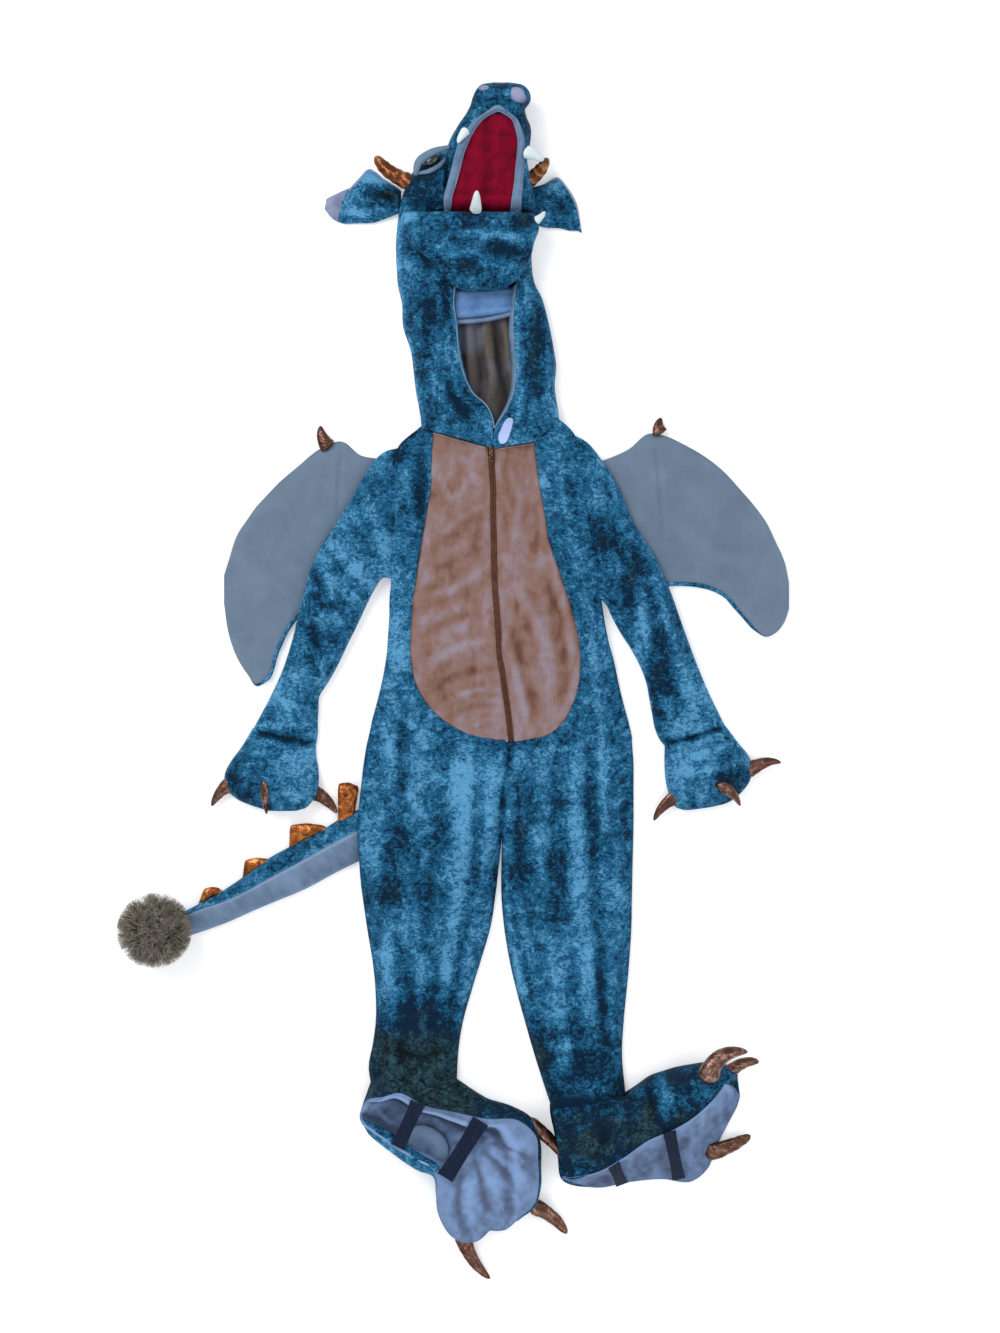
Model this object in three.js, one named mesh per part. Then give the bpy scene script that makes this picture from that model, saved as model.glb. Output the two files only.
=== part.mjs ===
// Child's dragon costume, laid out flat on its back.
// Millimetres, +Z up. The floor is z = 0 and the origin lies under the middle of the whole costume.
// +Y runs from the feet to the snout. "Left" and "right" are as seen from above.
import * as THREE from 'three';

// Driving dimensions
const VELVET = 2; // pile fabric with its backing
const LINING = 1.2;
const SEAM = 0.3; // space between two sewn pieces
const WING_LAYER = 3; // cover fabric with its share of the foam
const STRAP = 1.6;
const TORSO_CROWN = 20; // rise of the front over the back
const LEG_CROWN = 22;
const ARMHOLE_RISE = 8;
const TAIL_UNDER_LEG = 15; // the tail pressed flat below the leg
const HOOD_CROWN = 30;
const PULL_LENGTH = 20;

// Finishes: colour, roughness, metalness
const finishes = {
  velvet: [0x265f86, 0.7, 0],
  belly: [0x8f7468, 0.75, 0],
  felt: [0x6a7b91, 0.9, 0],
  sole: [0x708bb1, 0.85, 0],
  lining: [0x3e4042, 0.5, 0],
  zip: [0x644339, 0.5, 0],
  brass: [0x7d6238, 0.35, 1],
  copper: [0xa8693f, 0.35, 0.8],
  horn: [0x453126, 0.4, 0.8],
  tooth: [0xd4e5ef, 0.6, 0],
  mouth: [0x720525, 0.8, 0],
  gum: [0x8fa6bd, 0.85, 0],
  elastic: [0x1a283c, 0.8, 0],
  fur: [0x6f6860, 1, 0],
  eye: [0x0c0f14, 0.1, 0],
};

const costume = new THREE.Group();
costume.position.set(-0.9, 10.1, 0); // from the layout's zero to the middle of the whole costume

// ---------------------------------------------------------------- helpers

/** Rows of numbers become objects with the named columns. */
function table(columns, rows) {
  const names = columns.split(' ');
  return rows.map((row) => Object.fromEntries(names.map((name, k) => [name, row[k]])));
}

const clamp = (value, low, high) => Math.min(high, Math.max(low, value));
const mix = (a, b, t) => a + (b - a) * t;

/** Eases from 0 to 1 as value goes from start to end. */
function ease(value, start, end) {
  const t = clamp((value - start) / (end - start), 0, 1);
  return t * t * (3 - 2 * t);
}

/** Reads one column of a table at a place along its first column, which rises or falls. */
function read(rows, key, column, place) {
  const sign = Math.sign(rows.at(-1)[key] - rows[0][key]);
  const next = rows.findIndex((row) => sign * (row[key] - place) >= 0);
  if (next === 0) return rows[0][column];
  if (next < 0) return rows.at(-1)[column];
  const [a, b] = [rows[next - 1], rows[next]];
  return mix(a[column], b[column], (place - a[key]) / (b[key] - a[key]));
}

/** Adds a closed mesh from points and quads or triangles, with its faces turned outwards. */
function addSolid(name, finish, points, faces) {
  const triangles = [];
  for (const face of faces) {
    triangles.push([face[0], face[1], face[2]]);
    if (face.length === 4) triangles.push([face[0], face[2], face[3]]);
  }
  const corner = (index) => new THREE.Vector3(...points[index]);
  let volume = 0;
  for (const [a, b, c] of triangles) volume += corner(a).dot(corner(b).cross(corner(c)));
  const turned = volume < 0 ? triangles.map(([a, b, c]) => [a, c, b]) : triangles;
  const geometry = new THREE.BufferGeometry();
  geometry.setAttribute('position', new THREE.Float32BufferAttribute(points.flat(), 3));
  geometry.setIndex(turned.flat());
  geometry.computeVertexNormals();
  const [color, roughness, metalness] = finishes[finish];
  const mesh = new THREE.Mesh(geometry, new THREE.MeshStandardMaterial({ color, roughness, metalness }));
  mesh.name = name;
  costume.add(mesh);
}

/** A sheet between two grids of points, closed round its edge. */
function addSheet(name, finish, outer, inner) {
  const rows = outer.length;
  const columns = outer[0].length;
  const points = [...outer.flat(), ...inner.flat()];
  const far = rows * columns;
  const at = (i, j) => i * columns + j;
  const faces = [];
  for (let i = 0; i + 1 < rows; i += 1) {
    for (let j = 0; j + 1 < columns; j += 1) {
      const quad = [at(i, j), at(i, j + 1), at(i + 1, j + 1), at(i + 1, j)];
      faces.push(quad, quad.map((corner) => corner + far).reverse());
    }
  }
  const edge = [];
  for (let j = 0; j < columns; j += 1) edge.push(at(0, j));
  for (let i = 1; i < rows; i += 1) edge.push(at(i, columns - 1));
  for (let j = columns - 2; j >= 0; j -= 1) edge.push(at(rows - 1, j));
  for (let i = rows - 2; i > 0; i -= 1) edge.push(at(i, 0));
  edge.forEach((a, k) => {
    const b = edge[(k + 1) % edge.length];
    faces.push([b, a, a + far, b + far]);
  });
  addSolid(name, finish, points, faces);
}

/** A wall between two stacks of rings, open at the start and closed at the end if asked. */
function addTube(name, finish, outer, inner, closed) {
  const count = outer[0].length;
  const points = [...outer.flat(), ...inner.flat()];
  const far = outer.length * count;
  const faces = [];
  const ring = (first, k) => first + (k % count);
  const side = (start, rows, flip) => {
    for (let i = 0; i + 1 < rows; i += 1) {
      for (let k = 0; k < count; k += 1) {
        const a = start + i * count;
        const b = a + count;
        const quad = [ring(a, k), ring(a, k + 1), ring(b, k + 1), ring(b, k)];
        faces.push(flip ? quad.reverse() : quad);
      }
    }
  };
  const cap = (first, flip) => {
    const middle = [0, 1, 2].map((axis) => {
      let sum = 0;
      for (let k = 0; k < count; k += 1) sum += points[first + k][axis];
      return sum / count;
    });
    points.push(middle);
    for (let k = 0; k < count; k += 1) {
      const fan = [ring(first, k), ring(first, k + 1), points.length - 1];
      faces.push(flip ? fan.reverse() : fan);
    }
  };
  const join = (a, b, flip) => {
    for (let k = 0; k < count; k += 1) {
      const quad = [ring(a, k), ring(a, k + 1), ring(b, k + 1), ring(b, k)];
      faces.push(flip ? quad.reverse() : quad);
    }
  };
  side(0, outer.length, false);
  side(far, inner.length, true);
  join(0, far, true);
  if (closed) {
    cap((outer.length - 1) * count, false);
    cap(far + (inner.length - 1) * count, true);
  } else {
    join((outer.length - 1) * count, far + (inner.length - 1) * count, false);
  }
  addSolid(name, finish, points, faces);
}

/** A filled piece through a stack of rings, capped at both ends. */
function addLoft(name, finish, rings) {
  const count = rings[0].length;
  const points = rings.flat();
  const faces = [];
  for (let i = 0; i + 1 < rings.length; i += 1) {
    for (let k = 0; k < count; k += 1) {
      const [a, b] = [i * count, (i + 1) * count];
      const next = (k + 1) % count;
      faces.push([a + k, a + next, b + next, b + k]);
    }
  }
  for (const first of [0, (rings.length - 1) * count]) {
    const middle = [0, 1, 2].map((axis) => {
      const ring = points.slice(first, first + count);
      return ring.reduce((sum, point) => sum + point[axis], 0) / count;
    });
    points.push(middle);
    for (let k = 0; k < count; k += 1) {
      const next = (k + 1) % count;
      const fan = [first + k, first + next, points.length - 1];
      faces.push(first === 0 ? fan.reverse() : fan);
    }
  }
  addSolid(name, finish, points, faces);
}

/** Moves a line of [x, y] points sideways, to its left for a distance above 0. */
function beside(line, distance) {
  return line.map(([x, y], k) => {
    const [ax, ay] = line[Math.max(0, k - 1)];
    const [bx, by] = line[Math.min(line.length - 1, k + 1)];
    const length = Math.hypot(bx - ax, by - ay);
    return [x - ((by - ay) / length) * distance, y + ((bx - ax) / length) * distance];
  });
}

/** Distance from a point to a straight stretch, and how far along that stretch it falls. */
function nearness(x, y, stretch) {
  const dx = stretch.x1 - stretch.x0;
  const dy = stretch.y1 - stretch.y0;
  const along = clamp(((x - stretch.x0) * dx + (y - stretch.y0) * dy) / (dx * dx + dy * dy), 0, 1);
  return { along, distance: Math.hypot(x - stretch.x0 - along * dx, y - stretch.y0 - along * dy) };
}

// ---------------------------------------------------------------- what the body lies on

const shoulderLift = 2 * WING_LAYER + 2 * SEAM;
const wingRise = { start: 407, top: 340 };
const wingFall = { start: 66, end: -36 };
const tailBed = { x0: 71, y0: -174, x1: -216, y1: -230, half: 46, ramp: 58 };

/** Height of the underside of the back, carried by the wings at the shoulders and by the tail. */
function bed(x, y) {
  const wings = shoulderLift * ease(y, wingRise.start, wingRise.top) * ease(y, wingFall.end, wingFall.start);
  const { distance } = nearness(x, y, tailBed);
  const tail = (TAIL_UNDER_LEG + SEAM) * (1 - ease(distance, tailBed.half, tailBed.half + tailBed.ramp));
  return wings + tail;
}

// ---------------------------------------------------------------- body outline and seams

// Outer edges of the body and inner edges of the legs, from the shoulders to the ankles.
const body = table('y left inLeft inRight right', [
  [346, -46, 52, 55, 164],
  [323, -77, 52, 55, 169],
  [234, -81, 55, 56, 176],
  [139, -87, 57, 59, 196],
  [111, -90, 59, 60, 206],
  [60, -90, 64, 66, 214],
  [1, -99, 70, 71, 228],
  [-77, -119, 80, 81, 248],
  [-116, -126, 80, 81, 251],
  [-211, -130, 67, 68, 251],
  [-293, -127, 59, 66, 249],
  [-351, -127, 50, 71, 248],
  [-410, -115, 32, 81, 244],
  [-469, -118, 14, 97, 238],
  [-508, -113, 7, 108, 235],
  [-545, -120, 4, 119, 235],
  [-587, -123, 3, 133, 241],
]);

// Raised creases of the cloth.
const creases = table('x0 y0 x1 y1 width height', [
  [-97, 111, -83, -113, 16, 6],
  [-48, -253, -83, -463, 18, 9],
  [22, -239, -20, -477, 16, 8],
  [120, -197, 148, -505, 18, 9],
  [204, -29, 197, -309, 18, 8],
  [183, -351, 204, -533, 16, 8],
  [-34, -57, 36, 111, 18, 5],
  [92, -15, 155, 55, 18, 5],
  [-174, 167, -115, 111, 13, 8],
  [-190, 111, -143, 76, 12, 7],
  [234, 207, 272, -29, 14, 8],
  [190, 293, 204, 167, 14, 7],
  [-109, -477, -6, -505, 12, 8],
]);

/** Height of the creases at a place. */
function creaseRise(x, y) {
  return creases.reduce((sum, crease) => {
    const { along, distance } = nearness(x, y, crease);
    const fade = 0.4 + 0.6 * Math.sin(Math.PI * clamp(along, 0.05, 0.95));
    return sum + crease.height * fade * Math.exp(-((distance / crease.width) ** 2));
  }, 0);
}

/** A rounded rise across a piece, steep at its edges. */
const dome = (t) => (4 * clamp(t, 0, 1) * (1 - clamp(t, 0, 1))) ** 0.5;

const crotch = { above: -127, below: -281 };
const armpit = { above: 167, below: 83 };

/** Underside of the front of the body. */
function frontUnder(x, y) {
  const left = read(body, 'y', 'left', y);
  const right = read(body, 'y', 'right', y);
  const inLeft = read(body, 'y', 'inLeft', y);
  const inRight = read(body, 'y', 'inRight', y);
  const whole = dome((x - left) / (right - left));
  const onLeft = x < (inLeft + inRight) / 2;
  const leg = onLeft ? dome((x - left) / (inLeft - left)) : dome((x - inRight) / (right - inRight));
  const split = ease(y, crotch.above, crotch.below);
  const edge = ARMHOLE_RISE * ease(y, armpit.below, armpit.above);
  const rise = mix(edge + (TORSO_CROWN - edge) * whole, LEG_CROWN * leg, split);
  const calm = Math.min(1, 1.4 * mix(whole, leg, split));
  return bed(x, y) + VELVET + SEAM + rise + calm * creaseRise(x, y);
}

/** Rows of points between two edge lines, at the given shares of the way across. */
function acrossRows(first, second, shares, height) {
  return first.map(([ax, ay], i) => {
    const [bx, by] = second[i];
    return shares.map((share) => {
      const [x, y] = [mix(ax, bx, share), mix(ay, by, share)];
      return [x, y, height(x, y)];
    });
  });
}

/** A flat-cut panel between two edge lines, lying at the height of its underside. */
function addPanel(name, finish, first, second, shares, under, wall) {
  const low = acrossRows(first, second, shares, under);
  const high = low.map((row) => row.map(([x, y, z]) => [x, y, z + wall]));
  addSheet(name, finish, high, low);
}

const half = SEAM / 2;

// The belly's edges, down each side to the middle of its rounded bottom.
const bellyLeftEdge = [
  [-29, 344], [-31, 307], [-32, 269], [-38, 231], [-45, 193], [-53, 139], [-60, 71],
  [-60, 24], [-52, -10], [-35, -38], [-11, -60], [22, -77], [59, -84],
];
const bellyRightEdge = [
  [112, 330], [115, 307], [120, 269], [127, 231], [133, 193], [151, 139], [171, 71],
  [176, 27], [174, -10], [165, -38], [153, -60], [133, -77], [102, -84],
];
const zipLine = [
  [52, 321], [53, 295], [55, 265], [55, 231], [56, 193], [57, 139], [62, 71],
  [64, 34], [69, 1], [73, -27], [76, -48], [78, -66], [80, -81],
];
const zipTapeHalf = 4;

// Front panels beside the belly, then down the centre seam and the leg.
const legRows = {
  left: [-87, -111, -155, -211, -256, -301, -346, -391, -435, -480, -511, -539.4],
  right: [-87, -111, -155, -211, -256, -301, -346, -391, -435, -480, -522, -577.9],
};
const frontLeftTop = [
  [-46, 351], [-77, 322], [-80, 267], [-83, 228], [-84, 190], [-87, 139], [-91, 71],
  [-95, 24], [-102, -10], [-109, -38], [-115, -60], [-118, -77], [-120, -84],
];
const frontRightTop = [
  [144, 363], [168, 340], [175, 298], [182, 253], [189, 209], [204, 113], [211, 69],
  [223, 27], [231, -10], [238, -38], [244, -60], [248, -77], [249, -84],
];
const legLine = (rows, column) => rows.map((y) => [read(body, 'y', column, y), y]);

const legShares = [0, 0.08, 0.22, 0.4, 0.6, 0.8, 0.93, 1];

/** One side of the front: the strip beside the belly runs into the leg. */
function addFront(name, outerTop, bellyEdge, rows, outer, inner, side) {
  const outside = [...outerTop, ...legLine(rows, outer)];
  const inside = beside([...bellyEdge, ...legLine(rows, inner)], side * half);
  addPanel(name, 'velvet', outside, inside, legShares, frontUnder, VELVET);
}
addFront('front_left', frontLeftTop, bellyLeftEdge, legRows.left, 'left', 'inLeft', -1);
addFront('front_right', frontRightTop, bellyRightEdge, legRows.right, 'right', 'inRight', 1);

/** A belly half between its curved edge and the zip tape. */
function addBelly(name, edge, side) {
  const outside = beside(edge, side * half);
  const inside = beside(zipLine, side * -zipTapeHalf);
  addPanel(name, 'belly', outside, inside, [0, 0.3, 0.65, 1], frontUnder, VELVET);
}
addBelly('belly_left', bellyLeftEdge, 1);
addBelly('belly_right', bellyRightEdge, -1);
addPanel(
  'zip_tape', 'zip',
  beside(zipLine, zipTapeHalf - SEAM), beside(zipLine, SEAM - zipTapeHalf),
  [0, 1], frontUnder, VELVET,
);

// Back panels, flat on the floor and raised only by what lies below them.
const backShoulder = { left: [[-46, 344], [-77, 322]], right: [[164, 344], [169, 322]] };
const backTop = [293, 251, 195, 139, 113, 69, 24, -15, -60];
const backShares = [0, 0.08, 0.3, 0.62, 1];

/** A straight line between two points, read at a height on the page. */
const straightAt = ([ax, ay], [bx, by], y) => mix(ax, bx, (y - ay) / (by - ay));

/** One side of the back, from the neck to the ankle. */
function addBack(name, shoulder, armhole, rows, outer, inner, side) {
  const ys = [...shoulder.map((point) => point[1]), ...backTop, ...rows];
  const outside = ys.map((y, k) => {
    if (k < shoulder.length) return shoulder[k];
    const onArmhole = y > armhole[1][1];
    return [onArmhole ? straightAt(armhole[0], armhole[1], y) : read(body, 'y', outer, y), y];
  });
  const inside = beside(ys.map((y) => [read(body, 'y', inner, y), y]), side * half);
  addPanel(name, 'velvet', outside, inside, backShares, bed, VELVET);
}
const armholeLeft = [[-77, 322], [-87, 139]];
const armholeRight = [[168, 340], [204, 113]];
addBack('back_left', backShoulder.left, armholeLeft, legRows.left, 'left', 'inLeft', -1);
addBack('back_right', backShoulder.right, armholeRight, legRows.right, 'right', 'inRight', 1);

// Zip slider at the top of the tape, and its pull tab on a pin across it.
const sliderFoot = zipLine[0];
const sliderZ = frontUnder(...sliderFoot) + VELVET + SEAM;
const slider = { width: 9, length: 12, height: 4 };
const pull = { width: 6, thick: 1.4, bow: 5 };

/** A plate with rounded ends, standing on its underside. */
function addPlate(name, finish, outline, z, thick) {
  const rings = [z, z + thick].map((height) => outline.map(([x, y]) => [x, y, height]));
  addLoft(name, finish, rings);
}
const [pullX, pullY] = sliderFoot;
addPlate('zip_slider', 'brass', [
  [pullX - slider.width / 2, pullY], [pullX - slider.width / 3, pullY - slider.length],
  [pullX + slider.width / 3, pullY - slider.length], [pullX + slider.width / 2, pullY], [pullX, pullY + 1],
], sliderZ, slider.height);
const pullZ = sliderZ + slider.height + SEAM;
const pullTop = pullY - 2;
addPlate('zip_pull', 'brass', [
  [pullX - pull.width / 2, pullTop - 2], [pullX - pull.width / 2, pullTop - PULL_LENGTH + 2],
  [pullX, pullTop - PULL_LENGTH], [pullX + pull.width / 2, pullTop - PULL_LENGTH + 2],
  [pullX + pull.width / 2, pullTop - 2], [pullX, pullTop],
], pullZ, pull.thick);

// ---------------------------------------------------------------- sleeves and mitts

// Shares across a tube, its top from one edge to the other and its underside back again.
const tubeTop = [0, 0.12, 0.35, 0.65, 0.88, 1];
const tubeFoot = [0.97, 0.65, 0.35, 0.03];

/** Rings of a flattened tube across rows { ax, ay, bx, by, rise, edge }, with its inside. */
function tubeRings(rows) {
  const ring = (row, inset) => {
    const length = Math.hypot(row.bx - row.ax, row.by - row.ay);
    const margin = inset ? VELVET / length : 0;
    const place = (share) => {
      const t = mix(margin, 1 - margin, share);
      return [mix(row.ax, row.bx, t), mix(row.ay, row.by, t)];
    };
    const above = tubeTop.map((share) => {
      const [x, y] = place(share);
      const crown = mix(row.edge, row.rise, dome(share));
      const crease = Math.min(1, 2 * dome(share)) * creaseRise(x, y);
      const under = bed(x, y) + VELVET + 2 * SEAM + crown + crease;
      return [x, y, inset ? under : under + VELVET];
    });
    const below = tubeFoot.map((share) => {
      const [x, y] = place(share);
      return [x, y, bed(x, y) + (inset ? VELVET : 0)];
    });
    return [...above, ...below];
  };
  return { outer: rows.map((row) => ring(row, false)), inner: rows.map((row) => ring(row, true)) };
}

/** A tube of cloth between rows, open at its start. */
function addCloth(name, rows, closed) {
  const { outer, inner } = tubeRings(rows);
  if (closed) inner.pop();
  addTube(name, 'velvet', outer, inner, closed);
}

const sleeveLeft = table('ax ay bx by rise edge', [
  [-78, 322, -88, 139, 16, 8],
  [-97, 316, -98, 141, 19, 3],
  [-111, 304, -109, 127, 20, 1],
  [-127, 279, -122, 102, 20, 1],
  [-147, 245, -133, 78, 20, 1],
  [-164, 217, -146, 52, 20, 1],
  [-182, 190, -158, 27, 20, 1],
  [-197, 160, -169, 6, 20, 1],
  [-209, 122, -179, -10, 20, 1],
  [-218, 84, -188, -25, 20, 1],
  [-225, 55, -189, -42, 19, 1],
  [-238, 15, -190, -59, 18, 1],
  [-258, -28, -190, -76, 16, 1],
  [-281, -71, -192, -90, 13, 1],
]);
const sleeveRight = table('ax ay bx by rise edge', [
  [205, 113, 169, 340, 16, 8],
  [213, 102, 181, 333, 19, 3],
  [218, 91, 207, 304, 20, 1],
  [225, 77, 230, 266, 20, 1],
  [235, 60, 248, 223, 20, 1],
  [245, 45, 263, 197, 20, 1],
  [253, 31, 279, 174, 20, 1],
  [262, 13, 290, 150, 20, 1],
  [269, -7, 301, 125, 20, 1],
  [273, -28, 318, 77, 20, 1],
  [277, -50, 335, 31, 19, 1],
  [281, -70, 354, -15, 18, 1],
  [287, -84, 370, -48, 16, 1],
  [294, -93, 379, -66, 13, 1],
]);
addCloth('sleeve_left', sleeveLeft, false);
addCloth('sleeve_right', sleeveRight, false);

const mittLeft = table('ax ay bx by rise edge', [
  [-281.4, -71.8, -192.2, -90.8, 14, 1],
  [-298, -97, -192, -109, 24, 1],
  [-312, -116, -189, -127, 28, 1],
  [-320, -133, -188, -144, 28, 1],
  [-319, -151, -190, -158, 26, 1],
  [-304, -167, -196, -169, 20, 1],
  [-283, -176, -204, -178, 12, 1],
  [-258, -183, -218, -183, 5, 1],
]);
const mittRight = table('ax ay bx by rise edge', [
  [294.2, -93.8, 379.3, -67.8, 14, 1],
  [294, -116, 398, -90, 24, 1],
  [295, -136, 412, -108, 28, 1],
  [298, -153, 417, -125, 28, 1],
  [302, -167, 414, -141, 26, 1],
  [309, -178, 402, -158, 20, 1],
  [322, -183, 384, -172, 12, 1],
  [337, -182, 364, -178, 5, 1],
]);
addCloth('mitt_left', mittLeft, true);
addCloth('mitt_right', mittRight, true);

// ---------------------------------------------------------------- claws, horns and fangs

const CLAW_SIDES = 7;
const CLAW_STEPS = 5;

/** A tapered, bent point from its root to its tip, bending through a middle place. */
function addClaw(name, finish, claw) {
  const root = new THREE.Vector3(claw.x0, claw.y0, claw.z0);
  const bend = new THREE.Vector3(claw.x1, claw.y1, claw.z1);
  const tip = new THREE.Vector3(claw.x2, claw.y2, claw.z2);
  const path = new THREE.QuadraticBezierCurve3(root, bend, tip);
  const rings = [];
  for (let i = 0; i <= CLAW_STEPS; i += 1) {
    const t = i / CLAW_STEPS;
    const centre = path.getPoint(t);
    const ahead = path.getTangent(t);
    const across = new THREE.Vector3(0, 0, 1).cross(ahead).normalize();
    const up = ahead.clone().cross(across);
    const radius = claw.radius * (i === CLAW_STEPS ? 0.16 : (1 - t) ** 0.6 * 0.9 + 0.1);
    const ring = [];
    for (let k = 0; k < CLAW_SIDES; k += 1) {
      const angle = (2 * Math.PI * k) / CLAW_SIDES;
      const point = centre.clone()
        .addScaledVector(across, radius * Math.cos(angle))
        .addScaledVector(up, radius * Math.sin(angle) * claw.flat);
      ring.push(point.toArray());
    }
    rings.push(ring);
  }
  addLoft(name, finish, rings);
}

const claws = table('name finish x0 y0 z0 x1 y1 z1 x2 y2 z2 radius flat', [
  ['claw_hand_left_1', 'copper', -315.4, -162.0, 9, -335.5, -165.0, 10, -340, -181, 5, 8.5, 0.85],
  ['claw_hand_left_2', 'copper', -265.2, -183.2, 9, -262.1, -197.3, 10, -262, -206, 6, 5, 0.85],
  ['claw_hand_left_3', 'copper', -194.1, -171.2, 11.6, -181, -168, 13, -169, -176, 11, 7, 0.85],
  ['claw_hand_right_1', 'copper', 418.3, -122.6, 9, 435.7, -111.8, 11, 459, -116, 6, 8.5, 0.85],
  ['claw_hand_right_2', 'copper', 382.1, -179.1, 9, 393.3, -176.3, 11, 402, -186, 6, 6, 0.85],
  ['claw_hand_right_3', 'copper', 306.5, -181.2, 10, 289.8, -180.2, 12, 279, -202, 6, 8.5, 0.85],
  ['claw_wing_left', 'copper', -176.8, 328.3, 8, -186.4, 340.1, 9, -185, 356, 5, 9, 0.6],
  ['claw_wing_right', 'copper', 289.3, 347.0, 8, 281.8, 355.5, 9, 290, 367, 5, 8.5, 0.6],
  ['claw_foot_left_1', 'copper', 124.2, -641.5, 24, 141.9, -646.2, 24, 154, -673, 14, 11, 0.85],
  ['claw_foot_left_2', 'copper', 115.5, -739.4, 16, 135.8, -749.0, 16, 158, -774, 9, 11, 0.85],
  ['claw_foot_left_3', 'copper', 12.1, -783.7, 13, 22.8, -811.1, 13, 52, -839, 8, 12, 0.85],
  ['claw_foot_right_1', 'copper', 358.1, -544.9, 52, 370.8, -521.6, 62, 414, -524, 50, 14, 0.85],
  ['claw_foot_right_2', 'copper', 395.7, -547.6, 20, 408.5, -534.6, 24, 426, -536, 16, 9, 0.85],
  ['claw_foot_right_3', 'copper', 365.4, -654.7, 16, 384.3, -647.2, 18, 414, -636, 10, 12, 0.85],
  ['horn_left', 'horn', -66.1, 693.8, 28, -83.5, 722.8, 30, -111, 732, 24, 11, 0.9],
  ['horn_right', 'horn', 117.1, 693.0, 28, 132.0, 707.7, 30, 137, 729, 24, 10, 0.9],
]);
for (const claw of claws) addClaw(claw.name, claw.finish, claw);

// ---------------------------------------------------------------- wings

const wingLeft = table('x top foot', [
  [-321, 146, 104],
  [-315, 165, 64],
  [-302, 203, 28],
  [-288, 224, 6],
  [-276, 241, -10],
  [-263, 255, -4],
  [-246, 273, 39],
  [-218, 297, 85],
  [-188, 321, 102],
  [-157, 332, 111],
  [-126, 312, 113],
  [-76, 304, 115],
  [50, 304, 115],
]);
const wingRight = table('x top foot', [
  [468, 136, 97],
  [462, 164, 80],
  [449, 193, 64],
  [437, 218, 59],
  [423, 238, 66],
  [399, 266, 91],
  [377, 290, 115],
  [349, 312, 127],
  [321, 328, 130],
  [294, 340, 130],
  [274, 343, 129],
  [244, 321, 122],
  [204, 304, 115],
  [56, 304, 115],
]);
const wingShares = [0, 0.25, 0.5, 0.75, 1];
const rim = 5; // the back cover shows past the front one

/** A wing: a front cover over a back cover, both flat on the floor. */
function addWing(side, rows) {
  const top = rows.map((row) => [row.x, row.top]);
  const foot = rows.map((row) => [row.x, row.foot]);
  const trimmed = rows.map((row) => [row.x, row.foot + rim]);
  addPanel(`wing_back_${side}`, 'velvet', top, foot, wingShares, () => 0, WING_LAYER);
  addPanel(`wing_front_${side}`, 'felt', top, trimmed, wingShares, () => WING_LAYER + SEAM, WING_LAYER);
}
addWing('left', wingLeft);
addWing('right', wingRight);

// ---------------------------------------------------------------- tail

// Edges of the tail and the seam between its two colours, from below the leg to its tip.
const tail = table('topX topY seamX seamY footX footY high', [
  [34, -150, 39, -174, 45, -200, TAIL_UNDER_LEG],
  [-34, -162, -28, -186, -22, -213, TAIL_UNDER_LEG],
  [-90, -174, -84, -199, -78, -225, TAIL_UNDER_LEG],
  [-143, -186, -136, -213, -126, -251, TAIL_UNDER_LEG],
  [-178, -207, -171, -230, -164, -270, 24],
  [-231, -235, -224, -259, -211, -295, 27],
  [-263, -253, -256, -276, -245, -309, 27],
  [-295, -277, -288, -294, -283, -325, 26],
  [-325, -297, -318, -308, -314, -339, 24],
  [-356, -314, -351, -319, -346, -351, 21],
  [-385, -329, -384, -333, -382, -363, 16],
]);

/** A filled half of the tail, full along its seam and thin along its outer edge. */
function addTailHalf(name, finish, edge, seam, heights) {
  const rings = edge.map(([ex, ey], i) => {
    const [seamX, seamY] = seam[i];
    const high = heights[i];
    const at = (t, z) => [mix(ex, seamX, t), mix(ey, seamY, t), z];
    return [at(0, high * 0.25), at(0.15, high * 0.62), at(0.5, high * 0.9), at(1, high), at(1, 0), at(0.25, 0)];
  });
  addLoft(name, finish, rings);
}
const tailSeam = tail.map((row) => [row.seamX, row.seamY]);
const tailHigh = tail.map((row) => row.high);
const tailTop = tail.map((row) => [row.topX, row.topY]);
const tailFoot = tail.map((row) => [row.footX, row.footY]);
addTailHalf('tail_top', 'velvet', tailTop, beside(tailSeam, -half), tailHigh);
addTailHalf('tail_under', 'sole', tailFoot, beside(tailSeam, half), tailHigh);

// Crest: pointed spikes on one strip along the top edge of the tail, each point over its foot.
const crest = table('x y foot', [
  [-143, -178, -143], [-143, -148, -150], [-164, -140, -157], [-169, -196, -167],
  [-179, -200, -178], [-185, -204, -188], [-230, -203, -221], [-231, -228, -231],
  [-239, -234, -239], [-260, -246, -260], [-293, -252, -284], [-295, -270, -295],
  [-304, -277, -304], [-326, -290, -326], [-349, -291, -343], [-354, -308, -354],
]);
const crestStrip = { low: 2, high: 7, clear: 0.6 };
addLoft('tail_crest', 'copper', crest.map(({ x, y, foot }) => {
  const footY = read(tail, 'topX', 'topY', foot) + crestStrip.clear;
  const { low, high } = crestStrip;
  return [[x, y, low], [x, y, high], [foot, footY, high], [foot, footY, low]];
}));

// Fur ball at the tip of the tail, pressed a little flat below.
const ball = { x: -419, y: -353, radius: 48, press: 4 };
const furBall = [];
const bands = 9;
for (let i = 1; i < bands; i += 1) {
  const polar = (Math.PI * i) / bands;
  const ring = [];
  for (let k = 0; k < 16; k += 1) {
    const turn = (2 * Math.PI * k) / 16;
    const reach = ball.radius * Math.sin(polar);
    const z = Math.max(0, ball.radius - ball.press + ball.radius * Math.cos(Math.PI - polar));
    ring.push([ball.x + reach * Math.cos(turn), ball.y + reach * Math.sin(turn), z]);
  }
  furBall.push(ring);
}
furBall[0].forEach((point) => { point[2] = 0; });
addLoft('tail_ball', 'fur', furBall);

// ---------------------------------------------------------------- hood

const neckTabZ = 36.5;

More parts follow.
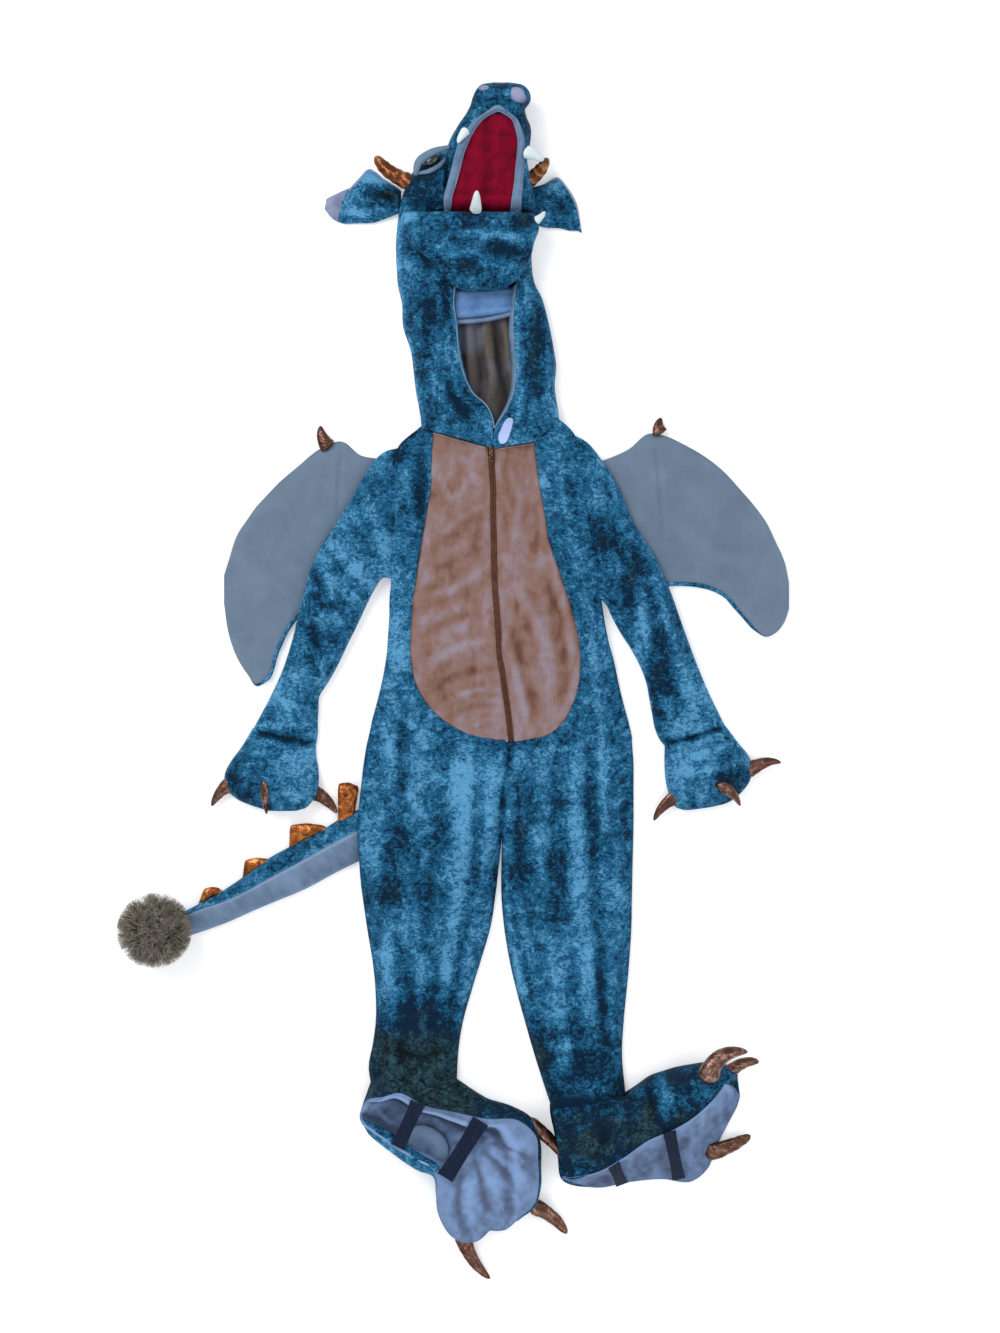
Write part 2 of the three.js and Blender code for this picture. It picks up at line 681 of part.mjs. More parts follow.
// Edges of the hood and of its face opening, from the head down to the neck seam.
const hood = table('y left openLeft openRight right', [
  [644, -78, 39, 41, 111],
  [609, -81, 39, 41, 109],
  [573, -80, 36, 42, 109],
  [547, -78, 1, 87, 113],
  [525, -73, -1, 85, 123],
  [491, -71, 3, 83, 132],
  [455, -60, 6, 85, 139],
  [424, -56, 13, 87, 143],
  [398, -53, 24, 84, 141],
  [377, -49, 41, 81, 143],
  [357, -46, 50, 67, 146],
]);
const hoodMiddle = 42;
const hoodBackShares = [1, 0.5, 0.12];
const hoodFrontShares = [0, 0.1, 0.3, 0.6, 1];
const neckBack = 344 + SEAM;
const neckLeft = [[-46, 352], [50, 323]];
const neckRight = [[143, 364], [112, 332], [55, 323]];

/** Height of the hood's upper layer above its lower one, at a share of the way in. */
function hoodRise(share) {
  return HOOD_CROWN * dome(0.5 * share ** 0.7) * mix(1, 0.72, ease(share, 0.5, 1));
}

/** One side of the hood, wrapped from the middle of the back round to the face opening. */
function addHood(name, outerKey, openKey, neck) {
  const topY = hood[0].y;
  const stretch = (neck[0][1] - topY) / (neckBack - topY);
  const rows = hood.map((row) => (
    { back: row.y, outer: [row[outerKey], topY + (row.y - topY) * stretch], open: [row[openKey], row.y] }
  ));
  rows.push({ back: neckBack, outer: neck[0], open: neck.at(-1), bend: neck.length > 2 ? neck[1] : null });
  const build = (inset) => rows.map((row) => {
    const [ox, oy] = row.outer;
    const sideways = Math.sign(row.open[0] - ox);
    const shift = inset ? sideways * VELVET : 0;
    const below = hoodBackShares.map((share) => {
      const x = mix(ox + shift, hoodMiddle - sideways * half, share);
      const y = mix(oy, row.back, share);
      return [x, y, bed(x, y) + (inset ? VELVET : 0)];
    });
    const above = hoodFrontShares.map((share) => {
      const x = mix(ox + shift, row.open[0], share);
      let y = mix(oy, row.open[1], share);
      if (row.bend && share > 0) {
        const [bx, by] = row.bend;
        const first = share < 0.3 || Math.abs(x - ox) < Math.abs(bx - ox);
        y = first ? straightAt([oy, ox], [by, bx], x) : straightAt([by, bx], [row.open[1], row.open[0]], x);
      }
      const rise = hoodRise(share);
      return [x, y, bed(x, y) + VELVET + 2 * SEAM + rise + (inset ? 0 : VELVET)];
    });
    return [...below, ...above];
  });
  addSheet(name, 'velvet', build(false), build(true));
}
addHood('hood_left', 'left', 'openLeft', neckLeft);
addHood('hood_right', 'right', 'openRight', neckRight);

/** Top of the hood's upper layer. */
function hoodTop(x, y) {
  const left = read(hood, 'y', 'left', y);
  const right = read(hood, 'y', 'right', y);
  const onLeft = x < hoodMiddle;
  const open = read(hood, 'y', onLeft ? 'openLeft' : 'openRight', y);
  const share = clamp(onLeft ? (x - left) / (open - left) : (right - x) / (right - open), 0, 1);
  return bed(x, y) + 2 * VELVET + 2 * SEAM + hoodRise(share);
}

// Dark lining on the back of the hood, in soft upright folds, and the pad across the brow.
const liningRows = [536, 505, 472, 438, 405, 379, 357];
const liningShares = [0, 0.12, 0.24, 0.36, 0.48, 0.6, 0.72, 0.84, 1];
const liningInset = 13;
const liningLine = (key, side) => liningRows.map((y) => [read(hood, 'y', key, y) + side * liningInset, y]);
addPanel(
  'hood_lining', 'lining', liningLine('left', 1), liningLine('right', -1), liningShares,
  (x, y) => bed(x, y) + VELVET + 2 * SEAM + 2.2 * (1 + Math.sin(x / 7 + y / 60)) * 0.5, LINING,
);

/** A filled pad across rows { ax, ay, bx, by, high }, resting at a given height. */
function addPad(name, finish, rows, under) {
  const shares = [0, 0.08, 0.25, 0.5, 0.75, 0.92, 1];
  const rings = rows.map((row) => {
    const at = (share) => [mix(row.ax, row.bx, share), mix(row.ay, row.by, share)];
    const above = shares.map((share) => {
      const [x, y] = at(share);
      return [x, y, under(x, y) + row.high * (0.45 + 0.55 * dome(share))];
    });
    const below = [0.94, 0.5, 0.06].map((share) => {
      const [x, y] = at(share);
      return [x, y, under(x, y)];
    });
    return [...above, ...below];
  });
  addLoft(name, finish, rings);
}
const browRows = table('ax ay bx by high', [
  [-18, 494, 102, 508, 5],
  [-18, 504, 102, 518, 12],
  [-17, 522, 101, 531, 13],
  [-15, 536, 99, 542, 12],
  [-14, 546, 98, 550, 5],
]);
addPad('brow_pad', 'gum', browRows, (x, y) => bed(x, y) + VELVET + 4 * SEAM + LINING + 2.4);

// ---------------------------------------------------------------- head

// The head lies on its crown with the mouth open upwards.
const muzzle = table('ax ay bx by high', [
  [47, 819, 93, 820, 38],
  [36, 812, 104, 812, 52],
  [30, 799, 108, 797, 60],
  [18, 778, 107, 778, 60],
  [4, 760, 108, 760, 62],
  [-7, 738, 110, 740, 64],
  [-10, 717, 110, 718, 63],
  [-10, 695, 110, 695, 60],
  [-10, 674, 110, 674, 56],
  [-10, 657, 110, 657, 50],
  [-11, 644.5, 110, 644.5, 31],
]);
const muzzleSection = table('share lift', [
  [0.3, 0], [0.06, 0.2], [0, 0.5], [0.03, 0.8], [0.13, 1], [0.5, 1], [0.87, 1], [0.97, 0.8], [1, 0.5], [0.94, 0.2],
  [0.7, 0],
]);
addLoft('muzzle', 'velvet', muzzle.map((row) => muzzleSection.map(({ share, lift }) => (
  [mix(row.ax, row.bx, share), mix(row.ay, row.by, share), row.high * lift]
))));

const skull = table('ax ay bx by high', [
  [-23, 734, -10, 732, 26],
  [-39, 723, -10, 721, 42],
  [-55, 705, -10, 702, 50],
  [-66, 684, -10, 682, 50],
  [-73, 664, -10, 663, 44],
  [-77, 644.5, -11, 644.5, 30],
]);
const skullSection = table('share lift', [
  [0.12, 0], [0, 0.35], [0.06, 0.7], [0.3, 0.92], [0.6, 1], [0.97, 0.98], [0.97, 0],
]);
addLoft('skull_side', 'velvet', skull.map((row) => skullSection.map(({ share, lift }) => (
  [mix(row.ax, row.bx, share), mix(row.ay, row.by, share), row.high * lift]
))));

/** Top of the muzzle at a place along the head. */
const mouthTop = (y) => read(muzzle, 'ay', 'high', y);

// Roof of the mouth, with the padded gum round it.
const mouth = table('ax ay bx by gumL gumR', [
  [52, 771, 71, 771, 9, 7],
  [41, 763, 81, 763, 10, 7],
  [30, 749, 86, 749, 11, 8],
  [22, 734, 89, 734, 12, 9],
  [15, 716, 88, 716, 12, 10],
  [10, 697, 86, 697, 12, 11],
  [4, 676, 84, 676, 12, 12],
  [-2, 658, 81, 658, 11, 13],
  [-3, 651, 80, 651, 10, 13],
]);
const palateShares = [0, 0.3, 0.7, 1];
const mouthClear = 1.5;
const mouthLeft = mouth.map((row) => [row.ax, row.ay]);
const mouthRight = mouth.map((row) => [row.bx, row.by]);
addPanel('palate', 'mouth', mouthLeft, mouthRight, palateShares, (x, y) => mouthTop(y) + mouthClear, LINING);

const gumHigh = 7;
const gumBottom = (y) => mouthTop(y) + mouthClear + 1;
const gumRings = [
  ...mouth.map((row) => ({ inner: [row.ax - 0.5, row.ay], outer: [row.ax - row.gumL, row.ay + 1] })).reverse(),
  { inner: [62, 775], outer: [62, 783] },
  ...mouth.map((row) => ({ inner: [row.bx + 0.5, row.by], outer: [row.bx + row.gumR, row.by + 1] })),
];
addLoft('gum_band', 'gum', gumRings.map(({ inner, outer }) => (
  [[0, 0], [0.04, 0.7], [0.5, 1], [0.96, 0.7], [1, 0]].map(([share, lift]) => {
    const [x, y] = [mix(inner[0], outer[0], share), mix(inner[1], outer[1], share)];
    return [x, y, gumBottom(inner[1]) + gumHigh * lift];
  })
)));

const jaw = table('ax ay bx by high', [
  [-67, 642, 106, 640, 12],
  [-72, 632, 117, 632, 22],
  [-69, 617, 118, 620, 28],
  [-56, 599, 112, 602, 31],
  [-37, 581, 107, 582, 31],
  [-21, 566, 100, 567, 29],
  [-10, 552, 90, 554, 24],
  [3, 541, 77, 543, 16],
  [23, 536, 56, 536, 7],
]);
const jawClear = SEAM;
const jawBottom = 32.9;
addPad('lower_jaw', 'velvet', jaw, (x, y) => Math.max(hoodTop(x, Math.min(y, hood[0].y)) + jawClear, jawBottom));

const fangs = table('name x0 y0 z0 x1 y1 z1 x2 y2 z2 radius flat', [
  ['fang_upper_left', 18.8, 745.2, 77.7, 13.2, 739.4, 84, 7, 728, 78, 7, 0.9],
  ['fang_upper_right', 95.7, 717.5, 77.4, 109.8, 710.4, 86, 124, 705, 78, 10, 0.8],
  ['fang_lower_left', 31, 644, 50.5, 32, 646, 74, 33, 663, 82, 9, 0.9],
]);
for (const fang of fangs) addClaw(fang.name, 'tooth', fang);

// Eye: a shallow dark dome on the side of the skull, above its cheek.
const eyePlace = [-29, 711];
const eyeRings = [[1, 50.3], [1, 53], [0.7, 56], [0.3, 57]].map(([share, z]) => {
  const ring = [];
  for (let k = 0; k < 10; k += 1) {
    const turn = (2 * Math.PI * k) / 10;
    const [along, over] = [12 * share * Math.cos(turn), 7 * share * Math.sin(turn)];
    ring.push([eyePlace[0] + along * 0.8 - over * 0.6, eyePlace[1] + along * 0.6 + over * 0.8, z]);
  }
  return ring;
});
addLoft('eye_left', 'eye', eyeRings);

// Ears: soft flat pieces on the floor beside the skull.
const earLeft = table('ax ay bx by high', [
  [-74, 683, -74, 652, 14],
  [-97, 697, -94, 644, 13],
  [-119, 713, -112, 638, 12],
  [-134, 699, -136, 637, 10],
  [-148, 685, -155, 637, 9],
  [-165, 678, -171, 645, 7],
  [-178, 672, -181, 658, 5],
]);
const earRight = table('ax ay bx by high', [
  [108, 685, 112, 643, 12],
  [129, 692, 130, 631, 12],
  [144, 701, 148, 630, 11],
  [157, 689, 162, 627, 9],
  [169, 669, 175, 626, 7],
  [174, 651, 179, 624, 4],
]);
addPad('ear_left', 'velvet', earLeft, () => 0);
addPad('ear_right', 'velvet', earRight, () => 0);

// Fastening tab at the throat, lying across the edge of the face opening.
addPanel(
  'neck_tab', 'tooth',
  [[73, 361], [67, 348], [62, 335], [63, 324]],
  [[84, 360], [81, 348], [77, 335], [73, 325]],
  [0, 1], () => neckTabZ, STRAP,
);

// ---------------------------------------------------------------- foot covers

// Left cover, sole upwards: its edge, the line where velvet meets sole, and its height.
const coverLeft = table('ax ay mx my bx by high well', [
  [-122, -571, -104, -550, -94, -540, 34, 0],
  [-128, -600, -103, -576, -53, -539, 50, 4],
  [-119, -624, -78, -567, -19, -549, 54, 26],
  [-98, -646, -37, -578, 12, -561, 54, 40],
  [-76, -663, 3, -590, 46, -582, 54, 42],
  [-48, -681, 47, -603, 81, -593, 52, 36],
  [-28, -689, 89, -606, 109, -610, 48, 18],
  [-24, -712, 113, -627, 121, -643, 44, 9],
  [-22, -735, 115, -663, 123, -676, 38, 6],
  [-15, -755, 116, -698, 124, -708, 32, 4],
  [-4, -772, 109, -725, 117, -735, 26, 3],
  [11, -783, 89, -747, 96, -755, 20, 2],
]);
/** Rings of a bowl on the floor from its low edge round to the line where the sole starts. */
function bowlRows(cover, inset) {
  return cover.map((row) => {
    const length = Math.hypot(row.bx - row.ax, row.by - row.ay);
    const along = (share, z) => [mix(row.ax, row.bx, share), mix(row.ay, row.by, share), z];
    const w = inset ? VELVET / length : 0;
    const lift = inset ? VELVET : 0;
    const h = row.high;
    const m = Math.hypot(row.mx - row.ax, row.my - row.ay) / length;
    return [
      along(0.02 + w, h * 0.8 - row.well * 0.25), along(w, h * 0.45), along(0.1 + w, lift), along(0.5, lift),
      along(0.9 - w, lift), along(1 - w, h * 0.45),
      along(mix(1, m, 0.5) - w, h * 0.8 - lift * 0.6), [row.mx, row.my, h - lift],
    ];
  });
}
addSheet('foot_left', 'velvet', bowlRows(coverLeft, false), bowlRows(coverLeft, true));

const wellSpan = { from: 0.06, width: 0.86 };

/** The sole inside a cover's edge, sunk into the hollow that takes the shoe. */
function soleRows(cover, below) {
  const shares = [0, 0.1, 0.25, 0.42, 0.6, 0.78, 0.9, 1];
  return cover.map((row) => shares.map((share) => {
    const across = clamp((share - wellSpan.from) / wellSpan.width, 0, 1);
    const sink = row.well * Math.sin(Math.PI * across) ** 0.8;
    const z = mix(row.lowHigh, row.high, share) + SEAM - sink;
    return [mix(row.ax, row.mx, share), mix(row.ay, row.my, share), below ? z : z + VELVET];
  }));
}
const soleLowEdge = 0.86; // height of the sole's low edge against its high one
const soleLeft = coverLeft.slice(1).map((row) => ({ ...row, lowHigh: row.high * soleLowEdge }));
addSheet('sole_left', 'sole', soleRows(soleLeft, false), soleRows(soleLeft, true));

// Right cover, on its side: its back edge, the line where the sole starts, and the sole's low edge.
const coverRight = table('ix iy mx my ox oy high', [
  [240, -584, 136, -599, 133, -604, 40],
  [245, -576, 141, -626, 140, -634, 50],
  [259, -564, 147, -659, 145, -668, 55],
  [276, -552, 156, -683, 150, -699, 56],
  [290, -547, 194, -675, 200, -711, 60],
  [309, -541, 232, -654, 246, -703, 64],
  [329, -537, 265, -630, 291, -699, 66],
  [347, -534, 303, -614, 333, -702, 64],
  [361, -534, 328, -600, 355, -684, 60],
  [373, -536, 349, -583, 366, -656, 56],
  [385, -539, 362, -571, 379, -622, 50],
  [392, -543, 372, -555, 394, -589, 40],
]);

/** Rings of the right cover, from the sole's low edge under the foot and over to the sole's line. */
function sideRows(inset) {
  const d = inset ? VELVET : 0;
  return coverRight.map((row) => {
    const low = (share) => {
      const length = Math.hypot(row.ix - row.ox, row.iy - row.oy);
      const t = share - (share > 0.5 ? d / length : 0);
      return [mix(row.ox, row.ix, t), mix(row.oy, row.iy, t)];
    };
    const top = (share) => {
      const length = Math.hypot(row.mx - row.ix, row.my - row.iy);
      const t = share + (share < 0.2 ? d / length : 0);
      return [mix(row.ix, row.mx, t), mix(row.iy, row.my, t)];
    };
    const h = row.high;
    return [
      [...low(0), d], [...low(0.5), d], [...low(0.93), d], [...top(0), h * 0.3],
      [...top(0.12), h * 0.68 - d], [...top(0.4), h * 0.94 - d], [...top(0.75), h * 1.02 - d], [...top(1), h - d],
    ];
  });
}
addSheet('foot_right', 'velvet', sideRows(false), sideRows(true));

const soleRight = coverRight.slice(3);
const soleRightSink = 12;
const soleRightShares = [0, 0.15, 0.4, 0.7, 1];
const soleRightRows = (wall) => soleRight.map((row) => soleRightShares.map((share) => {
  const [x, y] = [mix(row.mx, row.ox, share), mix(row.my, row.oy, share)];
  const z = mix(row.high, VELVET, share) + SEAM - soleRightSink * Math.sin(Math.PI * share);
  return [x, y, z + wall];
}));
addSheet('sole_right', 'sole', soleRightRows(VELVET), soleRightRows(0));

// Elastic straps across the openings in the soles.
const straps = table('name ax ay bx by width az bz', [
  ['strap_left_heel', -48, -580, -76, -642, 21, 55.1, 48.6],
  ['strap_left_arch', 38, -605, -11, -684, 24, 55.4, 48.5],
  ['strap_right', 295, -616, 314, -698, 18, 70, 8],
]);
for (const strap of straps) {
  const middle = [0, 0.5, 1].map((t) => [mix(strap.ax, strap.bx, t), mix(strap.ay, strap.by, t)]);
  const heights = [strap.az, mix(strap.az, strap.bz, 0.5), strap.bz];
  const edge = (side, up) => beside(middle, side * strap.width / 2).map(([x, y], k) => [x, y, heights[k] + up]);
  const grid = (up) => edge(1, up).map((point, k) => [point, edge(-1, up)[k]]);
  addSheet(strap.name, 'elastic', grid(STRAP), grid(0));
}

export default costume;
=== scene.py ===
"""A child's hooded dragon costume of crushed velvet, laid flat on its back."""
import logging
import math
from dataclasses import dataclass
from enum import Enum
from typing import Callable, Iterable, Sequence

import bpy
import numpy as np
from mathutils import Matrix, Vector

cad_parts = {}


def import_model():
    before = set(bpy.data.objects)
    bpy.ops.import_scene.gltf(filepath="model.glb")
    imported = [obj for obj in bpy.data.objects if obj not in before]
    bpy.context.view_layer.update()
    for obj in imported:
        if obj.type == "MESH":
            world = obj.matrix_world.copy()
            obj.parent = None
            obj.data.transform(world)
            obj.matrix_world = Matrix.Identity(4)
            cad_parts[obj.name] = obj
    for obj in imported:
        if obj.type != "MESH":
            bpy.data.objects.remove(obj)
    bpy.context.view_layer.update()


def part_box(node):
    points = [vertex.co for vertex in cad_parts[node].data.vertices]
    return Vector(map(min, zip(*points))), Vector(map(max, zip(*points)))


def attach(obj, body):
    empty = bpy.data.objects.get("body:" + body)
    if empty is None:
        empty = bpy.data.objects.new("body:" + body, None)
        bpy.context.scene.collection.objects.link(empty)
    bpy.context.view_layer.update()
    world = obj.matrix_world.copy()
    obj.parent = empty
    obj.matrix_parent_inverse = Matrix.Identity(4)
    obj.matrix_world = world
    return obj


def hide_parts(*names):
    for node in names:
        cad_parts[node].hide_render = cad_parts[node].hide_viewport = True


LOG = logging.getLogger("costume")
MM = 0.001
# Gap at a seam and thickness of the cloths, in millimetres.
SEAM = 0.3
VELVET = 2.0
LINING = 1.2
WING_LAYER = 3.0
# Least share of its box that the area measured for a cut piece is raised to.
LEAST_SHARE = 0.31
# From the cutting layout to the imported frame, in millimetres.
LAYOUT_SHIFT = np.array([-0.9, 10.1, 0.0])
Points = np.ndarray
Object = bpy.types.Object
Material = bpy.types.Material
Shade = tuple[int, int, int]


# ---------------------------------------------------------------- numbers

def clamp(value: Points, low: float = 0.0, high: float = 1.0) -> Points:
    """Keeps values between low and high."""
    return np.minimum(high, np.maximum(low, value))


def ease(value: Points, start: float, end: float) -> Points:
    """Rises smoothly from 0 to 1 as value goes from start to end."""
    t = clamp((value - start) / (end - start))
    return t * t * (3 - 2 * t)


def dome(t: Points) -> Points:
    """A rounded rise across a piece, steep at its edges."""
    t = clamp(t)
    return np.sqrt(4 * t * (1 - t))


def spline(rows: Sequence[Sequence[float]], at: Points) -> Points:
    """A smooth line through rows of numbers.

    Args:
        rows: Points of any number of columns, of which the first two are x and y.
        at: Places along the line, where 0 is the first row and 1 the second.

    Returns:
        The columns at each place.
    """
    knots = np.asarray(rows, dtype=float)
    chords = np.linalg.norm(np.diff(knots[:, :2], axis=0), axis=1)[:, None] + 1e-6
    steps = np.diff(knots, axis=0) / chords
    slopes = np.empty_like(knots)
    slopes[0], slopes[-1] = steps[0], steps[-1]
    slopes[1:-1] = (steps[:-1] * chords[1:] + steps[1:] * chords[:-1]) / (chords[1:] + chords[:-1])
    index = np.clip(np.floor(at).astype(int), 0, len(knots) - 2)
    t = (at - index)[:, None]
    a, b, chord = knots[index], knots[index + 1], chords[index]
    t2, t3 = t * t, t * t * t
    return (
        (2 * t3 - 3 * t2 + 1) * a + (t3 - 2 * t2 + t) * chord * slopes[index]
        + (3 * t2 - 2 * t3) * b + (t3 - t2) * chord * slopes[index + 1]
    )


def knot_places(lines: Sequence[Sequence[Sequence[float]]], step: float, last: int = -1) -> Points:
    """Places along several lines of equally many rows, about one step apart on the longest line.

    Args:
        lines: Rows of points.
        step: Distance wanted, in millimetres.
        last: The row at which the places end.

    Returns:
        Places as row numbers.
    """
    chords = [np.linalg.norm(np.diff(np.asarray(line, dtype=float)[:, :2], axis=0), axis=1) for line in lines]
    lengths = np.concatenate([[0.0], np.cumsum(np.max(chords, axis=0) + 1e-6)])
    end = lengths[last]
    want = np.linspace(0, end, max(3, int(end / step) + 1))
    return np.interp(want, lengths, np.arange(len(lengths)))


def rounded(rows: Sequence[Sequence[float]], count: int) -> Points:
    """A smooth line through rows, with a given number of points."""
    return spline(rows, np.linspace(0, len(rows) - 1, count))


class Table:
    """Rows of numbers read by linear steps along their first column."""

    def __init__(self, columns: str, rows: Sequence[Sequence[float]]) -> None:
        """Keeps the rows in rising order of the first column.

        Args:
            columns: Names of the columns, the key first.
            rows: The rows, in any order.
        """
        names = columns.split()
        data = np.asarray(sorted(rows), dtype=float)
        self.key = data[:, 0]
        self.columns = {name: data[:, k] for k, name in enumerate(names)}

    def read(self, column: str, place: Points) -> Points:
        """One column's value at each place."""
        return np.interp(place, self.key, self.columns[column])


class Noise:
    """Smooth seeded noise on a plane."""

    def __init__(self, seed: int) -> None:
        """Draws the lattice once."""
        self.lattice = np.random.default_rng(seed).uniform(-1, 1, (64, 64))

    def at(self, x: Points, y: Points, size: float, stretch: float = 1.0) -> Points:
        """Value noise.

        Args:
            x: First coordinate in millimetres.
            y: Second coordinate in millimetres.
            size: Width of one lump.
            stretch: How much longer a lump is along y.

        Returns:
            Values between -1 and 1.
        """
        u, v = x / size, y / (size * stretch)
        i, j = np.floor(u).astype(int), np.floor(v).astype(int)
        fu, fv = u - i, v - j
        fu, fv = fu * fu * (3 - 2 * fu), fv * fv * (3 - 2 * fv)
        grid = self.lattice
        low = grid[i % 64, j % 64] * (1 - fu) + grid[(i + 1) % 64, j % 64] * fu
        high = grid[i % 64, (j + 1) % 64] * (1 - fu) + grid[(i + 1) % 64, (j + 1) % 64] * fu
        return low * (1 - fv) + high * fv


@dataclass(frozen=True)
class Crease:
    """A soft ridge, or a trough where its height is below 0, along a bent line."""

    points: tuple[tuple[float, float], ...]
    width: float
    height: float
    lean: float = 0.0

    def rise(self, x: Points, y: Points) -> Points:
        """Height of the crease at each place, in millimetres.

        Args:
            x: Places across, in millimetres.
            y: Places along, in millimetres.

        Returns:
            Height in millimetres, below 0 in a trough.
        """
        line = rounded(self.points, 9) if len(self.points) > 2 else np.asarray(self.points, dtype=float)
        best = np.full(np.shape(x), 1e9)
        along = np.zeros(np.shape(x))
        side = np.zeros(np.shape(x))
        count = len(line) - 1
        for k, ((ax, ay), (bx, by)) in enumerate(zip(line[:-1], line[1:])):
            dx, dy = bx - ax, by - ay
            length = dx * dx + dy * dy
            t = clamp(((x - ax) * dx + (y - ay) * dy) / length)
            distance = np.hypot(x - ax - t * dx, y - ay - t * dy)
            near = distance < best
            best = np.where(near, distance, best)
            along = np.where(near, (k + t) / count, along)
            turn = np.sign(dx * (y - ay) - dy * (x - ax))
            side = np.where(near, turn, side)
        fade = np.sin(np.pi * clamp(along, 0.04, 0.96)) ** 0.7
        skew = best * (1 + self.lean * side) / self.width
        return self.height * fade * np.exp(-(skew ** 2))


def crease_rows(*rows: Sequence[float]) -> tuple[Crease, ...]:
    """Creases from rows of width, height, the x and y of each point, and a lean where there is one."""
    return tuple(Crease(tuple(zip(row[2::2], row[3::2])), row[0], row[1], row[-1] if len(row) % 2 else 0.0)
                 for row in rows)


def creased(creases: Iterable[Crease], x: Points, y: Points) -> Points:
    """Sum of the creases at each place."""
    return sum((crease.rise(x, y) for crease in creases), np.zeros(np.shape(x)))


def pile_and_shade_at(x: Points, y: Points) -> Points:
    """Painted light and shade of the velvet at each place, partly from how its crushed pile lies, from about
    -1 to 1.

    Args:
        x: Places across, in millimetres.
        y: Places along, in millimetres.

    Returns:
        Values from about -1 in painted shade to 1 in painted highlight.
    """
    total = 0.2 * TONES.at(x, y, 55.0) + 0.3 * TONES.at(x + 40, y, 27.0) + 0.15 * TONES.at(x, y + 90, 12.0)
    for place_x, place_y, reach_x, reach_y, amount in LIGHT_AND_SHADE_SPOTS:
        total = total + amount * np.exp(-((x - place_x) / reach_x) ** 2 - ((y - place_y) / reach_y) ** 2)
    return total


# ---------------------------------------------------------------- meshes

def make_object(name: str, points: Points, faces: list[tuple[int, ...]],
                relief: Points | None = None) -> Object:
    """Makes a smooth-shaded object from points in millimetres.

    Args:
        name: Name of the object and its mesh.
        points: Rows of x, y, z on the cutting layout.
        faces: Corner numbers of each face.
        relief: How far each point stands over its surroundings, from -1 to 1; the finishes paint shade where
            it is low and highlight where it is high.

    Returns:
        The object, linked to the scene with its faces turned outwards.
    """
    points = np.asarray(points, dtype=float)
    mesh = bpy.data.meshes.new(name)
    mesh.from_pydata(((points + LAYOUT_SHIFT) * MM).tolist(), [], faces)
    mesh.calc_loop_triangles()
    triangles = np.empty(len(mesh.loop_triangles) * 3, dtype=np.int32)
    mesh.loop_triangles.foreach_get("vertices", triangles)
    a, b, c = (points[triangles.reshape(-1, 3)[:, k]] for k in range(3))
    if float(np.einsum("ij,ij->i", a, np.cross(b, c)).sum()) < 0:
        mesh.flip_normals()
    # Kept for the finishes, which paint shade and highlight from it: darker where it is low, lighter where it
    # is high.
    layer = mesh.attributes.new("relief", "FLOAT", "POINT")
    layer.data.foreach_set("value", (np.zeros(len(points)) if relief is None else relief).astype(np.float32))
    # Painted light and shade of the velvet, partly from how its pile lies.
    pile_and_shade = mesh.attributes.new("pile_and_shade", "FLOAT", "POINT")
    pile_and_shade.data.foreach_set("value", pile_and_shade_at(points[:, 0], points[:, 1]).astype(np.float32))
    mesh.shade_smooth()
    mesh.update()
    piece = bpy.data.objects.new(name, mesh)
    bpy.context.scene.collection.objects.link(piece)
    return piece


def relief_of(grid: Points, wrap: bool, reach: int = 5, depth: float = 2.2) -> Points:
    """How far each point of a grid stands over the mean height round it, from -1 to 1.

    Args:
        grid: Points, shape (rows, columns, 3).
        wrap: Whether the last column meets the first.
        reach: Points on each side that count as near.
        depth: Height that counts as much.

    Returns:
        Values from -1 in a hollow to 1 on a ridge.
    """
    z = grid[..., 2]
    mean = z
    for axis in (0, 1):
        pad = [(0, 0), (0, 0)]
        pad[axis] = (reach, reach)
        padded = np.pad(mean, pad, mode="wrap" if wrap and axis == 1 else "edge")
        total = np.cumsum(padded, axis=axis)
        total = np.concatenate([np.zeros_like(np.take(total, [0], axis=axis)), total], axis=axis)
        width = 2 * reach + 1
        size = mean.shape[axis]
        far = np.take(total, np.arange(width, width + size), axis=axis)
        near = np.take(total, np.arange(size), axis=axis)
        mean = (far - near) / width
    return np.tanh((z - mean) / depth)


def grid_faces(rows: int, columns: int, start: int, wrap: bool, flip: bool) -> list[tuple[int, ...]]:
    """Quads of a grid of points.

    Args:
        rows: Number of rows.
        columns: Number of columns.
        start: Number of the grid's first point.
        wrap: Whether the last column joins the first.
        flip: Whether the faces look the other way.

    Returns:
        The quads.
    """
    i, j = np.meshgrid(np.arange(rows - 1), np.arange(columns if wrap else columns - 1), indexing="ij")
    beyond = (j + 1) % columns
    quads = np.stack([
        i * columns + j, i * columns + beyond, (i + 1) * columns + beyond, (i + 1) * columns + j,
    ], axis=-1).reshape(-1, 4) + start
    return [tuple(quad) for quad in (quads[:, ::-1] if flip else quads).tolist()]


def sheet_shell(name: str, outer: Points, inner: Points) -> Object:
    """A thin closed sheet between two grids of points of the same shape.

    Args:
        name: Name of the piece.
        outer: Points of the upper or outer face.
        inner: Points of the lower or inner face.

    Returns:
        The sheet, closed along its edges.
    """
    rows, columns = outer.shape[:2]
    far = rows * columns
    faces = grid_faces(rows, columns, 0, False, False) + grid_faces(rows, columns, far, False, True)
    number = np.arange(far).reshape(rows, columns)
    edge = np.concatenate([number[0, :], number[1:, -1], number[-1, -2::-1], number[-2:0:-1, 0]]).tolist()
    faces += [(b, a, a + far, b + far) for a, b in zip(edge, edge[1:] + edge[:1])]
    relief = relief_of(outer, False).ravel()
    points = np.concatenate([outer.reshape(-1, 3), inner.reshape(-1, 3)])
    return make_object(name, points, faces, np.concatenate([relief, relief]))


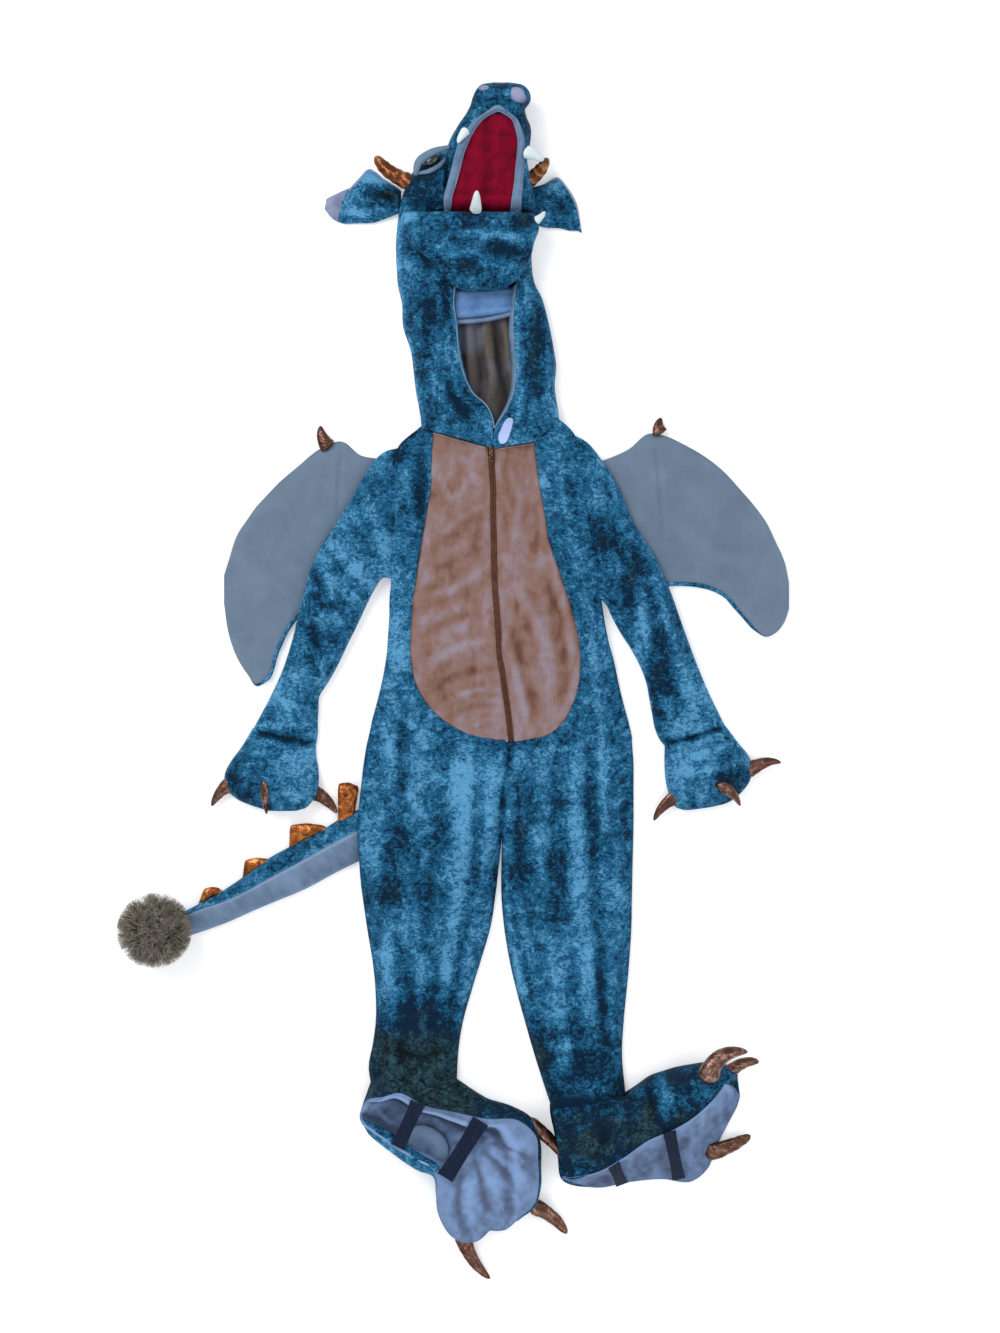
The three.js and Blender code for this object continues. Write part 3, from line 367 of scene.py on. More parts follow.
def tube_shell(name: str, outer: Points, inner: Points, closed: bool) -> Object:
    """A wall between two stacks of rings.

    Args:
        name: Name of the piece.
        outer: Rings of the outside, shape (rows, count, 3).
        inner: Rings of the inside, of as many or fewer rows.
        closed: Whether the last rings are capped, so the tube is a pouch.

    Returns:
        The tube.
    """
    count = outer.shape[1]
    far = outer.shape[0] * count
    faces = grid_faces(outer.shape[0], count, 0, True, False)
    faces += grid_faces(inner.shape[0], count, far, True, True)
    points = [outer.reshape(-1, 3), inner.reshape(-1, 3)]
    relief = [relief_of(outer, True).ravel(), relief_of(inner, True).ravel()]
    last, last_inner = far - count, far + (inner.shape[0] - 1) * count
    ring = range(count)
    faces += [((k + 1) % count, k, far + k, far + (k + 1) % count) for k in ring]
    if closed:
        points += [outer[-1].mean(axis=0)[None], inner[-1].mean(axis=0)[None]]
        relief.append(np.zeros(2))
        tip = far + inner.shape[0] * count
        faces += [(last + k, last + (k + 1) % count, tip) for k in ring]
        faces += [(last_inner + (k + 1) % count, last_inner + k, tip + 1) for k in ring]
    else:
        ahead = [(k + 1) % count for k in ring]
        faces += [(last + k, last + n, last_inner + n, last_inner + k) for k, n in zip(ring, ahead)]
    return make_object(name, np.concatenate(points), faces, np.concatenate(relief))


def loft(name: str, rings: Points) -> Object:
    """A filled piece through a stack of rings, capped at both ends.

    Args:
        name: Name of the piece.
        rings: Points, shape (rows, count, 3).

    Returns:
        The piece.
    """
    rows, count = rings.shape[:2]
    faces = grid_faces(rows, count, 0, True, False)
    tips = np.stack([rings[0].mean(axis=0), rings[-1].mean(axis=0)])
    first, last = rows * count, (rows - 1) * count
    faces += [((k + 1) % count, k, first) for k in range(count)]
    faces += [(last + k, last + (k + 1) % count, first + 1) for k in range(count)]
    relief = np.concatenate([relief_of(rings, True, 3, 3.0).ravel(), np.zeros(2)])
    return make_object(name, np.concatenate([rings.reshape(-1, 3), tips]), faces, relief)


def across(first: Points, second: Points, shares: Points) -> tuple[Points, Points]:
    """Places between two edge lines at the given shares, as x and y grids."""
    plan = first[:, None, :2] * (1 - shares[None, :, None]) + second[:, None, :2] * shares[None, :, None]
    return plan[..., 0], plan[..., 1]


def edge_lines(data: Points, step: float) -> tuple[Points, Points, Points]:
    """Close places and both edge lines of rows that start with ax, ay, bx and by."""
    places = knot_places((data[:, :2], data[:, 2:4]), step)
    return places, spline(data[:, :2], places), spline(data[:, 2:4], places)


def turned(x: float, y: float, along: Points, over: Points, turn: float) -> tuple[Points, Points]:
    """Places that lie along and over from x and y, on axes turned by an angle."""
    return (x + along * math.cos(turn) - over * math.sin(turn),
            y + along * math.sin(turn) + over * math.cos(turn))


def turns(count: int) -> Points:
    """Angles all round, evenly spaced."""
    return np.linspace(0, 2 * np.pi, count, endpoint=False)


def stack(x: Points, y: Points, z: Points) -> Points:
    """Joins three grids into one of points."""
    return np.stack([x, y, np.broadcast_to(z, np.shape(x))], axis=-1)


def crowded(count: int, amount: float = 0.7) -> Points:
    """Shares from 0 to 1 that crowd towards both ends."""
    t = np.linspace(0, 1, count)
    return (1 - amount) * t + amount * (1 - np.cos(np.pi * t)) / 2


def beside(line: Points, distance: float) -> Points:
    """Moves a plan line sideways, to its left for a distance above 0.

    Args:
        line: Points of the line.
        distance: How far, in millimetres.

    Returns:
        The moved line.
    """
    ahead = np.gradient(line[:, :2], axis=0)
    ahead /= np.linalg.norm(ahead, axis=1)[:, None] + 1e-9
    moved = line.copy()
    moved[:, 0] -= ahead[:, 1] * distance
    moved[:, 1] += ahead[:, 0] * distance
    return moved


def swept(name: str, path: Points, radii: Points, sides: int = 16, flat: float = 1.0) -> Object:
    """A round piece along a path.

    Args:
        name: Name of the piece.
        path: Points of the centre line.
        radii: Radius at each point.
        sides: Corners of the section.
        flat: Height of the section against its width.

    Returns:
        The piece, capped at both ends.
    """
    ahead = np.gradient(path, axis=0)
    ahead /= np.linalg.norm(ahead, axis=1)[:, None]
    level = np.cross(np.array([0.0, 0.0, 1.0]), ahead)
    level /= np.linalg.norm(level, axis=1)[:, None] + 1e-9
    up = np.cross(ahead, level)
    angle = turns(sides)
    ring = np.cos(angle)[None, :, None] * level[:, None] + np.sin(angle)[None, :, None] * up[:, None] * flat
    return loft(name, path[:, None] + ring * np.asarray(radii)[:, None, None])


# ---------------------------------------------------------------- finishes

class Wire:
    """A shader socket that Python's arithmetic works on."""

    def __init__(self, shader: "Shader", socket: bpy.types.NodeSocket) -> None:
        """Keeps the socket with the shader that it belongs to."""
        self.shader, self.socket = shader, socket

    def _math(self, operation: str, first: "Wire | float", second: "Wire | float") -> "Wire":
        """Adds a Math node."""
        return self.shader.node("ShaderNodeMath", {"operation": operation}, {0: first, 1: second})

    def __add__(self, other: "Wire | float") -> "Wire":
        """Sum."""
        return self._math("ADD", self, other)

    def __radd__(self, other: float) -> "Wire":
        """Sum with a number first."""
        return self._math("ADD", other, self)

    def __sub__(self, other: "Wire | float") -> "Wire":
        """Difference."""
        return self._math("SUBTRACT", self, other)

    def __rsub__(self, other: float) -> "Wire":
        """Difference with a number first."""
        return self._math("SUBTRACT", other, self)

    def __mul__(self, other: "Wire | float") -> "Wire":
        """Product."""
        return self._math("MULTIPLY", self, other)

    def __rmul__(self, other: float) -> "Wire":
        """Product with a number first."""
        return self._math("MULTIPLY", other, self)

    def between(self, low: float, high: float) -> "Wire":
        """Rises smoothly from 0 to 1 between two values."""
        return self.shader.node("ShaderNodeMapRange", {"interpolation_type": "SMOOTHSTEP"}, {
            0: self, 1: low, 2: high, 3: 0.0, 4: 1.0,
        })


def linear(red: int, green: int, blue: int) -> tuple[float, float, float, float]:
    """A screen colour from 0 to 255 as the linear colour that shaders use.

    Args:
        red: Red part.
        green: Green part.
        blue: Blue part.

    Returns:
        The three parts and full cover, each from 0 to 1.
    """
    parts = [part / 255 for part in (red, green, blue)]
    parts = [part / 12.92 if part <= 0.04045 else ((part + 0.055) / 1.055) ** 2.4 for part in parts]
    return (parts[0], parts[1], parts[2], 1.0)


class Shader:
    """A node material under construction."""

    def __init__(self, name: str) -> None:
        """Starts a material with one surface shader.

        Args:
            name: Name of the material.
        """
        self.material = bpy.data.materials.new(name)
        self.material.use_nodes = True
        self.tree = self.material.node_tree
        self.tree.nodes.clear()
        self.output = self.tree.nodes.new("ShaderNodeOutputMaterial")
        self.surface = self.tree.nodes.new("ShaderNodeBsdfPrincipled")
        self.tree.links.new(self.surface.outputs[0], self.output.inputs[0])
        self._place: Wire | None = None

    def node(self, kind: str, settings: dict, inputs: dict, output: int | str = 0) -> Wire:
        """Adds a node.

        Args:
            kind: Type of the node.
            settings: Values of its properties, set before its sockets.
            inputs: Values or wires for its sockets, by number or name.
            output: The socket wanted.

        Returns:
            The node's output.
        """
        node = self.tree.nodes.new(kind)
        for key, value in settings.items():
            setattr(node, key, value)
        for key, value in inputs.items():
            if isinstance(value, Wire):
                self.tree.links.new(value.socket, node.inputs[key])
            else:
                node.inputs[key].default_value = value
        return Wire(self, node.outputs[output])

    def place(self) -> Wire:
        """Position on the costume, in metres."""
        if self._place is None:
            self._place = self.node("ShaderNodeTexCoord", {}, {}, "Object")
        return self._place

    def stretched(self, x: float, y: float, z: float = 1.0) -> Wire:
        """Position with each axis scaled."""
        return self.node("ShaderNodeVectorMath", {"operation": "MULTIPLY"}, {0: self.place(), 1: (x, y, z)})

    def noise(self, scale: float, detail: float = 2.0, rough: float = 0.5, bend: float = 0.0,
              at: Wire | None = None) -> Wire:
        """Soft noise from 0 to 1."""
        return self.node("ShaderNodeTexNoise", {}, {
            "Vector": at or self.place(), "Scale": scale, "Detail": detail, "Roughness": rough,
            "Distortion": bend,
        })

    def cells(self, scale: float, at: Wire) -> Wire:
        """Distance to the edges of random cells."""
        return self.node("ShaderNodeTexVoronoi", {"feature": "DISTANCE_TO_EDGE"}, {
            "Vector": at, "Scale": scale, "Randomness": 1.0,
        })

    def attribute(self, name: str) -> Wire:
        """A value kept at the points of the mesh."""
        return self.node("ShaderNodeAttribute", {"attribute_name": name}, {}, "Fac")

    def blend(self, share: Wire, first: Wire | Shade, second: Wire | Shade) -> Wire:
        """Mixes two colours, each a wire or a screen colour."""
        low, high = (end if isinstance(end, Wire) else linear(*end) for end in (first, second))
        return self.node("ShaderNodeMix", {"data_type": "RGBA"}, {0: share, 6: low, 7: high}, 2)

    def bump(self, height: Wire, strength: float, distance: float) -> None:
        """Feeds a height into the surface's normal."""
        wire = self.node("ShaderNodeBump", {}, {"Strength": strength, "Distance": distance, "Height": height})
        self.tree.links.new(wire.socket, self.surface.inputs["Normal"])

    def dress(self, **sockets: object) -> Material:
        """Sets the surface's sockets and returns the material.

        Args:
            **sockets: Values or wires by socket name, with underscores for spaces.

        Returns:
            The material.
        """
        for key, value in sockets.items():
            socket = self.surface.inputs[key.replace("_", " ")]
            if isinstance(value, Wire):
                self.tree.links.new(value.socket, socket)
            else:
                socket.default_value = value
        return self.material


@dataclass(frozen=True)
class CrushedVelvet:
    """Pile velvet crushed into small sideways ripples, darker where the pile lies down, with painted shade in
    hollows, fine cracks and shaded patches, painted sheen where it is brightest and a greenish dark in the
    deepest painted shade.
    """

    name: str = "velvet"
    dark: Shade = (2, 33, 56)
    middle: Shade = (25, 92, 130)
    bright: Shade = (92, 158, 200)

    def make(self) -> Material:
        """Builds the material.

        Returns:
            The material.
        """
        s = Shader(self.name)
        ripple_place = s.stretched(1.0, 1.9)
        ripples, cracks = s.noise(150, 3, 0.65, 0.8, ripple_place), s.cells(120, ripple_place)
        mottle, smears = s.noise(84, 5, 0.8, 1.3), s.noise(34, 5, 0.72, 1.6, s.stretched(1.5, 0.8))
        relief, pile_and_shade = s.attribute("relief"), s.attribute("pile_and_shade")
        # The noise is the crushed pile's own mottle; the relief, the pile-and-shade patches and the dark
        # cracks are painted shade and highlight, and the bright colour is painted sheen.
        light = (
            0.5 + 0.24 * relief + 0.48 * pile_and_shade + 2.0 * (mottle - 0.5) + 0.9 * (smears - 0.5)
            + 0.95 * (ripples - 0.5) - 0.16 * (1 - cracks.between(0.0, 0.08))
        )
        low = s.blend(light.between(0.08, 0.5), self.dark, self.middle)
        colour = s.blend(light.between(0.46, 1.0), low, self.bright)
        # Greenish dark colour painted in the deepest shade.
        deep_shade = s.blend((light - 0.4 * pile_and_shade).between(0.1, 1.15), (6, 19, 23), (60, 100, 114))
        s.bump(ripples * 0.9 + cracks.between(0.0, 0.16) * 0.3 + mottle * 0.5, 0.8, 0.0022)
        return s.dress(
            Base_Color=s.blend((0.9 * (mottle - 0.5) - pile_and_shade).between(0.75, 1.55), colour, deep_shade),
            Roughness=0.7, Specular_IOR_Level=0.1, Sheen_Weight=0.1, Sheen_Roughness=0.35,
            Sheen_Tint=linear(90, 170, 215),
        )


@dataclass(frozen=True)
class Velour:
    """Short smooth pile, painted darker and warmer in its folds as shade, with a painted pinkish sheen where
    it is lightest.
    """

    name: str = "belly_velour"

    def make(self) -> Material:
        """Builds the material.

        Returns:
            The material.
        """
        s = Shader(self.name)
        slow, fine = s.noise(17, 3, 0.55, 0.5), s.noise(900, 2, 0.7)
        streaks = s.noise(34, 4, 0.6, 0.4, s.stretched(1.5, 0.8))
        # Painted shade in the folds from the relief; where the streaks and lumps lift it highest the colour
        # turns to painted sheen.
        light = (
            0.5 + 0.32 * s.attribute("relief") + 1.1 * (streaks - 0.5)
            + 0.9 * (slow - 0.5) + 0.3 * (fine - 0.5)
        )
        base = s.blend(light.between(0.05, 0.5), (98, 65, 54), (133, 102, 92))
        # The pale pinkish colour is painted sheen on the lightest places.
        colour = s.blend(light.between(0.4, 0.95), base, (147, 132, 142))
        s.bump(fine * 0.5 + streaks * 0.6, 0.5, 0.0012)
        return s.dress(
            Base_Color=colour, Roughness=0.75, Specular_IOR_Level=0.12, Sheen_Weight=0.14,
            Sheen_Roughness=0.4, Sheen_Tint=linear(225, 180, 160),
        )


@dataclass(frozen=True)
class Brushed:
    """A flat cloth with a fine brushed nap, cloudy from handling, with painted shade in its hollows and
    painted light on its ridges.
    """

    name: str
    dark: Shade
    bright: Shade
    grain: float = 700.0
    cloud: float = 26.0
    depth: float = 0.0008
    sheen: float = 0.1
    weight: float = 0.3
    clouds: float = 1.1

    def make(self) -> Material:
        """Builds the material.

        Returns:
            The material.
        """
        s = Shader(self.name)
        cloud, fibres = s.noise(self.cloud, 4, 0.6, 0.6), s.noise(self.grain, 3, 0.7)
        strands = s.noise(self.grain * 0.5, 2, 0.6, 2.0)
        # Painted shade in hollows and painted light on ridges, as much as the weight gives the relief.
        light = (
            0.5 + self.weight * s.attribute("relief") + self.clouds * (cloud - 0.5) + 0.35 * (fibres - 0.5)
        )
        s.bump(fibres + strands * 0.6, 0.6, self.depth)
        return s.dress(
            Base_Color=s.blend(light.between(0.1, 0.95), self.dark, self.bright),
            Roughness=0.85, Specular_IOR_Level=0.12, Sheen_Weight=self.sheen, Sheen_Roughness=0.5,
            Sheen_Tint=linear(*self.bright),
        )


@dataclass(frozen=True)
class Satin:
    """A smooth dark lining with painted shade in its folds, soft streaks of painted reflected colour and
    patches of painted bluish reflection.
    """

    name: str = "hood_satin"

    def make(self) -> Material:
        """Builds the material.

        Returns:
            The material.
        """
        s = Shader(self.name)
        streaks, weave = s.noise(60, 3, 0.5, 0.3, s.stretched(1.4, 0.35)), s.noise(1500, 1, 0.5)
        # Painted shade in the folds from the relief, and painted streaks of reflection.
        light = 0.42 + 0.5 * s.attribute("relief") + 0.9 * (streaks - 0.5)
        brown = s.blend(light.between(0.1, 0.9), (28, 23, 20), (84, 76, 70))
        # Patches of painted bluish reflection.
        bluish_reflection = s.noise(16, 2, 0.5).between(0.5, 0.64)
        s.bump(weave, 0.2, 0.0003)
        return s.dress(
            Base_Color=s.blend(0.4 * bluish_reflection, brown, (104, 108, 130)), Roughness=0.5, Specular_IOR_Level=0.3,
        )


@dataclass(frozen=True)
class CoatedCloth:
    """Cloth with a metallic coat, wrinkled, with painted shade in its hollows and painted highlights on its
    crush.
    """

    name: str
    dark: Shade
    middle: Shade
    bright: Shade
    ribs: float = 0.0
    roughness: float = 0.3
    crush: float = 1.9

    def make(self) -> Material:
        """Builds the material.

        Returns:
            The material.
        """
        s = Shader(self.name)
        crush, fine = s.noise(62, 3, 0.55, 1.0), s.noise(420, 2, 0.6)
        # Painted light: the crush and the relief give painted highlights on lumps and painted shade in dents
        # and hollows.
        light = 0.45 + self.crush * (crush - 0.5) + 0.4 * s.attribute("relief") + 0.4 * (fine - 0.5)
        height = crush * 1.4 + fine * 0.2
        if self.ribs:
            bands = s.node("ShaderNodeTexWave", {"bands_direction": "DIAGONAL"}, {
                "Vector": s.place(), "Scale": self.ribs, "Distortion": 3.0,
                "Detail": 2.0, "Detail Scale": 2.0,
            }, "Fac")
            # Painted highlight bands along the ribs.
            light = light + 0.35 * (bands - 0.5)
            height = height + bands * 0.4
        low = s.blend(light.between(0.0, 0.5), self.dark, self.middle)
        s.bump(height, 0.7, 0.0025)
        return s.dress(
            Base_Color=s.blend(light.between(0.5, 1.1), low, self.bright), Metallic=0.75,
            Roughness=(crush * 0.25 + self.roughness - 0.1),
        )


@dataclass(frozen=True)
class Plush:
    """Soft padded cloth with a short nap, with painted shade in its hollows and painted light on its ridges.
    """

    name: str
    dark: Shade
    bright: Shade

    def make(self) -> Material:
        """Builds the material.

        Returns:
            The material.
        """
        s = Shader(self.name)
        nap, lumps = s.noise(650, 3, 0.65), s.noise(45, 3, 0.5, 0.4)
        # Painted shade in hollows and painted light on ridges from the relief; the lumps and nap vary the
        # cloth's own colour.
        light = 0.55 + 0.4 * s.attribute("relief") + 0.9 * (lumps - 0.5) + 0.5 * (nap - 0.5)
        s.bump(nap + lumps * 0.5, 0.6, 0.0012)
        return s.dress(
            Base_Color=s.blend(light.between(0.1, 0.9), self.dark, self.bright),
            Roughness=0.88, Specular_IOR_Level=0.1, Sheen_Weight=0.12, Sheen_Roughness=0.4,
            Sheen_Tint=linear(*self.bright),
        )


@dataclass(frozen=True)
class Woven:
    """Narrow webbing, ribbed along its length."""

    name: str
    dark: Shade
    bright: Shade
    scale: float = 230.0
    metal: float = 0.0
    roughness: float = 0.75

    def make(self) -> Material:
        """Builds the material.

        Returns:
            The material.
        """
        s = Shader(self.name)
        bands = s.node("ShaderNodeTexWave", {"bands_direction": "DIAGONAL"}, {
            "Vector": s.place(), "Scale": self.scale, "Distortion": 0.6, "Detail": 1.0,
        }, "Fac")
        wear = s.noise(150, 3, 0.6)
        light = 0.6 * bands + 0.8 * (wear - 0.3)
        s.bump(bands + wear * 0.4, 0.5, 0.0006)
        return s.dress(
            Base_Color=s.blend(light.between(0.0, 1.0), self.dark, self.bright),
            Roughness=self.roughness, Metallic=self.metal, Specular_IOR_Level=0.15,
        )


@dataclass(frozen=True)
class Gloss:
    """Clear hard gloss over a mottled colour, for the eye."""

    name: str = "eye_gloss"

    def make(self) -> Material:
        """Builds the material.

        Returns:
            The material.
        """
        s = Shader(self.name)
        mottle = s.noise(260, 3, 0.6)
        return s.dress(
            Base_Color=s.blend(mottle.between(0.35, 0.7), (8, 9, 14), (46, 44, 52)), Roughness=0.12,
            Coat_Weight=0.8, Coat_Roughness=0.05,
        )


@dataclass(frozen=True)
class Fur:
    """Long soft fibres, with painted shade towards their roots."""

    name: str = "tail_fur"

    def make(self) -> Material:
        """Builds the material.

        Returns:
            The material.
        """
        s = Shader(self.name)
        clumps, strands = s.noise(55, 3, 0.6, 0.5), s.noise(700, 2, 0.6)
        # The relief carries painted shade towards the roots and painted light towards the tips; the clumps
        # and strands vary the fur's own colour.
        light = 0.35 + 0.5 * s.attribute("relief") + 0.7 * (clumps - 0.5) + 0.6 * (strands - 0.5)
        low = s.blend(light.between(0.0, 0.5), (56, 50, 42), (124, 116, 100))
        return s.dress(
            Base_Color=s.blend(light.between(0.45, 1.0), low, (196, 186, 166)), Roughness=0.65,
            Specular_IOR_Level=0.3, Sheen_Weight=0.2,
        )


class Finish(Enum):
    """The finishes of the costume, each with the name of its slot."""

    VELVET = "velvet"
    PIPING = "velvet:piping"
    BELLY = "belly"
    FELT = "felt"
    SOLE = "sole"
    TAIL_FELT = "sole:tail"
    LINING = "lining"
    ZIP = "zip"
    BRASS = "brass"
    COPPER = "copper"
    CLAW = "copper:claw"
    HORN = "horn"
    TOOTH = "tooth"
    MOUTH = "mouth"
    GUM = "gum"
    BROW = "gum:brow"
    EYELID = "gum:lid"
    TAB = "tooth:tab"
    SOCKET = "gum:socket"
    CORD = "velvet:cord"
    ELASTIC = "elastic"
    FUR = "fur"
    EYE = "eye"

    @property
    def slot(self) -> str:
        """Name of the slot, the part of the value before any colon."""
        return self.value.split(":")[0]


def make_finishes() -> dict[Finish, Material]:
    """Every finish of the costume, made once.

    Returns:
        Materials by finish.
    """
    makers = {
        Finish.VELVET: CrushedVelvet(),
        Finish.PIPING: Plush("piping", (70, 96, 124), (122, 148, 174)),
        Finish.BELLY: Velour(),
        Finish.FELT: Brushed("wing_felt", (86, 102, 120), (124, 142, 162), cloud=14, clouds=0.4),
        Finish.SOLE: Brushed("sole_cloth", (76, 86, 110), (132, 162, 206), 500, 22, 0.001, 0.1, 0.36, 0.8),
        Finish.TAIL_FELT: Brushed("tail_cloth", (74, 94, 120), (130, 154, 182), 600, 30, clouds=0.7),
        Finish.LINING: Satin(),
        Finish.ZIP: Woven("zip_tape", (66, 38, 30), (126, 84, 66), 300),
        Finish.BRASS: Woven("zip_brass", (52, 36, 28), (140, 104, 78), 90, 0.7, 0.4),
        Finish.COPPER: CoatedCloth("crest_copper", (46, 20, 9), (158, 86, 36), (244, 168, 96), 0.0, 0.24),
        Finish.CLAW: CoatedCloth("claw_copper", (24, 15, 14), (92, 60, 48), (214, 174, 154), 0.0, 0.2, 0.9),
        Finish.HORN: CoatedCloth("horn_copper", (34, 17, 8), (112, 58, 24), (206, 150, 104), 34.0, 0.26, 0.9),
        Finish.TOOTH: Plush("tooth_felt", (184, 198, 206), (232, 240, 242)),
        Finish.MOUTH: Plush("mouth_plush", (78, 2, 18), (132, 6, 40)),
        Finish.GUM: Plush("gum_plush", (62, 82, 108), (118, 142, 172)),
        Finish.BROW: Plush("brow_plush", (58, 88, 134), (106, 146, 196)),
        Finish.EYELID: Plush("lid_plush", (92, 98, 126), (150, 158, 188)),
        Finish.SOCKET: Plush("socket_plush", (62, 84, 106), (110, 136, 160)),
        Finish.TAB: Plush("tab_felt", (146, 164, 212), (188, 204, 246)),
        Finish.CORD: Plush("belly_cord", (104, 86, 92), (168, 146, 150)),
        Finish.ELASTIC: Woven("strap_elastic", (8, 15, 30), (28, 44, 72)),
        Finish.FUR: Fur(),
        Finish.EYE: Gloss(),
    }
    return {finish: maker.make() for finish, maker in makers.items()}


@dataclass
class Wardrobe:
    """Dresses pieces and hides the plain solids that each stands for."""

    finishes: dict[Finish, Material]
    count: int = 0

    def add(self, piece: Object, finish: Finish, nodes: Sequence[str] = (), body: str = "garment") -> Object:
        """Gives a piece its finish and body, and hides the plain solids that it stands for.

        Args:
            piece: The piece.
            finish: Its finish.
            nodes: Plain solids that it stands for.
            body: The body that it moves with.

        Returns:
            The piece.
        """
        piece.data.materials.append(self.finishes[finish])
        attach(piece, body)
        finish.slot
        if nodes:
            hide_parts(*nodes)
        self.count += 1
        LOG.info("%s: %s, %d faces", piece.name, finish.name.lower(), len(piece.data.polygons))
        return piece

    def cloth(self, piece: Object, finish: Finish, held: str, rests_on: Sequence[str],
              nodes: Sequence[str] = (), width: float | None = None) -> Object:
        """Dresses a sheet and measures its cut on the piece.

        Args:
            piece: The piece.
            finish: Its finish.
            held: How the cloth lies. Not used.
            rests_on: What it lies on. Not used.
            nodes: Plain solids that it stands for.
            width: Width of the cut in millimetres where it isn't the piece's own, as all round a tube.

        Returns:
            The piece.
        """
        self.add(piece, finish, nodes)
        area = sum(face.area for face in piece.data.polygons) / 2
        corners = np.array([corner[:] for corner in piece.bound_box])
        size = corners.max(axis=0) - corners.min(axis=0)
        wide, long = sorted((float(size[0]), float(size[1])))
        wide = wide if width is None else width * MM
        long = max(long, area / wide)
        area = max(area, LEAST_SHARE * wide * long)
        return piece

    def pad(self, piece: Object, finish: Finish, fill: float, nodes: Sequence[str] = ()) -> Object:
        """Dresses a stuffed piece.

        Args:
            piece: The piece.
            finish: Its finish.
            fill: How full it is stuffed, from 0 to 1. Not used.
            nodes: Plain solids that it stands for.

        Returns:
            The piece.
        """
        self.add(piece, finish, nodes)
        return piece


# ---------------------------------------------------------------- shared shapes of the garment

TONES = Noise(11)
WRINKLES = Noise(23)

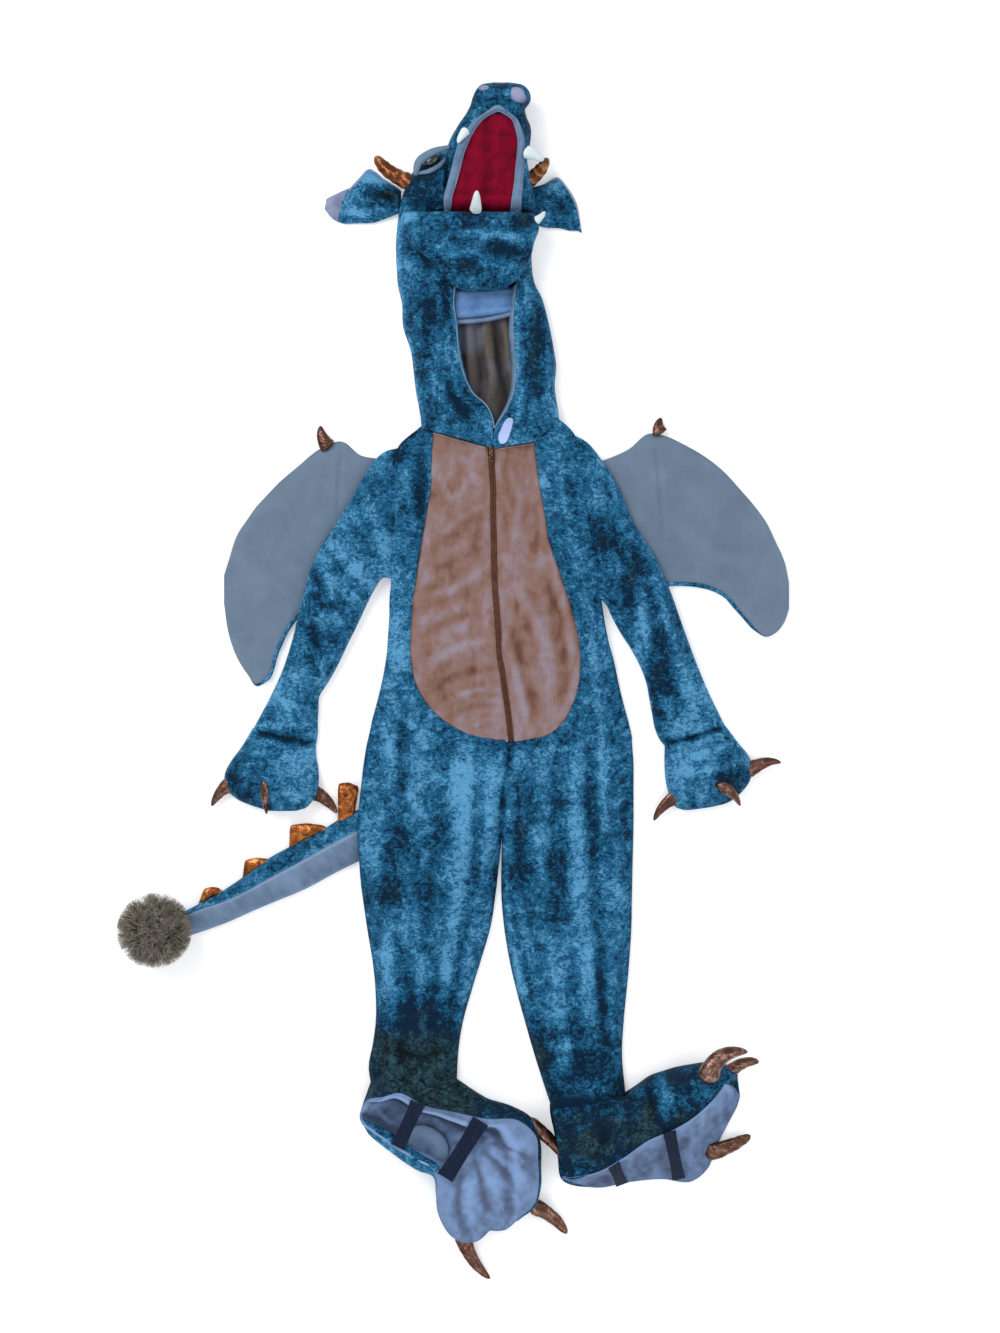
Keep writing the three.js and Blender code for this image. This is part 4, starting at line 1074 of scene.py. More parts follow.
# Patches of painted shade and painted highlight, partly where the pile lies darker or lighter: x, y, reach
# across, reach along, amount.
LIGHT_AND_SHADE_SPOTS = (
    (-59, -536, 110, 56, -1.8), (-48, -456, 50, 30, -0.5), (-6, -589, 90, 36, -1.0),
    (274, -617, 130, 64, -1.25), (-260, -77, 14, 5, -0.9), (-230, -83, 14, 5, -1.0),
    (-202, -88, 10, 5, -1.0), (305, -85, 12, 5, -0.9), (333, -80, 12, 5, -1.0), (363, -70, 12, 5, -0.9),
    (183, -659, 50, 40, -0.5), (-42, 692, 40, 50, -0.85), (92, -659, 26, 60, -1.0),
    (-83, -293, 20, 34, -0.9), (-62, -228, 18, 36, -1.0), (-7, -143, 60, 46, 0.45),
    (41, -155, 20, 60, 0.15), (11, -253, 30, 70, 0.4), (-48, -239, 70, 200, 0.12),
    (-174, 111, 60, 130, 0.15), (4, -372, 30, 60, 0.25), (-98, -400, 16, 50, 0.45), (-87, -92, 26, 50, 0.1),
    (95, -223, 12, 70, -0.9), (132, -332, 14, 56, -0.7), (120, -522, 18, 36, -0.9),
    (204, -456, 14, 60, -0.5), (113, -155, 16, 60, -0.4), (76, -113, 4, 14, -0.8), (69, -169, 4, 20, -0.8),
    (165, -125, 40, 46, 0.25), (193, -225, 30, 60, 0.1), (150, -398, 14, 50, 0.3), (90, -398, 8, 60, 0.5),
    (151, -519, 12, 50, 0.3), (200, -561, 18, 18, 0.5), (141, -587, 12, 24, -0.5),
    (190, -519, 60, 40, -0.3), (-76, 314, 10, 26, -0.9), (-45, 531, 26, 70, -0.4),
    (-13, 391, 36, 40, -0.35), (118, 475, 20, 90, -0.4), (22, 601, 70, 40, -0.3), (176, 251, 24, 80, -0.35),
    (-123, 703, 14, 10, 0.9), (-129, 651, 24, 7, 0.9), (-87, 687, 12, 8, 0.6), (-146, 673, 12, 12, 0.5),
    (-112, 661, 20, 4, -0.7), (-92, 675, 8, 10, -1.0), (-64, 608, 8, 18, -0.9), (-48, 589, 14, 8, -0.9),
    (-29, 577, 12, 8, -0.8), (105, 640, 12, 26, -0.9), (-53, 640, 14, 22, 0.5), (88, 475, 5, 90, 0.6),
    (71, 606, 30, 5, 0.6), (22, 584, 26, 6, 0.5), (-48, 258, 12, 56, -0.9), (-74, 209, 16, 40, -0.3),
    (-189, 136, 9, 26, -0.9), (-181, 169, 18, 16, 0.6), (-146, 223, 34, 34, 0.15), (-238, -34, 26, 44, 0.4),
    (-195, 55, 10, 50, -0.5), (-160, 83, 16, 30, 0.2), (214, 190, 24, 38, -0.9), (248, 148, 12, 56, -0.9),
    (284, -4, 16, 56, -0.8), (162, 50, 12, 56, -0.7), (165, 300, 30, 34, 0.1), (260, 50, 12, 50, 0.6),
    (330, -7, 18, 44, 0.5), (183, 153, 16, 40, 0.2), (-80, 50, 16, 60, 0.45), (193, -15, 16, 50, 0.3),
    (-220, -127, 30, 26, 0.6), (-308, -143, 18, 30, -0.6), (316, -127, 26, 30, 0.45),
    (386, -140, 24, 22, -1.0), (-62, 594, 12, 30, 0.5), (-24, 584, 12, 16, 0.6), (-56, 517, 12, 24, -0.5),
    (-36, 496, 10, 30, -0.7), (-13, 503, 8, 60, -0.8), (-45, 433, 14, 36, -0.8), (-22, 468, 10, 20, 0.1),
    (-22, 402, 14, 24, 0.35), (25, 370, 20, 12, -0.3), (109, 449, 10, 36, -0.9), (115, 402, 12, 24, -0.8),
    (101, 517, 8, 30, 0.2), (-62, 640, 12, 14, 0.7), (-11, 629, 16, 14, 0.5), (20, 640, 16, 12, -0.9),
    (42, 610, 30, 7, 0.8), (3, 584, 16, 12, 0.4), (91, 629, 16, 14, -0.9), (81, 584, 26, 12, -0.9),
    (22, 564, 22, 10, -0.7), (22, 806, 16, 14, -0.9), (101, 774, 10, 22, -0.6), (69, 812, 22, 5, -1.0),
    (67, 827, 16, 8, 0.4), (-104, 696, 18, 8, 1.2), (-95, 675, 22, 6, -1.1), (-141, 655, 18, 10, 0.6),
    (139, 689, 14, 14, 0.6), (147, 655, 10, 16, -0.5), (269, -585, 8, 30, -0.6), (290, -585, 8, 26, 0.8),
    (178, -676, 18, 20, 0.6), (228, -665, 12, 24, 0.5), (188, -634, 20, 20, -0.6),
    (311, -553, 24, 12, -0.4),
)

BODY = Table("y left inLeft inRight right", (
    (346, -46, 52, 55, 164), (323, -77, 52, 55, 169),
    (234, -81, 55, 56, 176), (139, -87, 57, 59, 196),
    (111, -90, 59, 60, 206), (60, -90, 64, 66, 214),
    (1, -99, 70, 71, 228), (-77, -119, 80, 80, 248),
    (-116, -126, 80, 80, 251), (-206, -134, 68, 68, 251),
    (-293, -129, 59, 66, 249), (-351, -121, 50, 71, 248),
    (-410, -111, 32, 81, 244), (-469, -108, 14, 97, 238),
    (-508, -113, 7, 108, 235), (-545, -120, 4, 119, 235),
    (-587, -112, 3, 133, 241), (-631, -112, 3, 148, 249),
))

# Folds of the front, chest to ankles: long ridges down the legs, gathers at the crotch and armpits.
BODY_FOLDS = crease_rows(
    (11, 6, -80, 55, -92, -29, -87, -141), (8, -3.6, -64, -15, -73, -113, -64, -239),
    (10, 5.5, -41, -78, -56, -211, -70, -351, 0.2), (9, -4.4, -10, -92, -20, -197, -41, -351, -59, -463),
    (10, 6.4, -87, -267, -92, -379, -83, -491), (8, 4.2, -102, -169, -109, -281, -106, -365),
    (10, 6, 17, -113, 11, -239, -8, -393, -20, -491, -0.2), (8, -3.8, 36, -85, 34, -197, 25, -309),
    (8, 4, 53, -113, 50, -211, 39, -309), (8, 4.4, -42, -351, -46, -449, -34, -533),
    (8, -3.4, -69, -463, -73, -519, -62, -561), (7, -3.2, 22, -309, 6, -393, -6, -463),
    (8, 4.4, -109, -480, -62, -497, -3, -491), (6, -3, -104, -514, -48, -522, -3, -514),
    (8, 4.4, 99, -92, 98, -197, 106, -309), (7, -3.6, 76, -281, 92, -379, 123, -491),
    (10, 6, 120, -113, 118, -225, 132, -351, 143, -477, 0.2), (8, -4.4, 144, -78, 143, -197, 157, -337),
    (11, 6.2, 174, -57, 171, -169, 179, -295), (9, 5.2, 204, -15, 207, -127, 213, -239, -0.2),
    (8, -4, 190, -113, 193, -239, 202, -379), (8, 4.6, 227, -85, 230, -197, 227, -309),
    (10, 6, 183, -337, 190, -435, 207, -547), (8, -3.8, 160, -393, 168, -491, 176, -561),
    (8, 4, 221, -365, 218, -463, 221, -533), (7, 3.8, 127, -519, 176, -505, 227, -517),
    (6, -3, 137, -561, 182, -550, 230, -561), (8, 4.8, -74, 293, -53, 223, -62, 132),
    (7, -3.6, -81, 195, -64, 139, -70, 55), (7, -3.4, -41, 321, -42, 251, -59, 167),
    (7, 3.4, -59, 335, -34, 337, -6, 326), (8, 4.8, 137, 335, 151, 251, 174, 167),
    (7, -4, 157, 321, 169, 251, 188, 181), (9, 5.2, 176, 167, 190, 83, 199, -15),
    (7, -3.4, 196, 111, 181, 55, 185, -29), (6, 3.2, 127, 326, 143, 337, 162, 332),
    (8, 4.4, -98, -15, -69, -57, -20, -88), (8, 4.2, 120, -102, 176, -88, 232, -57),
    (3, -4.2, 79, -91, 69, -155, 64, -217),
)

# Folds of the belly: gathers towards the lower left, long bows down the right half.
BELLY_FOLDS = crease_rows(
    (8, 3, -25, 293, -3, 251, 34, 293), (7, 3.2, -20, 195, 11, 223, 48, 244),
    (7, -2.6, -31, 146, 6, 167, 48, 188), (8, 3.4, -42, 111, 1, 125, 50, 160),
    (8, -3, -50, 55, -6, 80, 50, 97), (8, 3.6, -42, 13, 1, 41, 56, 55), (6, -3.2, -31, -18, 11, 7, 62, 15),
    (6, 3.2, -17, -38, 20, -18, 64, -15), (5, -3, -6, -55, 28, -38, 67, -38),
    (5, 2.4, 20, -69, 45, -57, 73, -60), (8, 3, 71, 307, 90, 251, 78, 167),
    (8, -2.8, 106, 293, 115, 223, 104, 139), (9, 4.4, 84, 125, 115, 83, 137, -15),
    (8, -3.4, 120, 153, 143, 83, 157, -15), (7, 3.4, 134, 167, 160, 83, 168, 13),
    (8, -3.2, 76, 83, 98, 13, 120, -66), (7, 3.2, 81, 27, 95, -29, 106, -74),
)

ARM_FOLDS = crease_rows(
    (8, 6, -196, 172, -168, 133, -143, 111), (7, -5.2, -207, 125, -176, 102, -143, 102),
    (8, 5.6, -211, 85, -179, 80, -146, 91), (8, 4.2, -174, 195, -146, 167, -115, 125),
    (7, -4, -153, 223, -120, 188, -98, 139), (8, 4.6, -129, 262, -106, 223, -92, 167),
    (8, 4.4, -216, 55, -188, 27, -179, -15), (8, -3.8, -235, 13, -216, -15, -207, -52),
    (8, 3.8, -249, -15, -230, -41, -216, -71), (6, -3.2, -193, 55, -174, 21, -171, -15),
    (6, 3, -277, -60, -238, -66, -196, -60), (8, 5, 193, 293, 210, 209, 218, 125),
    (8, -4.4, 213, 279, 230, 195, 244, 111), (9, 6.4, 234, 207, 255, 111, 269, -15),
    (8, -4.4, 260, 167, 277, 97, 288, 13), (8, 5, 280, 139, 300, 69, 328, -15),
    (6, -3.6, 249, 111, 260, 55, 266, 4), (7, -3.6, 291, 41, 305, -15, 336, -52),
    (7, 4, 283, -15, 300, -52, 316, -74), (7, 3.6, 218, 167, 249, 139, 281, 141),
    (8, 3.4, -302, -125, -269, -136, -216, -127), (5, -3.2, -283, -150, -277, -169, -269, -183),
    (5, -3.2, -238, -155, -232, -169, -230, -186), (3, -4.6, -286, -74, -249, -81, -190, -94),
    (7, 3, -294, -108, -258, -102, -199, -113), (8, 3.4, 305, -127, 344, -130, 403, -111),
    (5, -3.2, 330, -155, 333, -169, 336, -183), (5, -3.2, 384, -147, 389, -161, 395, -172),
    (3, -4.6, 291, -92, 336, -80, 382, -64), (7, 3.2, 300, -108, 344, -102, 398, -88),
)

# Line of the tail that lies under the left leg: ax, ay, bx, by.
TAIL_BED = (71, -174, -216, -230)


def bed(x: Points, y: Points) -> Points:
    """Height that the wings and the tail give to what lies on them.

    Args:
        x: Places across, in millimetres.
        y: Places along, in millimetres.

    Returns:
        Height in millimetres.
    """
    wings = 6.6 * ease(y, 407, 340) * ease(y, -36, 66)
    ax, ay, bx, by = TAIL_BED
    dx, dy = bx - ax, by - ay
    t = clamp(((x - ax) * dx + (y - ay) * dy) / (dx * dx + dy * dy))
    distance = np.hypot(x - ax - t * dx, y - ay - t * dy)
    return wings + 15.3 * (1 - ease(distance, 46, 104))


def wrinkles(x: Points, y: Points) -> Points:
    """Small uneven wrinkles of crushed velvet, longer down the cloth and crossed by fine ones.

    Args:
        x: Places across, in millimetres.
        y: Places along, in millimetres.

    Returns:
        Height in millimetres, around 0.
    """
    long = WRINKLES.at(x, y, 17.0, 3.4) + 0.6 * WRINKLES.at(x + 300, y + 70, 10.0, 2.6)
    crossing = WRINKLES.at(x + 90, y, 30.0, 0.28) + 0.7 * WRINKLES.at(x, y + 210, 17.0, 0.3)
    return 0.85 * long + 0.62 * crossing


def front_rise(x: Points, y: Points) -> Points:
    """Height of the front's underside over the bed, with its folds.

    Args:
        x: Places across, in millimetres.
        y: Places along, in millimetres.

    Returns:
        Height in millimetres, above 0.
    """
    left, right = BODY.read("left", y), BODY.read("right", y)
    in_left, in_right = BODY.read("inLeft", y), BODY.read("inRight", y)
    whole = dome((x - left) / (right - left))
    on_left = x < (in_left + in_right) / 2
    leg = np.where(on_left, dome((x - left) / (in_left - left)), dome((x - in_right) / (right - in_right)))
    split = ease(y, -127, -281)
    edge = (8 + 7 * dome((y - 125) / (335 - 125))) * ease(y, 83, 146)
    torso = edge + (20 - edge) * whole
    rise = torso * (1 - split) + 22 * leg * split
    calm = clamp(1.5 * (whole * (1 - split) + leg * split))
    seam = clamp(np.abs(x - (in_left + in_right) / 2) / 9) ** 0.7
    centre_dip = np.where((y < -84) & (split < 1), -3.2 * (1 - seam) * (1 - split), 0.0)
    folds = creased(BODY_FOLDS, x, y) + wrinkles(x, y)
    return np.maximum(0.2, rise + calm * (folds + centre_dip))


def front_under(x: Points, y: Points) -> Points:
    """Height of the front's underside."""
    return bed(x, y) + VELVET + SEAM + front_rise(x, y)


def belly_under(x: Points, y: Points) -> Points:
    """Height of the belly's underside, smoother than the velvet and gathered in its own folds.

    Args:
        x: Places across, in millimetres.
        y: Places along, in millimetres.

    Returns:
        Height in millimetres.
    """
    left, right = BODY.read("left", y), BODY.read("right", y)
    whole = dome((x - left) / (right - left))
    edge = 8 * ease(y, 83, 167)
    folds = creased(BELLY_FOLDS, x, y) + 0.7 * WRINKLES.at(x, y, 15.0, 1.6)
    folds = folds + 0.4 * WRINKLES.at(x + 50, y, 7.0, 0.7)
    return bed(x, y) + VELVET + SEAM + edge + (20 - edge) * whole + folds


# ---------------------------------------------------------------- body

def across_grid(first: Points, second: Points, shares: Points,
                height: Callable[[Points, Points], Points]) -> Points:
    """Points between two edge lines, at the heights that a function gives."""
    x, y = across(first, second, shares)
    return stack(x, y, height(x, y))


@dataclass
class Body:
    """Fronts, belly, zip and backs, from the neck seam to the ankles."""

    wardrobe: Wardrobe
    step: float = 3.2
    tape_half: float = 4.0
    teeth: int = 190
    belly_left: tuple = (
        (-29, 344), (-31, 307), (-32, 269), (-38, 231), (-45, 193), (-53, 139), (-60, 71),
        (-60, 24), (-52, -10), (-35, -38), (-11, -60), (22, -77), (59, -84),
    )
    belly_right: tuple = (
        (112, 330), (115, 307), (120, 269), (127, 231), (133, 193), (151, 139), (171, 71),
        (176, 27), (174, -10), (165, -38), (153, -60), (133, -77), (102, -84),
    )
    zip_line: tuple = (
        (52, 321), (53, 295), (55, 265), (55, 231), (56, 193), (57, 139), (62, 71),
        (64, 34), (69, 1), (73, -27), (76, -48), (78, -66), (80, -87),
    )
    top_left: tuple = (
        (-46, 351), (-77, 322), (-80, 267), (-83, 228), (-84, 190), (-87, 139), (-91, 71),
        (-95, 24), (-102, -10), (-109, -38), (-115, -60), (-118, -77), (-120, -84),
    )
    top_right: tuple = (
        (144, 363), (168, 340), (175, 298), (182, 253), (189, 209), (204, 113), (211, 69),
        (223, 27), (231, -10), (238, -38), (244, -60), (248, -77), (249, -84),
    )
    legs: tuple = (-87, -111, -155, -211, -256, -301, -346, -391, -435, -480)
    ankle_left: tuple = (-511, -539.4)
    ankle_right: tuple = (-522, -577.9)
    hems: tuple = (-566.0, -622.0)
    back_rows: tuple = (293, 251, 195, 139, 113, 69, 24, -15, -60)

    def _leg_line(self, ends: tuple, column: str) -> list[tuple[float, float]]:
        """An edge of a leg, from below the belly to the ankle."""
        return [(float(BODY.read(column, y)), y) for y in (*self.legs, *ends)]

    def _front(self, name: str, top: tuple, belly: tuple, ends: tuple, columns: tuple[str, str],
               side: float) -> None:
        """One side of the front, from the neck seam to the ankle.

        Args:
            name: Name of the piece.
            top: Outer edge down to the crotch.
            belly: Inner edge down to the crotch.
            ends: Heights on the layout of the last rows.
            columns: Outer and inner column of the body.
            side: -1 on the left and 1 on the right.
        """
        outside = [*top, *self._leg_line(ends, columns[0])]
        inside = [*belly, *self._leg_line(ends, columns[1])]
        places = knot_places((outside, inside), self.step)
        outer, inner = spline(outside, places), beside(spline(inside, places), -side * 0.5)
        shares = crowded(46 if side < 0 else 50, 0.55)
        low = across_grid(outer, inner, shares, front_under) + (0, 0, 0.2 + 0.2 * side)
        piece = sheet_shell(name, low + (0, 0, VELVET), low)
        self.wardrobe.cloth(piece, Finish.VELVET, "laid", (name.replace("front", "back"),), (name,))

    def _belly(self, name: str, edge: tuple, leg: str, ends: tuple, side: float) -> None:
        """A half of the belly, between its curved seam and the zip.

        Args:
            name: Name of the piece.
            edge: Curved outer seam.
            leg: Column of the inner leg edge.
            ends: Heights on the layout of the last rows.
            side: 1 on the left and -1 on the right.
        """
        rows = [*edge, *self._leg_line(ends, leg)]
        last = len(edge) - 1
        places = knot_places((rows[:last + 1], self.zip_line), 2.6)
        outer = beside(spline(rows, places), side * SEAM / 2)
        inner = beside(spline(self.zip_line, places), -side * self.tape_half)
        low = across_grid(outer, inner, crowded(34, 0.4), belly_under)
        share = np.linspace(0, 1, 34)
        low[..., 2] -= (1.2 * np.exp(-(share / 0.05)) + 1.6 * np.exp(-((1 - share) / 0.07)))[None, :]
        piece = sheet_shell(name, low + (0, 0, VELVET), low)
        self.wardrobe.cloth(piece, Finish.BELLY, "laid", (name.replace("belly", "front"),), (name,))

    def _zip(self) -> None:
        """The closed zip: two tapes of one strip, with a row of meshed teeth in a groove."""
        places = knot_places((self.zip_line, self.zip_line), 2.6)
        line = spline(self.zip_line, places)
        edge = self.tape_half - SEAM
        shares = np.linspace(0, 1, 9)
        low = across_grid(beside(line, edge), beside(line, -edge), shares, belly_under)
        low[..., 2] -= 2.2 + 0.8 * np.cos(np.pi * (shares - 0.5))[None, :]
        self.wardrobe.cloth(sheet_shell("zip_tape", low + (0, 0, 1.4), low), Finish.ZIP, "laid",
                            ("belly_left", "belly_right"), ("zip_tape",))
        teeth_at = spline(self.zip_line, np.linspace(0.12, len(self.zip_line) - 1, self.teeth))
        boxes, faces = [], []
        for k, (x, y) in enumerate(teeth_at[:, :2]):
            z = float(belly_under(np.array(x), np.array(y))) - 1.0
            shift = 0.45 if k % 2 else -0.45
            corners = [(x + shift + dx, y + dy, z + dz) for dz in (0, 1.0) for dx, dy in (
                (-1.0, -0.5), (1.0, -0.5), (1.0, 0.5), (-1.0, 0.5))]
            start = len(boxes)
            boxes += corners
            faces += [tuple(start + c for c in quad) for quad in (
                (3, 2, 1, 0), (4, 5, 6, 7), (0, 1, 5, 4), (1, 2, 6, 5), (2, 3, 7, 6), (3, 0, 4, 7))]
        self.wardrobe.add(make_object("zip_teeth", np.array(boxes), faces), Finish.ZIP)

    def _back(self, name: str, shoulder: tuple, armhole: tuple, ends: tuple, columns: tuple[str, str],
              side: float) -> None:
        """One side of the back, flat below and gently creased.

        Args:
            name: Name of the piece.
            shoulder: First two corners of the outer edge.
            armhole: Ends of the straight armhole.
            ends: Heights on the layout of the last rows.
            columns: Outer and inner column of the body.
            side: -1 on the left and 1 on the right.
        """
        ys = [*self.back_rows, *self.legs, *ends]
        (ax, ay), (bx, by) = armhole
        outside = [*shoulder, *((ax + (bx - ax) * (y - ay) / (by - ay) if y > by
                                 else float(BODY.read(columns[0], y)), y) for y in ys)]
        inside = [(float(BODY.read(columns[1], y)), y) for _, y in outside]
        places = knot_places((outside, inside), 5.5)
        outer, inner = spline(outside, places), beside(spline(inside, places), side * SEAM / 2)

        def under(x: Points, y: Points) -> Points:
            """Underside of the back, pressed flat with shallow hollows."""
            along = 0.9 * clamp(WRINKLES.at(x + 500, y, 26.0, 3.0))
            return bed(x, y) + 0.8 * (along + 0.7 * clamp(WRINKLES.at(x, y + 400, 34.0, 0.4)))

        low = across_grid(outer, inner, crowded(28, 0.4), under)
        piece = sheet_shell(name, low + (0, 0, VELVET - 0.6), low)
        self.wardrobe.cloth(piece, Finish.VELVET, "laid", (), (name,))

    def build(self) -> None:
        """Makes the body."""
        left, right = ("left", "inLeft"), ("right", "inRight")
        ends = [(*ankle, hem) for ankle, hem in zip((self.ankle_left, self.ankle_right), self.hems)]
        self._front("front_left", self.top_left, self.belly_left, ends[0], left, -1)
        self._front("front_right", self.top_right, self.belly_right, ends[1], right, 1)
        self._belly("belly_left", self.belly_left, "inLeft", self.ankle_left, 1)
        self._belly("belly_right", self.belly_right, "inRight", self.ankle_right, -1)
        self._zip()
        for name, shoulder, armhole, ankle, columns, side in (
            ("left", ((-46, 344), (-77, 322)), ((-77, 322), (-87, 139)), self.ankle_left, left, -1),
            ("right", ((164, 344), (169, 322)), ((168, 340), (204, 113)), self.ankle_right, right, 1),
        ):
            self._back(f"back_{name}", shoulder, armhole, ankle, columns, side)
        self._piping()

    def _piping(self) -> None:
        """Thin pale piping along the top edge of the belly."""
        for name, line in (("left", ((-28, 341), (6, 331), (45, 319))),
                           ("right", ((62, 318), (85, 322), (112, 326)))):
            path = rounded(line, 40)
            z = belly_under(path[:, 0], path[:, 1]) + VELVET + 0.6
            cord = swept(f"belly_piping_{name}", np.column_stack([path, z]), np.full(40, 1.0), 10)
            self.wardrobe.add(cord, Finish.CORD)


def squared(part: float, power: float) -> float:
    """A cosine or sine pushed outwards, so that a circle grows corners."""
    return math.copysign(abs(part) ** power, part)


@dataclass
class ZipPull:
    """The slider at the top of the zip and its hanging tab."""

    wardrobe: Wardrobe
    width: float = 9.0
    tab_width: float = 6.0
    hole: float = 1.6

    def build(self) -> None:
        """Makes the slider and the tab."""
        slider, tab = ("zip_slider", self._slider, "garment"), ("zip_pull", self._tab, "zip_tab")
        for node, shape, body in (slider, tab):
            low, high = (np.array(corner) / MM - LAYOUT_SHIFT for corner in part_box(node))
            self.wardrobe.add(shape(low, high), Finish.BRASS, (node,), body)

    def _slider(self, low: Points, high: Points) -> Object:
        """A waisted body with rounded edges.

        Args:
            low: Lowest corner of the room for it.
            high: Highest corner of the room for it.

        Returns:
            The slider.
        """
        x, top = (low[0] + high[0]) / 2, high[1]
        rings = []
        for t in np.linspace(0, 1, 13):
            half = 0.5 * self.width * (0.72 + 0.28 * math.cos(math.pi * t) ** 2) * (1 - 0.25 * t)
            half *= min(1.0, math.sqrt(max(0.05, 1 - (2 * t - 1) ** 8)))
            y = top - t * (high[1] - low[1])
            rings.append([
                (x + half * squared(math.cos(a), 0.6), y,
                 low[2] + (high[2] - low[2]) * (0.5 + 0.5 * squared(math.sin(a), 0.6)))
                for a in turns(24)
            ])
        return loft("zip_slider_body", np.array(rings))

    def _tab(self, low: Points, high: Points) -> Object:
        """A flat tab with a hole, thinner at its waist.

        Args:
            low: Lowest corner of the room for it.
            high: Highest corner of the room for it.

        Returns:
            The tab.
        """
        x = (low[0] + high[0]) / 2
        count = 48
        outline, inner = [], []
        for a in turns(count):
            c, s = math.cos(a), math.sin(a)
            half = self.tab_width / 2 * (0.86 + 0.14 * abs(s))
            outline.append((x + half * squared(c, 0.55),
                            (low[1] + high[1]) / 2 + (high[1] - low[1]) / 2 * squared(s, 0.7)))
            inner.append((x + self.hole * c, low[1] + 4.5 + self.hole * s))
        points, faces = [], []
        for z in (low[2], high[2]):
            points += [(px, py, z) for px, py in outline] + [(px, py, z) for px, py in inner]
        top = 2 * count
        for k in range(count):
            n = (k + 1) % count
            faces.append((k, n, count + n, count + k))
            faces.append((top + n, top + k, top + count + k, top + count + n))
            faces.append((n, k, top + k, top + n))
            faces.append((count + k, count + n, top + count + n, top + count + k))
        return make_object("zip_tab", np.array(points), faces)


# ---------------------------------------------------------------- arms

@dataclass
class Arms:
    """Sleeves and mitts, each one flattened tube."""

    wardrobe: Wardrobe
    around: int = 44
    sleeve_left: tuple = (
        (-74, 322, -84, 139, 14, 6), (-97, 316, -98, 141, 19, 3), (-111, 304, -109, 127, 20, 1),
        (-127, 279, -122, 102, 20, 1), (-147, 245, -133, 78, 20, 1), (-164, 217, -146, 52, 20, 1),
        (-182, 190, -158, 27, 20, 1), (-197, 160, -169, 6, 20, 1), (-209, 122, -179, -10, 20, 1),
        (-218, 84, -188, -25, 20, 1), (-225, 55, -189, -42, 19, 1), (-238, 15, -190, -59, 18, 1),
        (-258, -28, -190, -76, 16, 1), (-281, -71, -192, -90, 13, 1),
    )
    sleeve_right: tuple = (
        (202, 113, 165, 340, 14, 6), (213, 102, 181, 333, 19, 3), (218, 91, 207, 304, 20, 1),
        (225, 77, 230, 266, 20, 1), (235, 60, 248, 223, 20, 1), (245, 45, 263, 197, 20, 1),
        (253, 31, 279, 174, 20, 1), (262, 13, 290, 150, 20, 1), (269, -7, 301, 125, 20, 1),
        (273, -28, 318, 77, 20, 1), (277, -50, 335, 31, 19, 1), (281, -70, 354, -15, 18, 1),
        (287, -84, 370, -48, 16, 1), (294, -93, 379, -66, 13, 1),
    )
    mitt_left: tuple = (
        (-280.6, -68, -193, -86.6, 11, 1), (-298, -97, -192, -109, 24, 1), (-312, -116, -189, -127, 28, 1),
        (-320, -133, -188, -144, 28, 1), (-319, -151, -190, -158, 26, 1), (-304, -167, -196, -169, 20, 1),
        (-283, -176, -204, -178, 12, 1), (-258, -183, -218, -183, 5, 1),
    )
    mitt_right: tuple = (
        (294.6, -90, 378.4, -64.2, 11, 1), (294, -116, 398, -90, 24, 1), (295, -136, 412, -108, 28, 1),
        (298, -153, 417, -125, 28, 1), (302, -167, 414, -141, 26, 1), (309, -178, 402, -158, 20, 1),
        (322, -183, 384, -172, 12, 1), (337, -182, 364, -178, 5, 1),
    )

    def _rings(self, rows: Points, inset: float, around: int) -> Points:
        """Rings of a flattened sleeve, lying flat below and crowned above.

        Args:
            rows: Columns ax, ay, bx, by, rise and edge.
            inset: Thickness of the cloth for the inside, or 0 for the outside.
            around: Points over the top; the underside has two thirds of them.

        Returns:
            The rings.
        """
        ax, ay, bx, by, rise, edge = (rows[:, k][:, None] for k in range(6))
        margin = inset / np.hypot(bx - ax, by - ay)

        def place(share: Points) -> tuple[Points, Points]:
            """Plan position at a share of the way across."""
            t = margin + (1 - 2 * margin) * share[None, :]
            return ax + (bx - ax) * t, ay + (by - ay) * t

        over = crowded(around, 0.8)
        x, y = place(over)
        crown = edge + (rise - edge) * dome(over)[None, :]
        calm = clamp(1.6 * dome(over))[None, :]
        folds = creased(ARM_FOLDS, x, y) + creased(BODY_FOLDS, x, y) + wrinkles(x, y)
        under = bed(x, y) + VELVET + 2 * SEAM + np.maximum(0.2, crown + calm * folds)
        above = stack(x, y, under + (0 if inset else VELVET))
        back = np.linspace(0.985, 0.015, around * 2 // 3)
        x, y = place(back)
        below = stack(x, y, bed(x, y) + inset)
        return np.concatenate([above, below], axis=1)

    def _tube(self, name: str, rows: tuple, closed: bool, step: float) -> None:
        """A sleeve or mitt.

        Args:
            name: Name of the piece.
            rows: Columns ax, ay, bx, by, rise and edge.
            closed: Whether its far end is closed.
            step: Distance between rings.
        """
        data = np.asarray(rows, dtype=float)
        places, first, second = edge_lines(data, step)
        lines = np.column_stack([
            first, second, *(np.interp(places, np.arange(len(rows)), data[:, k]) for k in (4, 5)),
        ])
        outer, inner = self._rings(lines, 0.0, self.around), self._rings(lines, VELVET, self.around)
        if closed:
            inner = inner[:-2]
        around = 2.1 * float(np.hypot(lines[:, 2] - lines[:, 0], lines[:, 3] - lines[:, 1]).max())
        piece = tube_shell(name, outer, inner, closed)
        self.wardrobe.cloth(piece, Finish.VELVET, "laid", (), (name,), around)

    def build(self) -> None:
        """Makes both arms."""
        for side, sleeve, mitt in (("left", self.sleeve_left, self.mitt_left),
                                   ("right", self.sleeve_right, self.mitt_right)):
            self._tube(f"sleeve_{side}", sleeve, False, 3.4)
            self._tube(f"mitt_{side}", mitt, True, 2.6)


# ---------------------------------------------------------------- wings

